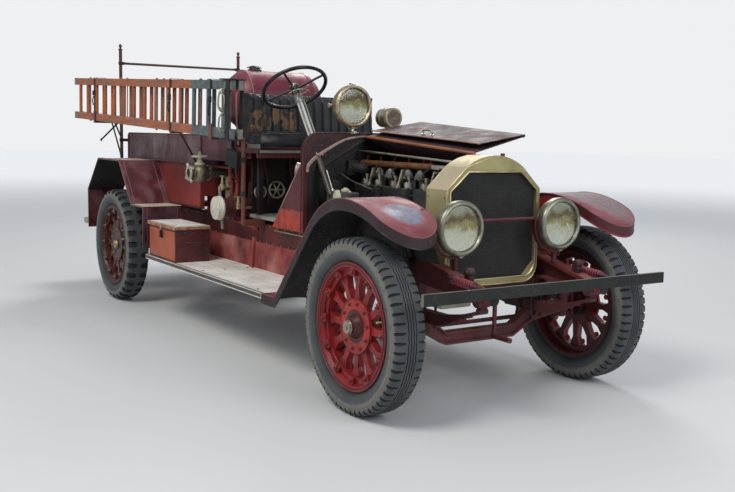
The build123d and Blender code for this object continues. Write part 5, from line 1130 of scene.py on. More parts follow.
def lamp(name, front, radius, depth, shell, ring):
    """A round lamp that faces forward: a bowl, its ring, the reflector, a bulb and the fluted glass."""
    back = Vector((-1, 0, 0))
    front = Vector(front)
    things = []
    outline = curve([(0.052, radius - 0.0065, 0), (0.058, radius - 0.009, 0), (0.064, radius - 0.0132, 0),
                     (0.078, radius - 0.0138, 0), (depth * 0.68, radius * 0.8, 0),
                     (depth * 0.86, radius * 0.58, 0), (depth * 0.97, radius * 0.3, 0), (depth, 0, 0)], 4)
    inner = curve([
        (0.020, radius - 0.026, 0), (depth * 0.45, radius * 0.70, 0), (depth * 0.68, radius * 0.42, 0),
        (depth * 0.78, radius * 0.16, 0),
    ], 5)
    form.lathe([(p.x, max(p.y, 0.0)) for p in outline], front, back, steps=64)
    things.append(piece(name + "_bowl", shell, round_below=30))
    form.lathe([(0.020, radius - 0.030), (0.010, radius - 0.027), (0.0025, radius - 0.023),
                (0.0, radius - 0.017), (0.0002, radius - 0.012), (0.004, radius - 0.0055),
                (0.011, radius - 0.0012), (0.020, radius), (0.042, radius), (0.051, radius - 0.0012),
                (0.057, radius - 0.005), (0.060, radius - 0.010), (0.060, radius - 0.016),
                (0.020, radius - 0.020)], front, back, steps=72, closed=True)
    form.block(front + Vector((-0.018, 0, -radius - 0.001)), (0.018, 0.026, 0.012))
    things.append(piece(name + "_ring", ring, round_below=30, bevel=0.001))
    form.lathe([(p.x, p.y) for p in inner], front, back, steps=64)
    things.append(piece(name + "_reflector", mirror, round_below=60,
                        origin=(front.x, front.y, front.z - 0.1)))
    form.lathe([(depth * 0.72, 0.014), (depth * 0.55, 0.014), (depth * 0.5, 0.018), (depth * 0.42, 0.021),
                (depth * 0.35, 0.018), (depth * 0.31, 0.008), (depth * 0.30, 0.0)], front, back, steps=24)
    things.append(piece(name + "_bulb", bulb_glass))
    face = [(0.0105 - 0.0085 * (1 - share ** 2), (radius - 0.024) * share)
            for share in (1, 0.9, 0.75, 0.55, 0.3, 0.0)]
    form.lathe(face[::-1] + [(along + 0.003, reach) for along, reach in face], front, back, steps=64)
    things.append(piece(name + "_glass", glass, round_below=50))
    return things


def headlamps():
    """The two headlamps; the right one takes the place of the model's."""
    for side_name, side in SIDES:
        things = lamp("headlamp_" + side_name, (RADIATOR_X + 0.179, side * 0.361, 1.008), 0.150, 0.150, brass,
                      lamp_dull)
        if side < 0:
            for thing in things:
                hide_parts("headlamps")


def spotlight():
    """The spotlight on the dash with its fork, foot and pivots."""
    things = lamp("spotlight", (DASH_X + 0.015, -0.088, 1.683), 0.143, 0.170, nickel, lamp_brown)
    spot = Vector((DASH_X - 0.055, -0.088, 1.683))
    form.tube(circle(spot, (1, 0, 0), 0.150, 24, 90, 270), 0.009)
    form.tube([(DASH_X - 0.012, -0.088, 1.5), (DASH_X - 0.012, -0.088, 1.524),
               (DASH_X - 0.055, -0.088, 1.536)], [0.016, 0.014, 0.012], sides=12)
    form.lathe([(0.0, 0.040), (0.006, 0.040), (0.010, 0.030), (0.014, 0.018)],
               (DASH_X - 0.006, -0.088, 1.4995), (0, 0, 1), steps=24)
    for side in (-1, 1):
        form.lathe([(-0.012, 0.009), (0.012, 0.010), (0.018, 0.016), (0.026, 0.016), (0.029, 0.010)],
                   spot + Vector((0, side * 0.141, 0)), (0, side, 0), steps=12)
    things.append(piece("spotlight_fork", nickel))
    for thing in things:
        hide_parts("spotlight")


headlamps()
spotlight()


def siren_face():
    """The siren's ring, its brown grille and its clamp."""
    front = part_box("siren")[1][0]
    centre = Vector((front, 0.236, 1.612))
    form.lathe([(-0.030, 0.0665), (-0.026, 0.071), (0.002, 0.071), (0.006, 0.068), (0.006, 0.054),
                (-0.004, 0.050), (-0.010, 0.062)], centre, (1, 0, 0), steps=48, closed=True)
    form.ring(centre + Vector((-0.085, 0, 0)), (1, 0, 0), 0.067, 0.004)
    form.block((DASH_X - 0.008, 0.236, 1.506), (0.05, 0.08, 0.010))
    piece("siren_ring", lamp_brown)

    form.lathe([(0.0015, 0.0), (0.006, 0.012), (0.004, 0.052)], centre, (1, 0, 0), steps=32)
    for radial in spokes("x", 18):
        form.block(centre + 0.033 * radial + Vector((0.006, 0, 0)), (0.036, 0.004, 0.005), along=radial,
                   up=(1, 0, 0))
    piece("siren_grille", siren_brown)


siren_face()


# Front end

def spring_trim():
    """The buffers' coils and rods, the horns' eyes, the spring eyes and the U-bolts round the leaves."""
    for side in (-1, 1):
        y = side * COIL_Y
        form.tube(helix((2.712, y, COIL_Z + 0.012), (2.872, y, COIL_Z), 0.0195, 9), 0.0050)
        form.block((2.70, side * 0.437, COIL_Z + 0.004), (0.060, 0.022, 0.034))
    piece("buffer_coils", coil_paint, bevel=0.001)

    for side in (-1, 1):
        form.lathe([(-0.046, 0.012), (-0.040, 0.0225), (-0.010, 0.0235), (-0.004, 0.0200), (0.0, 0.010),
                    (0.165, 0.010), (0.168, 0.0215), (0.182, 0.0205), (0.196, 0.0120), (0.262, 0.0085),
                    (0.268, 0.0)], (2.706, side * COIL_Y, COIL_Z + 0.012), (0.9975, 0, -0.07), steps=24)
    piece("buffer_rods", rod_paint, bevel=0.001)

    for side in (-1, 1):
        form.lathe([(-0.018, 0.018), (-0.014, 0.025), (0.018, 0.026), (0.025, 0.023), (0.028, 0.014),
                    (0.034, 0.012)], (2.760, side * 0.386, 0.790), (0, side, 0), steps=24)
        form.block((2.755, side * 0.390, 0.750), (0.046, 0.034, 0.050), along=(1, 0, -0.23), up=(0.23, 0, 1))
    piece("horn_eyes", dark_maroon, bevel=0.004)

    for side in (-1, 1):
        y = side * SPRING_Y
        for x, z in ((2.872, 0.658), (FRONT_AXLE_X - 0.50, 0.600)):
            form.lathe([(-0.044, 0.030), (-0.040, 0.034), (0.040, 0.034), (0.044, 0.030)], (x, y, z),
                       (0, 1, 0), steps=24)
            form.bolt((x, y + side * 0.043, z), (0, side, 0), 0.017, 0.014)
            form.lathe([(0.0, 0.006), (0.026, 0.006), (0.028, 0.009), (0.036, 0.009)], (x, y, z + 0.030),
                       (0, 0, 1), steps=10)
    piece("spring_eyes", axle_paint, bevel=0.001)

    for side in (-1, 1):
        y = side * SPRING_Y
        for (axle_x, low), offset in product(((FRONT_AXLE_X, 0.43), (REAR_AXLE_X, 0.415)), (-0.062, 0.062)):
            x, top = axle_x + offset, 0.60
            form.tube([(x, y - 0.036, low), (x, y - 0.036, top), (x, y - 0.030, top + 0.008),
                       (x, y + 0.030, top + 0.008), (x, y + 0.036, top), (x, y + 0.036, low)], 0.0075)
            for across in (-0.036, 0.036):
                form.bolt((x, y + across, low + 0.012), (0, 0, -1), 0.012, 0.012)
    piece("spring_bolts", iron)


spring_trim()


def bumper_trim():
    """The bolts and worn ends of the bumper bar."""
    for side in (-1, 1):
        for z in (0.700, 0.726):
            form.bolt((2.984, side * SPRING_Y, z), (1, 0, 0), 0.0105, 0.0038)
        form.strip([(2.9665, side * 0.8495, 0.683), (2.9665, side * 0.8495, 0.743)], 0.0018, 0.0205,
                   (1, 0, 0))
    form.strip([(2.977, -0.848, 0.7425), (2.977, 0.848, 0.7425)], 0.018, 0.0012, (0, 0, 1))
    piece("bumper_wear", dull_grey)


bumper_trim()


# Engine

CYLINDER_PAIRS = (1.346, 1.680, 2.014)


def engine_trim():
    """What stands on the cylinders, the plugs and wires, control rods, gear case and dash fittings."""
    for x in CYLINDER_PAIRS:
        for offset, y in product((-0.140, -0.052, 0.052, 0.140), (-0.132, 0.132)):
            form.bolt((x + offset, y, 1.1655), (0, 0, 1), 0.0095, 0.009)
        for z in (0.90, 0.96, 1.02, 1.08, 1.13):
            form.strip([(x - 0.158, -0.1505, z), (x + 0.158, -0.1505, z)], 0.006, 0.003, (0, -1, 0))
    piece("cylinder_nuts", block_iron, bevel=0.0008)

    for x, offset in product(CYLINDER_PAIRS, (-0.100, 0.030)):
        form.lathe([(0.0, 0.036), (0.010, 0.038), (0.016, 0.033), (0.024, 0.034), (0.030, 0.029),
                    (0.040, 0.028), (0.046, 0.018), (0.056, 0.015), (0.060, 0.006)],
                   (x + offset, 0.036, 1.2135), (0, 0, 1), steps=20)
    piece("valve_caps", valve_cap_metal, bevel=0.0008)

    for x in CYLINDER_PAIRS:
        form.block((x, 0.020, 1.190), (0.300, 0.205, 0.050))
        for offset, y in product((-0.125, 0.0, 0.125), (-0.062, 0.102)):
            form.bolt((x + offset, y, 1.2145), (0, 0, 1), 0.009, 0.009)
    piece("head_covers", gloss_black, bevel=0.006)

    for number, x in enumerate(CYLINDER_PAIRS):
        for offset in (-0.078, 0.078):
            start = (x + offset * 0.6, -0.074, 1.300)
            end = (x + offset, -0.096 + 0.01 * (number % 2), 1.205)
            middle = (x + offset * 0.9 + 0.02, -0.125, 1.262)
            form.tube(curve([start, middle, end], 7), 0.0042)
    piece("plug_wires", dark_iron)

    for x, offset in product(CYLINDER_PAIRS, (-0.078, 0.078)):
        form.lathe([(0.0, 0.013), (0.010, 0.013), (0.012, 0.008), (0.030, 0.007), (0.034, 0.0085),
                    (0.040, 0.006)], (x + offset, -0.098, 1.1655), (0, 0, 1), steps=6)
    piece("spark_plugs", nickel)

    for x in (1.24, 1.40, 1.56, 1.72, 1.88, 1.95):
        form.lathe([(-0.006, 0.0235), (0.006, 0.0235)], (x, -0.06, 1.306), (1, 0, 0), steps=16)
        form.tube([(x, -0.06, 1.306), (x, -0.06, 1.34), (x + 0.012, -0.06, 1.352)], 0.0025, sides=6)
    form.tube([(1.186, -0.06, 1.306), (1.56, -0.06, 1.306), (1.968, -0.06, 1.306)], 0.0205, sides=14)
    piece("conduit_sleeve", copper)

    ends = ((1.184, -0.368, 1.258), (1.243, -0.368, 1.131)), ((1.212, -0.356, 1.256), (1.292, -0.356, 1.131))
    for start, end in ends:
        form.tube([start, end], 0.0055, sides=10)
        form.lathe([(-0.010, 0.010), (0.010, 0.010)], end, Vector(end) - Vector(start), steps=12)
    form.tube([(DASH_FRONT_X, -0.20, 1.235), (1.30, -0.215, 1.19), (1.55, -0.22, 1.15)], 0.005)
    piece("control_rods", steel)

    for x, y in ((1.26, -0.33), (1.36, -0.35), (1.46, -0.33)):
        form.bolt((x, y, 1.1275), (0, 0, 1), 0.010, 0.008)
    form.lathe([(0.0, 0.026), (0.006, 0.028), (0.016, 0.026), (0.020, 0.014), (0.026, 0.012)],
               (1.405, -0.328, 1.1275), (0, 0, 1), steps=20)
    form.lathe([(0.0, 0.046), (0.003, 0.047), (0.006, 0.044), (0.007, 0.028), (0.010, 0.026)],
               (1.375, -0.3695, 1.092), (0, -1, 0), steps=28)
    for number in range(6):
        turn = TURN * number / 6
        form.bolt((1.375 + 0.038 * math.cos(turn), -0.3750, 1.092 + 0.038 * math.sin(turn)), (0, -1, 0),
                  0.006, 0.004)
    piece("gear_case_cover", aluminium, bevel=0.0008)

    form.lathe([(0.0, 0.034), (0.100, 0.034), (0.108, 0.028), (0.125, 0.026)], (1.165, -0.10, 1.27),
               (1, 0, 0), steps=24)
    form.block((1.143, -0.10, 1.27), (0.045, 0.10, 0.10))
    for start in ((1.184, -0.368, 1.258), (1.212, -0.356, 1.256)):
        form.tube([(DASH_FRONT_X - 0.002, start[1] + 0.02, start[2] - 0.01), start], 0.007)
    form.lathe([(0.0, 0.05), (0.05, 0.05), (0.056, 0.044)], (DASH_FRONT_X - 0.002, -0.26, 1.14), (1, 0, 0),
               steps=28)
    piece("dash_fittings", dark_iron, bevel=0.002)


engine_trim()


# Bonnet

def leaf_corners(name):
    """The rear and front ends of a folded leaf's edge nearest the ridge, and of its far edge."""
    points = np.array([tuple(vertex.co) for vertex in nodes[name].data.vertices])
    rear = points[points[:, 0] < points[:, 0].min() + 0.03]
    front = points[points[:, 0] > points[:, 0].max() - 0.03]
    ends = []
    for pick in (np.argmin, np.argmax):
        ends.append((Vector(rear[pick(rear[:, 1])]), Vector(front[pick(front[:, 1])])))
    return ends


def bonnet_trim():
    """Rolled edges and catch handles of the folded leaves and of the closed left half."""
    (near_rear, near_front), (far_rear, far_front) = leaf_corners("bonnet_right_side")
    form.tube([near_rear, near_front], 0.0055)
    piece("side_leaf_edge", edge_paint, body="bonnet_right_side")

    along = (near_front - near_rear).normalized()
    across = (far_rear - near_rear)
    across = (across - along * across.dot(along)).normalized()
    up = along.cross(across)
    up = up if up.z > 0 else -up
    foot = near_rear.lerp(near_front, 0.5) + 0.05 * across + 0.004 * up
    path = [foot - 0.045 * along, foot - 0.040 * along + 0.026 * up, foot + 0.040 * along + 0.026 * up,
            foot + 0.045 * along]
    form.tube(curve(path, 5), 0.006)
    for end in (path[0], path[3]):
        form.lathe([(0.0, 0.014), (0.004, 0.013)], end, up, steps=12)
    piece("leaf_handles", nickel, body="bonnet_right_side")

    (near_rear, near_front), (far_rear, far_front) = leaf_corners("bonnet_right_top")
    form.tube([near_rear + Vector((0.004, 0.004, -0.002)), near_front + Vector((-0.004, 0.004, -0.002))],
              0.005)
    form.tube([far_rear + Vector((0.004, -0.008, -0.003)), far_front + Vector((-0.004, -0.008, -0.003))],
              0.0045)
    piece("top_leaf_edge", rust_edge, body="bonnet_right_top")

    for x, ridge_z, half, shoulder_z in ((1.1285, 1.4775, 0.408, 1.272), (2.2815, 1.3965, 0.338, 1.205)):
        form.tube([(x, 0.014, ridge_z - 0.006), (x, half, shoulder_z + 0.001), (x, half + 0.0005, 0.858)],
                  0.0038)
    form.tube([(1.128, 0.409, 0.857), (2.282, 0.339, 0.857)], 0.0045)
    piece("left_bonnet_edges", edge_paint)

    for x in (1.42, 2.0):
        y = 0.408 - (x - 1.126) / 1.158 * 0.07 + 0.004
        form.tube(curve([(x - 0.045, y, 0.93), (x - 0.04, y + 0.026, 0.93), (x + 0.04, y + 0.024, 0.93),
                         (x + 0.045, y - 0.004, 0.93)], 5), 0.006)
    piece("left_bonnet_handles", nickel)


bonnet_trim()


# Dash and cab

def arch(x, inset):
    """The line of the bonnet's section at the dash, with round shoulders, from side to side."""
    half, shoulder, ridge = 0.408 - inset, 1.272 - inset * 0.6, 1.478 - inset
    corner = 0.07
    slope = Vector((0, -half, ridge - shoulder)).normalized()
    bend = [Vector((x, half, shoulder - corner)), Vector((x, half - 0.012, shoulder - 0.012)),
            Vector((x, half, shoulder)) + slope * corner]
    slant = [bend[-1], Vector((x, 0.05, ridge - 0.012)), Vector((x, 0, ridge))]
    line = [Vector((x, half, 0.845))] + curve(bend, 6) + curve(slant, 5)[1:]
    return line + [Vector((p.x, -p.y, p.z)) for p in line[-2::-1]]


def dash_outline(x, grow=0.0):
    """The dash board's edge, from one foot over the top to the other."""
    half, top, corner = 0.478 + grow, 1.5 + grow, 0.13
    line = [(x, half, 0.845)]
    line += [(x, half - corner + corner * math.cos(turn), top - corner + corner * math.sin(turn))
             for turn in (math.pi / 2 * step / 10 for step in range(11))]
    return line + [(px, -py, pz) for px, py, pz in line[::-1]]


def dash_trim():
    """The landing strip under the bonnet's rear edge, and the pale edges of the board and the side panels."""
    line = arch(DASH_FRONT_X + 0.018, 0.0225)
    ups = []
    for number, point in enumerate(line):
        before, after = line[max(number - 1, 0)], line[min(number + 1, len(line) - 1)]
        ups.append(Vector((1, 0, 0)).cross(after - before).normalized())
    form.strip(line, 0.038, 0.005, ups)
    piece("bonnet_landing", gloss_black, round_below=45)

    rise = [(0.4515, 1.243), (0.446, 1.282), (0.400, 1.330), (0.328, 1.375), (0.198, 1.443),
            (0.109, 1.470), (0.0, 1.481)]
    line = curve([(DASH_FRONT_X, -y, z) for y, z in rise] + [(DASH_FRONT_X, y, z) for y, z in rise[-2::-1]],
                 5)
    form.strip(line, [0.010 + 0.014 * min(1.0, abs(point.y) / 0.452) for point in line], 0.0045, (1, 0, 0))
    piece("dash_bands", edge_paint, round_below=45)

    for side, (y, width) in product((-1, 1), ((0.4725, 0.007), (0.4610, 0.009))):
        form.strip([(DASH_FRONT_X, side * y, 0.850), (DASH_FRONT_X, side * y, 1.300)], width, 0.0035,
                   (1, 0, 0))
    piece("dash_posts", maroon)

    form.tube(dash_outline(DASH_FRONT_X - 0.002, 0.001), 0.0045)
    form.tube(dash_outline(DASH_X - 0.015, 0.001), 0.0045)
    piece("dash_beads", rod_paint)

    for side in (-1, 1):
        form.strip([(1.086, side * 0.4755, 1.298), (0.7325, side * 0.4755, 0.908)], 0.010, 0.006,
                   (-0.74, 0, 0.67))
        form.tube([(1.086, side * 0.4785, 1.298), (0.7325, side * 0.4785, 0.908)], 0.004)
    piece("dash_edges", edge_paint)

    for side in (-1, 1):
        for z in (0.9, 1.02, 1.14, 1.26):
            form.rivet((1.094, side * 0.4785, z), (0, side, 0), 0.006)
        for share in (0.1, 0.36, 0.62, 0.88):
            x, z = 1.072 + (0.725 - 1.072) * share, 1.262 + (0.88 - 1.262) * share
            form.rivet((x, side * 0.4785, z - 0.012), (0, side, 0), 0.006)
    piece("dash_rivets", maroon)


def gauges():
    """The instruments on the dash's rear face and the pump's gauge above the driver's side panel."""
    rear = DASH_X - 0.0165
    for y, z, radius in ((-0.10, 1.40, 0.055), (0.08, 1.40, 0.05), (0.24, 1.38, 0.04)):
        form.kind = 0
        form.lathe([(0.0, radius), (0.018, radius), (0.022, radius - 0.004), (0.018, radius - 0.010),
                    (0.014, radius - 0.012)], (rear, y, z), (-1, 0, 0), steps=32)
        form.kind = 1
        form.lathe([(0.010, radius - 0.010), (0.0155, radius - 0.010), (0.016, 0.0)], (rear, y, z),
                   (-1, 0, 0), steps=32)
    form.kind = 0
    centre = (0.902, -0.400, 1.246)
    form.lathe([(-0.020, 0.046), (0.006, 0.052), (0.012, 0.052), (0.015, 0.047), (0.010, 0.044)], centre,
               (-0.5, -0.6, 0.1), steps=32)
    form.kind = 1
    form.lathe([(0.004, 0.046), (0.0105, 0.046), (0.011, 0.0)], centre, (-0.5, -0.6, 0.1), steps=32)
    form.kind = 0
    form.tube([(0.925, -0.385, 1.244), (1.0, -0.375, 1.243), (1.088, -0.372, 1.242)], 0.012, sides=10)
    form.tube([(0.92, -0.39, 1.20), (0.93, -0.385, 1.10), (0.97, -0.38, 0.99)], 0.006)
    piece("gauges", [nickel, dial_white])


def column_trim():
    """The rods beside the steering column, its quadrant and levers, and the wheel's centre nut."""
    column = Vector((-math.cos(math.radians(54)), 0, math.sin(math.radians(54))))
    hub = Vector((0.771, -0.362, 1.804))
    for y in (-0.020, 0.022):
        beside = Vector((0.030, y, 0))
        form.tube([hub - 0.10 * column + beside, hub - 0.56 * column + beside], 0.006)
    form.lathe([(-0.13, 0.026), (-0.12, 0.031), (-0.07, 0.031), (-0.062, 0.028)], hub, column, steps=24)
    form.lathe([(-0.52, 0.030), (-0.51, 0.033), (-0.49, 0.033), (-0.48, 0.030)], hub, column, steps=24)
    piece("column_rods", steel)

    top = hub + 0.010 * column
    form.lathe([(-0.006, 0.034), (0.002, 0.034), (0.006, 0.030), (0.010, 0.018), (0.022, 0.016),
                (0.026, 0.008)], top, column, steps=24)
    piece("wheel_nut", nickel, body="steering_wheel", origin=tuple(hub))

    low = hub - 0.075 * column
    form.tube(circle(low, column, 0.085, 30, 200, 330), 0.0045)
    for turn in (220, 262, 305):
        end = circle(low, column, 0.085, 1, turn, turn)[0]
        form.tube([low + 0.02 * (end - low).normalized(), end], 0.004)
    for turn in (235, 290):
        end = circle(low + 0.012 * column, column, 0.115, 1, turn, turn)[0]
        form.tube([low + 0.012 * column, end], [0.0055, 0.0035])
        form.lathe([(-0.008, 0.004), (-0.004, 0.010), (0.006, 0.010), (0.010, 0.004)], end, column, steps=12)
    piece("hand_quadrant", nickel)


def cab_floor():
    """Pedals, the levers' gate and grips, the floor's plates and the pump's handwheel under the seat."""
    for y in (-0.44, -0.28, -0.18):
        foot = Vector((0.93, y, 1.005))
        form.tube([(1.0, y, 0.985), foot + Vector((0.0, 0, 0.02)), foot + Vector((-0.03, 0, 0.045))], 0.008)
        form.block(foot + Vector((-0.034, 0, 0.052)), (0.09, 0.06, 0.010), along=(0.55, 0, 0.83),
                   up=(-0.83, 0, 0.55))
    piece("pedals", dull_grey, bevel=0.002)

    for x, y, top in ((0.800, -0.060, 1.250), (0.770, 0.020, 1.180)):
        form.block((x, y, 0.905), (0.16, 0.045, 0.010))
        lean = Vector((-0.060, 0, top - 0.906)).normalized()
        place = Vector((x, y, 0.906))
        form.lathe([(0.05, 0.017), (0.06, 0.021), (0.09, 0.021), (0.10, 0.014)], place, lean, steps=16)
        form.tube([place + (top - 1.02) * lean + Vector((0.014, 0, 0)),
                   place + (top - 0.94) * lean + Vector((0.030, 0, 0))], 0.0045)
    form.tube(circle((0.77, 0.048, 0.90), (0, 1, 0), 0.11, 16, -150, -30), 0.005)
    piece("lever_gate", dull_grey, bevel=0.001)

    for x in (0.42, 0.58, 0.74):
        form.strip([(x, -0.462, 0.9), (x, 0.462, 0.9)], 0.012, 0.0025, (0, 0, 1))
    form.strip([(0.300, 0.0, 0.9), (0.868, 0.0, 0.9)], 0.012, 0.0025, (0, 0, 1))
    for number, y in product(range(15), (-0.45, -0.02, 0.02, 0.45)):
        form.rivet((0.31 + 0.039 * number, y, 0.9), (0, 0, 1), 0.0045)
    piece("floor_strips", floor_plate)

    centre = Vector((0.335, -0.272, 1.076))
    form.ring(centre, (1, 0, 0.1), 0.060, 0.008, steps=36)
    for radial in spokes("x", 6):
        form.tube([centre + 0.014 * radial, centre + 0.058 * radial], [0.007, 0.005])
        form.lathe([(-0.008, 0.006), (0.0, 0.0125), (0.008, 0.006)], centre + 0.062 * radial, radial,
                   steps=10)
    form.lathe([(-0.030, 0.010), (-0.012, 0.010), (-0.010, 0.017), (0.008, 0.017), (0.012, 0.008)], centre,
               (1, 0, 0), steps=16)
    small = Vector((0.335, -0.405, 1.062))
    form.ring(small, (1, 0, 0), 0.045, 0.007, steps=30)
    form.lathe([(-0.030, 0.009), (0.010, 0.014), (0.014, 0.008)], small, (1, 0, 0), steps=16)
    for radial in list(spokes("x", 8))[:4]:
        form.tube([small - 0.043 * radial, small + 0.043 * radial], 0.0045)
    piece("pump_handwheels", nickel)

    for y in (-0.36, -0.15, 0.10, 0.34):
        form.tube(curve([(0.3085, y, 1.30), (0.328, y + 0.004, 1.22), (0.322, y + 0.03, 1.05),
                         (0.3085, y + 0.03, 0.96)], 6), 0.010, sides=10)
    form.block((0.316, 0.06, 1.19), (0.022, 0.22, 0.14))
    piece("pump_panel", axle_paint, bevel=0.003)


dash_trim()
gauges()
column_trim()
cab_floor()


# Seat

def stuffed(name, node, inset, cap):
    """A padded piece: a node's solid drawn in a little, blown up as cloth, and divided once."""
    low, high = (Vector(corner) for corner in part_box(node))
    centre, half = (low + high) / 2, (high - low) / 2
    mesh = nodes[node].data.copy()
    mesh.name = name
    mesh.materials.clear()
    for vertex in mesh.vertices:
        for number in range(3):
            share = (half[number] - inset) / half[number]
            vertex.co[number] = centre[number] + (vertex.co[number] - centre[number]) * share
    thing = bpy.data.objects.new(name, mesh)
    bpy.context.scene.collection.objects.link(thing)
    remesh = thing.modifiers.new("even", "REMESH")
    remesh.mode = "VOXEL"
    remesh.voxel_size = 0.0085
    bake(thing)
    start = coordinates(thing)
    cloth = thing.modifiers.new("cloth", "CLOTH")
    cloth.settings.use_pressure = True
    cloth.settings.uniform_pressure_force = 4.0
    cloth.settings.effector_weights.gravity = 0.0
    cloth.settings.quality = 4
    cloth.settings.tension_stiffness = 12.0
    cloth.settings.compression_stiffness = 12.0
    for number in range(1, 21):
        bpy.context.scene.frame_set(number)
    bake(thing)
    bpy.context.scene.frame_set(1)
    move = coordinates(thing) - start
    length = np.linalg.norm(move, axis=1, keepdims=True)
    move *= np.minimum(1.0, cap / np.maximum(length, 1e-9))
    settle(thing, start + move)
    division = thing.modifiers.new("divide", "SUBSURF")
    division.levels = 1
    bake(thing)
    return thing


def bake(thing):
    """Applies a piece's modifiers to its mesh."""
    graph = bpy.context.evaluated_depsgraph_get()
    graph.update()
    mesh = bpy.data.meshes.new_from_object(thing.evaluated_get(graph))
    thing.modifiers.clear()
    thing.data = mesh


def coordinates(thing):
    """A mesh's points as an array."""
    places = np.empty(len(thing.data.vertices) * 3)
    thing.data.vertices.foreach_get("co", places)
    return places.reshape(-1, 3)


def settle(thing, places):
    """Puts a mesh's points where an array says."""
    thing.data.vertices.foreach_set("co", places.reshape(-1))
    thing.data.update()


def seam(distance, width, depth):
    """How far a sewn channel draws the surface in, at a distance from its line."""
    return depth * np.exp(-(distance / width) ** 2)


def seat():
    """The bench cushion and the pleated squab, both swollen by their stuffing."""
    pleat = 0.0700
    soft = 0.02  # the width over which a channel fades out
    thing = stuffed("bench_cushion", "seat_cushion", 0.010, 0.026)
    places = coordinates(thing)
    floor_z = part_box("seat_cushion")[0][2]
    top = np.clip((places[:, 2] - 1.46) / soft, 0, 1)
    away = np.abs((places[:, 1] + pleat / 2) % pleat - pleat / 2)
    behind = np.clip((0.60 - places[:, 0]) / soft, 0, 1)
    places[:, 2] -= seam(away, 0.007, 0.010) * top * behind
    front = np.clip((places[:, 0] - 0.625) / 0.012, 0, 1)
    places[:, 0] -= seam(places[:, 2] - 1.437, 0.006, 0.007) * front
    places[:, 2] = np.maximum(places[:, 2], floor_z + 0.0005)
    settle(thing, places)
    finish_padded(thing, cushion_leather, "seat_cushion")

    thing = stuffed("bench_back", "seat_back", 0.010, 0.024)
    places = coordinates(thing)
    away = np.abs((places[:, 1] + pleat / 2) % pleat - pleat / 2)
    middle_x = 0.365 - (places[:, 2] - 1.384) * 0.12
    front = np.clip((places[:, 0] - middle_x) / soft, 0, 1)
    height = np.clip((1.783 - places[:, 2]) / soft, 0, 1) * np.clip((places[:, 2] - 1.47) / soft, 0, 1)
    places[:, 0] -= seam(away, 0.009, 0.020) * front * height
    places[:, 0] -= seam(places[:, 2] - 1.780, 0.006, 0.008) * front
    places[:, 0] += 0.0016 * np.sin(places[:, 1] * 61.0) * front
    places[:, 2] = np.maximum(places[:, 2], 1.3845)
    settle(thing, places)
    finish_padded(thing, back_leather, "seat_back")

    for z, x in ((1.489, 0.634), (1.392, 0.637)):
        form.tube([(x - 0.004, y, z - 0.004 * math.cos(y * 3)) for y in np.linspace(-0.548, 0.548, 40)],
                  0.0045)
    piece("cushion_piping", back_leather)

    for side in (-1, 1):
        form.strip([(0.432, side * 0.552, 1.384), (0.62, side * 0.552, 1.384)], 0.012, 0.030, (0, 0, 1))
        form.tube(curve([(0.28, side * 0.556, 1.40), (0.26, side * 0.562, 1.60),
                         (0.262, side * 0.562, 1.778)], 6), 0.007)
    form.strip([(0.630, -0.558, 1.362), (0.630, 0.558, 1.362)], 0.020, 0.003, (1, 0, 0.001))
    piece("seat_irons", dull_grey, bevel=0.001)


def finish_padded(thing, finish, node):
    """Dresses a padded piece, sets it on the chassis and hides the node that it stands for."""
    thing.data.materials.clear()
    thing.data.materials.append(finish)
    thing.data.shade_smooth()
    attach(thing, "chassis")
    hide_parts(node)


seat()


# Ladders and rails

def ladder_z(x):
    """The height of the ladders' middle line."""
    return LADDER_MID_REAR_Z - (x - LADDER_REAR_X) * math.tan(LADDER_SLOPE)


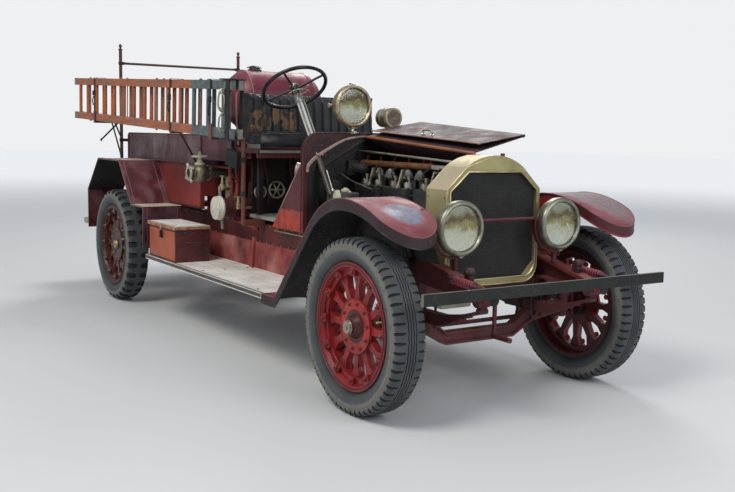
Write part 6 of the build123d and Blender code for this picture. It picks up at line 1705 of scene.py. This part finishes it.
def ladder_trim():
    """Tie rods and nuts, end plates, straps, the front bracket with its rings, and the braces at the rear."""
    slope = Vector((math.cos(LADDER_SLOPE), 0, -math.sin(LADDER_SLOPE)))
    upright = Vector((math.sin(LADDER_SLOPE), 0, math.cos(LADDER_SLOPE)))

    def spot(x, y, up):
        return Vector((x, y, ladder_z(x))) + up * upright

    for y, share in product(LADDER_RAILS, (0.13, 0.37, 0.61, 0.85)):
        x = LADDER_REAR_X + (LADDER_FRONT_X - LADDER_REAR_X) * share
        form.tube([spot(x, y, -0.196), spot(x, y, 0.196)], 0.0045)
        for up, sign in ((0.193, 1), (-0.193, -1)):
            form.lathe([(0.0, 0.014), (0.003, 0.014)], spot(x, y, up), sign * upright, steps=12)
            form.bolt(spot(x, y, up + sign * 0.003), sign * upright, 0.0095, 0.007)
    piece("ladder_ties", dull_grey)

    for x, y in product((LADDER_REAR_X + 0.004, LADDER_FRONT_X - 0.006), LADDER_RAILS):
        for up in (-0.162, 0.162):
            form.block(spot(x, y, up), (0.010, 0.036, 0.066), along=slope, up=upright)
            form.block(spot(x + (0.05 if x < 0 else -0.05), y - 0.0175, up), (0.10, 0.003, 0.050),
                       along=slope, up=upright)
    piece("ladder_end_plates", dull_grey, bevel=0.001)

    for x in (POST_X, -0.300, FRONT_POST_X):
        outer, inner = -0.8515, -0.7505
        corners = [spot(x, inner, -0.197), spot(x, outer, -0.197), spot(x, outer, 0.197),
                   spot(x, inner, 0.197)]
        ups = [Vector((0, 0.7, -0.7)), Vector((0, -0.7, -0.7)), Vector((0, -0.7, 0.7)), Vector((0, 0.7, 0.7))]
        form.strip(corners, 0.030, 0.004, ups, closed=True)
        form.block(spot(x, outer - 0.006, 0.06), (0.040, 0.014, 0.044), along=slope, up=upright)
        form.tube([spot(x, outer - 0.010, 0.03), spot(x, outer - 0.018, -0.01),
                   spot(x, outer - 0.010, -0.05)], 0.005)
    piece("ladder_straps", dark_iron, bevel=0.001)

    front = LADDER_FRONT_X - 0.030
    for up in (0.199, -0.199):
        form.block(spot(front - 0.045, -0.801, up), (0.17, 0.120, 0.010), along=slope, up=upright)
    for y in (-0.853, -0.749):
        form.block(spot(front - 0.010, y, 0.0), (0.060, 0.008, 0.40), along=slope, up=upright)
    piece("ladder_bracket", dark_iron, bevel=0.0015)

    upper = (0.135, 0.0), (0.128, 0.020), (0.085, 0.034), (0.020, 0.036), (-0.010, 0.020), (-0.012, 0.0)
    lower = (-0.030, 0.0), (-0.038, 0.020), (-0.075, 0.030), (-0.120, 0.030), (-0.150, 0.016), (-0.152, 0.0)
    for hook in (upper, lower):
        loop = [spot(front - 0.055, -0.862, up) + out * Vector((0, -1, 0)) for up, out in hook]
        form.tube(curve(loop, 6), 0.0065, sides=10)
    form.ring(spot(front - 0.085, -0.864, 0.055), (0, 1, 0), 0.052, 0.0055, steps=36)
    for up in (0.13, -0.02, -0.15):
        form.lathe([(0.0, 0.013), (0.006, 0.013), (0.009, 0.008)], spot(front - 0.055, -0.856, up),
                   (0, -1, 0), steps=12)
    piece("ladder_catch", nickel)

    rear = POST_X
    braces = (((rear, -0.61, 1.44), (rear + 0.28, -0.765, 1.585)),
              ((rear, -0.61, 1.58), (rear + 0.02, -0.80, 1.40)),
              ((rear + 0.03, -0.612, 1.24), (rear - 0.24, -0.612, 1.56)))
    for start, end in braces:
        form.tube([start, end], 0.008)
        for place in (start, end):
            form.lathe([(-0.004, 0.014), (0.004, 0.014)], place, (0, 1, 0), steps=12)
    piece("ladder_braces", dark_iron)


def rail_trim():
    """Collars of the posts and sockets of the rail between them."""
    collar = [(-0.016, 0.0160), (-0.012, 0.0195), (0.012, 0.0195), (0.016, 0.0160)]
    for side in (-1, 1):
        x, y = POST_X, side * POST_Y
        for z in (1.08, 1.40, 2.112):
            form.lathe(collar, (x, y, z), (0, 0, 1), steps=20)
        form.lathe([(0.012, 0.0145), (0.030, 0.0145), (0.040, 0.0115)], (x, y, 2.112), (0, -side, 0),
                   steps=16)
    for z in (1.06, 1.30):
        form.lathe(collar, (FRONT_POST_X, -POST_Y, z), (0, 0, 1), steps=20)
    piece("post_collars", dark_iron)


ladder_trim()
rail_trim()


# Body, tank and pump

BODY_REAR_X, BODY_FRONT_X = REAR_AXLE_X - 0.56, REAR_AXLE_X + 1.205
TANK = Vector((-0.232, -0.025, 1.746))
TANK_SEAM = 0.257
OUTLET_X, OUTLET_Z = -0.224, 1.178


def body_trim():
    """Mouldings, corner posts and rivets of the hose body and the cabinet before it."""
    for side in (-1, 1):
        y = side * 0.5455
        form.tube([(BODY_REAR_X + 0.002, side * 0.532, 1.462), (0.132, side * 0.532, 1.462)], 0.012, sides=10)
        form.strip([(BODY_REAR_X + 0.004, y, 1.229), (0.130, y, 1.229)], 0.018, 0.007, (0, side, 0))
        form.strip([(BODY_REAR_X + 0.004, y, 0.890), (BODY_FRONT_X - 0.004, y, 0.890)], 0.018, 0.006,
                   (0, side, 0))
        for x in (BODY_REAR_X + 0.014, BODY_FRONT_X - 0.010):
            form.strip([(x, y, 0.884), (x, y, 1.456)], 0.022, 0.006, (0, side, 0))
    form.tube([(BODY_FRONT_X - 0.012, -0.53, 1.462), (BODY_FRONT_X - 0.012, 0.53, 1.462)], 0.012, sides=10)
    for side in (-1, 1):
        form.strip([(BODY_REAR_X, side * 0.530, 0.884), (BODY_REAR_X, side * 0.530, 1.456)], 0.022, 0.006,
                   (-1, 0, 0))
    form.strip([(BODY_REAR_X, -0.515, 1.188), (BODY_REAR_X, 0.515, 1.188)], 0.018, 0.008, (-1, 0, 0))
    piece("body_mouldings", maroon, bevel=0.001)

    for side, number in product((-1, 1), range(23)):
        x = BODY_REAR_X + 0.05 + 0.077 * number
        for z in (1.44, 1.255):
            form.rivet((x, side * 0.545, z), (0, side, 0), 0.0055)
    for y in np.linspace(-0.48, 0.48, 13):
        form.rivet((BODY_REAR_X, y, 1.165), (-1, 0, 0), 0.0055)
        form.rivet((BODY_REAR_X, y, 0.905), (-1, 0, 0), 0.0055)
    piece("body_rivets", axle_paint)

    for number in range(6):
        y = -0.43 + 0.172 * number
        form.block((-1.31, y, 1.0135), (1.69, 0.15, 0.007))
    for y in (-0.28, 0.28):
        form.block((BODY_REAR_X - 0.006, y, 1.16), (0.014, 0.055, 0.012))
        form.ring((BODY_REAR_X - 0.014, y, 1.135), (1, 0, 0), 0.026, 0.005, steps=24)
    piece("hose_bed_boards", step_wood, bevel=0.002)


def tank_trim():
    """The tank's seams, bands, rivets, filler cap, stand bolts and pipes."""
    for y in (-TANK_SEAM, TANK_SEAM):
        form.lathe([(-0.014, 0.2285), (-0.012, 0.2310), (0.012, 0.2310), (0.014, 0.2285)],
                   TANK + Vector((0, y, 0)), (0, 1, 0), steps=72)
    piece("tank_bands", tank_paint)

    for y in (-TANK_SEAM, TANK_SEAM):
        form.ring(TANK + Vector((0, y * 1.05, 0)), (0, 1, 0), 0.2280, 0.0034, steps=72)
        for number in range(24):
            turn = TURN * number / 24
            place = TANK + Vector((0.2308 * math.cos(turn), y, 0.2308 * math.sin(turn)))
            form.rivet(place, (math.cos(turn), 0, math.sin(turn)), 0.004)
    piece("tank_rivets", edge_paint)

    top = TANK + Vector((0, -0.155, 0.228))
    form.lathe([(-0.016, 0.054), (0.001, 0.057), (0.008, 0.055), (0.011, 0.044), (0.024, 0.041),
                (0.028, 0.034), (0.030, 0.014), (0.034, 0.011), (0.035, 0.0)], top, (0, 0, 1), steps=32)
    form.tube([top + Vector((0, -0.066, 0.020)), top + Vector((0, -0.030, 0.031)),
               top + Vector((0, 0.030, 0.031)), top + Vector((0, 0.060, 0.022))],
              [0.004, 0.0055, 0.0055, 0.004])
    piece("tank_filler", gloss_black, bevel=0.001)

    form.lathe([(0.0, 0.013), (0.006, 0.013), (0.009, 0.008), (0.010, 0.0)],
               top + Vector((0.020, -0.020, 0.029)), (0, 0, 1), steps=16)
    piece("filler_vent", red_paint)

    for y, x in product((TANK.y - 0.200, TANK.y + 0.200), (-0.150, 0.150)):
        form.bolt((TANK.x + x, y, 1.3005), (0, 0, 1), 0.012, 0.010)
    form.tube(curve([(-0.05, -0.24, 1.62), (0.02, -0.24, 1.54), (0.06, -0.27, 1.38), (0.08, -0.30, 1.302)],
                    6), 0.012, sides=10)
    form.tube(curve([(-0.05, 0.20, 1.62), (0.03, 0.21, 1.52), (0.07, 0.28, 1.302)], 6), 0.012, sides=10)
    piece("tank_fittings", bright_brass)


def valve(side_name, side):
    """A discharge valve: its riser, ball body, collar, cap lugs, stem and spoked handwheel."""
    def at(y, z):
        return Vector((OUTLET_X, side * y, z))

    out, up = Vector((0, side, 0)), Vector((0, 0, 1))
    form.lathe([(0.8405, 0.064), (0.856, 0.064), (0.858, 0.0495), (1.12, 0.0495), (1.16, 0.056),
                (1.20, 0.060), (1.225, 0.048), (1.232, 0.0)], (OUTLET_X, side * 0.38, 0), up, steps=32)
    form.lathe([(0.38, 0.036), (0.42, 0.040), (0.56, 0.040), (0.562, 0.062), (0.578, 0.062), (0.580, 0.046),
                (0.596, 0.058), (0.620, 0.069), (0.645, 0.072), (0.668, 0.068), (0.688, 0.052),
                (0.692, 0.044), (0.735, 0.046), (0.735, 0.032), (0.676, 0.032), (0.676, 0.0)],
               (OUTLET_X, 0, OUTLET_Z), out, steps=36)
    body = piece(f"valve_body_{side_name}", valve_bronze, round_below=30)
    form.lathe([(0.690, 0.050), (0.694, 0.056), (0.706, 0.056), (0.710, 0.050)], (OUTLET_X, 0, OUTLET_Z),
               out, steps=36)
    form.lathe([(0.716, 0.047), (0.718, 0.060), (0.732, 0.062), (0.738, 0.058), (0.738, 0.0345),
                (0.728, 0.033)], (OUTLET_X, 0, OUTLET_Z), out, steps=36, closed=True)
    for radial in spokes("y", 4, 0.35):
        form.lathe([(0.0, 0.013), (0.012, 0.012), (0.018, 0.015), (0.026, 0.013), (0.029, 0.006)],
                   at(0.726, OUTLET_Z) + 0.056 * radial, radial, steps=12)
    for radial in spokes("y", 8):
        form.bolt(at(0.578, OUTLET_Z) + 0.052 * radial, out, 0.007, 0.007)
    piece(f"valve_collar_{side_name}", nickel, bevel=0.0008)

    top = at(0.645, OUTLET_Z)
    form.lathe([(0.060, 0.038), (0.070, 0.040), (0.078, 0.034), (0.082, 0.022), (0.100, 0.020),
                (0.104, 0.013), (0.150, 0.011), (0.158, 0.013), (0.164, 0.006)], top, up, steps=20)
    rim = top + Vector((0, 0, 0.126))
    form.ring(rim, up, 0.056, 0.0075, steps=40)
    form.lathe([(0.112, 0.015), (0.116, 0.019), (0.138, 0.019), (0.142, 0.014)], top, up, steps=16)
    for radial in spokes("z", 5):
        form.tube([rim + 0.014 * radial, rim + 0.054 * radial], [0.0075, 0.005])
    piece(f"valve_handwheel_{side_name}", aluminium)

    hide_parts("discharge_valves")


def pump_trim():
    """The suction caps with flanges and bars, the red pipes, cocks, side boxes and covers of the pump."""
    for side_name, side in SIDES:
        out = Vector((0, side, 0))
        centre = Vector((0.190, 0, 0.941))
        form.lathe([(0.657, 0.080), (0.657, 0.087), (0.662, 0.0885), (0.672, 0.0885), (0.676, 0.085),
                    (0.694, 0.085), (0.699, 0.082), (0.7015, 0.076), (0.7015, 0.034), (0.706, 0.028),
                    (0.706, 0.0)], centre, out, steps=48)
        piece(f"suction_cap_{side_name}", cap_cream, bevel=0.0006)

        form.lathe([(0.560, 0.0705), (0.564, 0.092), (0.580, 0.092), (0.584, 0.0705)], centre, out, steps=40)
        form.lathe([(0.250, 0.0705), (0.252, 0.10), (0.30, 0.10), (0.31, 0.0705)], centre, out, steps=40)
        for radial in spokes("y", 8):
            form.bolt(centre + 0.582 * out + 0.082 * radial, out, 0.008, 0.008)
        piece(f"suction_flanges_{side_name}", pump_paint)

        lean = Vector((-math.sin(math.radians(10)), 0, math.cos(math.radians(10))))
        middle = centre + 0.6525 * out
        for sign in (-1, 1):
            form.lathe([(0.128, 0.0100), (0.134, 0.0120), (0.146, 0.0120), (0.153, 0.0070)], middle,
                       sign * lean, steps=12)
        piece(f"suction_bar_{side_name}", dull_grey)

        y = side * 0.50
        form.tube(curve([(0.075, y, 1.286), (0.110, y - side * 0.01, 1.215), (0.150, y, 1.13),
                         (0.185, y + side * 0.02, 1.06), (0.190, y + side * 0.02, 1.010)], 7), 0.0165,
                  sides=12)
        form.tube(curve([(0.035, y, 1.286), (0.065, y + side * 0.02, 1.20), (0.110, y + side * 0.03, 1.11),
                         (0.120, y + side * 0.02, 1.0), (0.120, side * 0.40, 0.96)], 7), 0.0165, sides=12)
        form.tube(curve([(0.10, side * 0.56, 0.86), (0.30, side * 0.52, 0.83), (0.44, side * 0.47, 0.80)],
                        6), 0.012, sides=10)
        for place in ((0.150, y, 1.13), (0.100, y + side * 0.03, 1.12)):
            form.lathe([(-0.014, 0.020), (-0.010, 0.024), (0.010, 0.024), (0.014, 0.020)], place,
                       (0.35, 0, -0.9), steps=16)
        piece(f"pump_pipes_{side_name}", red_paint)

        for x, z, height in ((0.055, 1.09, 0.075), (0.29, 0.965, 0.060)):
            y = side * (0.58 if x < 0.1 else 0.56)
            form.lathe([(-0.030, 0.016), (-0.024, 0.021), (0.016, 0.021), (0.022, 0.013), (height, 0.009)],
                       (x, y, z), (0, 0, 1), steps=14)
            form.tube([(x - 0.045, y, z - 0.005), (x + 0.045, y, z - 0.005)], 0.013, sides=10)
            form.tube([(x, y, z - 0.02), (x, side * 0.44, z - 0.02)], 0.011, sides=10)
            form.tube([(x - 0.034, y, z + height), (x + 0.034, y, z + height)], 0.006)
        form.lathe([(0.0, 0.012), (0.050, 0.012), (0.055, 0.036), (0.068, 0.040), (0.080, 0.036),
                    (0.085, 0.012)], (0.130, side * 0.44, 1.02), (0, side, 0), steps=24)
        piece(f"pump_cocks_{side_name}", bright_brass)

        form.block((0.235, side * 0.555, 1.30), (0.200, 0.080, 0.115), along=(1, 0, -0.16), up=(0.16, 0, 1))
        form.tube([(0.20, side * 0.545, 1.352), (0.20, side * 0.560, 1.384)], 0.008)
        form.tube(curve([(0.17, side * 0.555, 1.245), (0.15, side * 0.55, 1.20), (0.19, side * 0.54, 1.15)],
                        6), 0.007)
        piece(f"side_box_{side_name}", dark_iron, bevel=0.005)

        form.lathe([(-0.05, 0.054), (-0.042, 0.062), (0.042, 0.062), (0.05, 0.054)],
                   (0.03, side * 0.49, 0.93), (0, 1, 0), steps=28)
        for number in range(10):
            turn = TURN * number / 10
            form.bolt((0.06 + 0.185 * math.cos(turn), side * 0.31, 0.93 + 0.185 * math.sin(turn)),
                      (0, side, 0), 0.012, 0.010)
        form.lathe([(0.31, 0.13), (0.34, 0.12), (0.36, 0.07), (0.372, 0.0)], (0.06, 0, 0.93), (0, side, 0),
                   steps=36)
        piece(f"pump_cover_{side_name}", pump_paint)


body_trim()
tank_trim()
for side_name, side in SIDES:
    valve(side_name, side)
pump_trim()


# Steps, boards and toolboxes

def board_trim():
    """Metal edges, rivets and bolts of the running boards and the tail step."""
    for side in (-1, 1):
        outer = side * 0.897
        form.strip([(-0.733, outer, 0.4885), (1.350, outer, 0.4885)], 0.030, 0.003, (0, side, 0))
        form.strip([(-0.733, side * 0.889, 0.505), (1.350, side * 0.889, 0.505)], 0.020, 0.0022, (0, 0, 1))
        form.strip([(1.3535, side * 0.455, 0.488), (1.3535, side * 0.89, 0.488)], 0.030, 0.002, (1, 0, 0))
        for number in range(14):
            form.rivet((-0.69 + 0.155 * number, side * 0.889, 0.507), (0, 0, 1), 0.005)
    low = -2.988
    outline = [(low + 0.62, 0.759), (low + 0.06, 0.759), (low + 0.0025, 0.70), (low + 0.0025, -0.70),
               (low + 0.06, -0.759), (low + 0.62, -0.759)]
    form.strip([(x + 0.006 * (x < -2.9), y * 0.985, 0.610) for x, y in outline], 0.018, 0.0025, (0, 0, 1))
    for x, y in outline:
        form.rivet((x + 0.008, y * 0.983, 0.612), (0, 0, 1), 0.006)
    piece("board_edges", dull_grey)

    for side, x in product((-1, 1), (-0.62, 0.32, 1.21)):
        for y in (0.50, 0.68, 0.85):
            form.bolt((x, side * y, 0.505), (0, 0, 1), 0.009, 0.0035)
    for x, y in product((-2.85, -2.65, -2.45), (-0.66, -0.39, 0.39, 0.66)):
        form.bolt((x, y, 0.610), (0, 0, 1), 0.010, 0.004)
    piece("board_bolts", iron)


def toolbox_trim(side_name, side):
    """Hasp, end handle, corner irons and the lid's metal rim."""
    outer = side * 0.880
    form.block((-0.415, outer + side * 0.003, 0.700), (0.050, 0.006, 0.060))
    form.block((-0.415, outer + side * 0.012, 0.716), (0.018, 0.014, 0.022))
    form.lathe([(-0.005, 0.016), (0.005, 0.016)], (-0.415, outer + side * 0.014, 0.690), (0, side, 0),
               steps=16)
    piece(f"toolbox_lock_{side_name}", dark_iron, bevel=0.0012)

    for x, z in product((-0.6955, -0.1335), (0.535, 0.725)):
        form.block((x, side * 0.862, z), (0.004, 0.036, 0.040))
    for z in (0.512, 0.742):
        form.strip([(-0.696, outer - side * 0.0006, z), (-0.133, outer - side * 0.0006, z)], 0.012, 0.0022,
                   (0, side, 0))
    for x in (-0.690, -0.139):
        form.strip([(x, outer - side * 0.0006, 0.508), (x, outer - side * 0.0006, 0.752)], 0.012, 0.0022,
                   (0, side, 0))
        for z in (0.54, 0.60, 0.66, 0.72):
            form.rivet((x, outer + side * 0.001, z), (0, side, 0), 0.0032)
    for x, sign in ((-0.697, -1), (-0.132, 1)):
        form.tube(curve([(x, side * 0.80, 0.66), (x + sign * 0.022, side * 0.795, 0.655),
                         (x + sign * 0.024, side * 0.69, 0.655), (x, side * 0.685, 0.66)], 6), 0.005)
    piece(f"toolbox_irons_{side_name}", axle_paint, bevel=0.0008)

    body = f"toolbox_lid_{side_name}"
    low, high = (Vector(corner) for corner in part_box(body))
    z = high.z - 0.0005
    x0, x1 = low.x + 0.006, high.x - 0.006
    y0, y1 = (low.y + 0.026, high.y - 0.006) if side > 0 else (low.y + 0.006, high.y - 0.026)
    form.strip([(x0, y0, z), (x1, y0, z), (x1, y1, z), (x0, y1, z)], 0.014, 0.002, (0, 0, 1), closed=True)
    hasp_y = high.y + 0.001 if side > 0 else low.y - 0.001
    form.block((-0.415, hasp_y, low.z + 0.006), (0.030, 0.004, 0.036))
    for number, y in product(range(5), (y0, y1)):
        form.rivet((x0 + (x1 - x0) * (number + 0.5) / 5, y, z + 0.0015), (0, 0, 1), 0.003)
    piece(f"lid_rim_{side_name}", edge_paint, body=body)


board_trim()
for side_name, side in SIDES:
    toolbox_trim(side_name, side)


# Underneath

def under_trim():
    """The frame's rivets and strips, and the brake rods."""
    for side in (-1, 1):
        y = side * 0.4305
        for number in range(42):
            x = -2.42 + 0.112 * number
            form.rivet((x, y, 0.705), (0, side, 0), 0.006)
            form.rivet((x + 0.05, y, 0.825), (0, side, 0), 0.006)
        form.strip([(0.62, y, 0.838), (1.10, y, 0.838)], 0.010, 0.005, (0, side, 0))
        form.strip([(0.62, y, 0.806), (1.10, y, 0.806)], 0.010, 0.005, (0, side, 0))
    piece("frame_rivets", bright_brass)

    for side in (-1, 1):
        y = side * 0.345
        form.tube([(0.72, y, 0.662), (-1.45, y, 0.62)], 0.0075)
        for x, z in ((0.70, 0.662), (-1.44, 0.620)):
            form.block((x, y, z), (0.06, 0.022, 0.026))
    piece("brake_rods", iron)


under_trim()


# Floor, light and camera

def studio():
    """A pale floor and backdrop, soft lamps and even light from all round."""
    scene = bpy.context.scene
    scene.view_settings.view_transform = "Standard"
    world = bpy.data.worlds.new("studio")
    scene.world = world
    world.use_nodes = True
    tree = world.node_tree
    light = tree.nodes["Background"]
    light.inputs["Color"].default_value = (0.80, 0.86, 0.95, 1)
    light.inputs["Strength"].default_value = 0.55
    plain = tree.nodes.new("ShaderNodeBackground")
    plain.inputs["Color"].default_value = (0.86, 0.87, 0.88, 1)
    path = tree.nodes.new("ShaderNodeLightPath")
    choice = tree.nodes.new("ShaderNodeMixShader")
    tree.links.new(path.outputs["Is Camera Ray"], choice.inputs[0])
    tree.links.new(light.outputs[0], choice.inputs[1])
    tree.links.new(plain.outputs[0], choice.inputs[2])
    tree.links.new(choice.outputs[0], tree.nodes["World Output"].inputs[0])

    f = Finish("floor", Roughness=0.9)
    f.shader.inputs["Base Color"].default_value = (0.62, 0.63, 0.63, 1)
    east, north = f.axis("X"), f.axis("Y")
    away = f.sum("SQRT", f.sum("ADD", f.both(east, east), f.both(north, north)))
    f.shader.inputs["Emission Color"].default_value = (0.86, 0.87, 0.88, 1)
    f.put(f.shader.inputs["Emission Strength"], f.span(away, 5.0, 26.0, 0.0, 0.62, soft=True))
    half = 60.0
    mesh = bpy.data.meshes.new("floor")
    mesh.from_pydata([(-half, -half, 0), (half, -half, 0), (half, half, 0), (-half, half, 0)], [],
                     [(0, 1, 2, 3)])
    mesh.materials.append(f.material)
    floor = bpy.data.objects.new("floor", mesh)
    scene.collection.objects.link(floor)

    for name, place, aim, size, power, colour in (
        ("key", (3.0, -6.5, 8.5), (0.6, 0, 0.9), 4.0, 520.0, (1.0, 0.965, 0.9)),
        ("front", (9.0, 1.0, 4.5), (1.5, 0, 0.8), 4.0, 230.0, (0.92, 0.96, 1.0)),
        ("rim", (-5.5, 5.5, 7.0), (0, 0, 1.0), 4.0, 420.0, (1.0, 0.98, 0.95)),
    ):
        lamp = bpy.data.lights.new(name, "AREA")
        lamp.shape = "DISK"
        lamp.size = size
        lamp.energy = power
        lamp.color = colour
        thing = bpy.data.objects.new(name, lamp)
        thing.location = place
        thing.rotation_euler = (Vector(aim) - Vector(place)).to_track_quat("-Z", "Y").to_euler()
        scene.collection.objects.link(thing)


def camera():
    """The camera at the photograph's viewing angle."""
    yaw, pitch, roll = (math.radians(angle) for angle in (CAMERA_YAW, CAMERA_PITCH, CAMERA_ROLL))
    forward = Vector((math.cos(yaw) * math.cos(pitch), math.sin(yaw) * math.cos(pitch), -math.sin(pitch)))
    level = Vector((math.sin(yaw), -math.cos(yaw), 0))
    upright = level.cross(forward)
    right = math.cos(roll) * level + math.sin(roll) * upright
    up = -math.sin(roll) * level + math.cos(roll) * upright
    data = bpy.data.cameras.new("camera")
    data.sensor_width = SENSOR_WIDTH
    data.lens = CAMERA_FOCAL_PX * SENSOR_WIDTH / PHOTO_WIDTH
    data.clip_end = 200.0
    thing = bpy.data.objects.new("camera", data)
    columns = Matrix((right, up, -forward)).transposed()
    thing.matrix_world = Matrix.Translation(CAMERA_PLACE) @ columns.to_4x4()
    bpy.context.scene.collection.objects.link(thing)
    bpy.context.scene.camera = thing


studio()
camera()
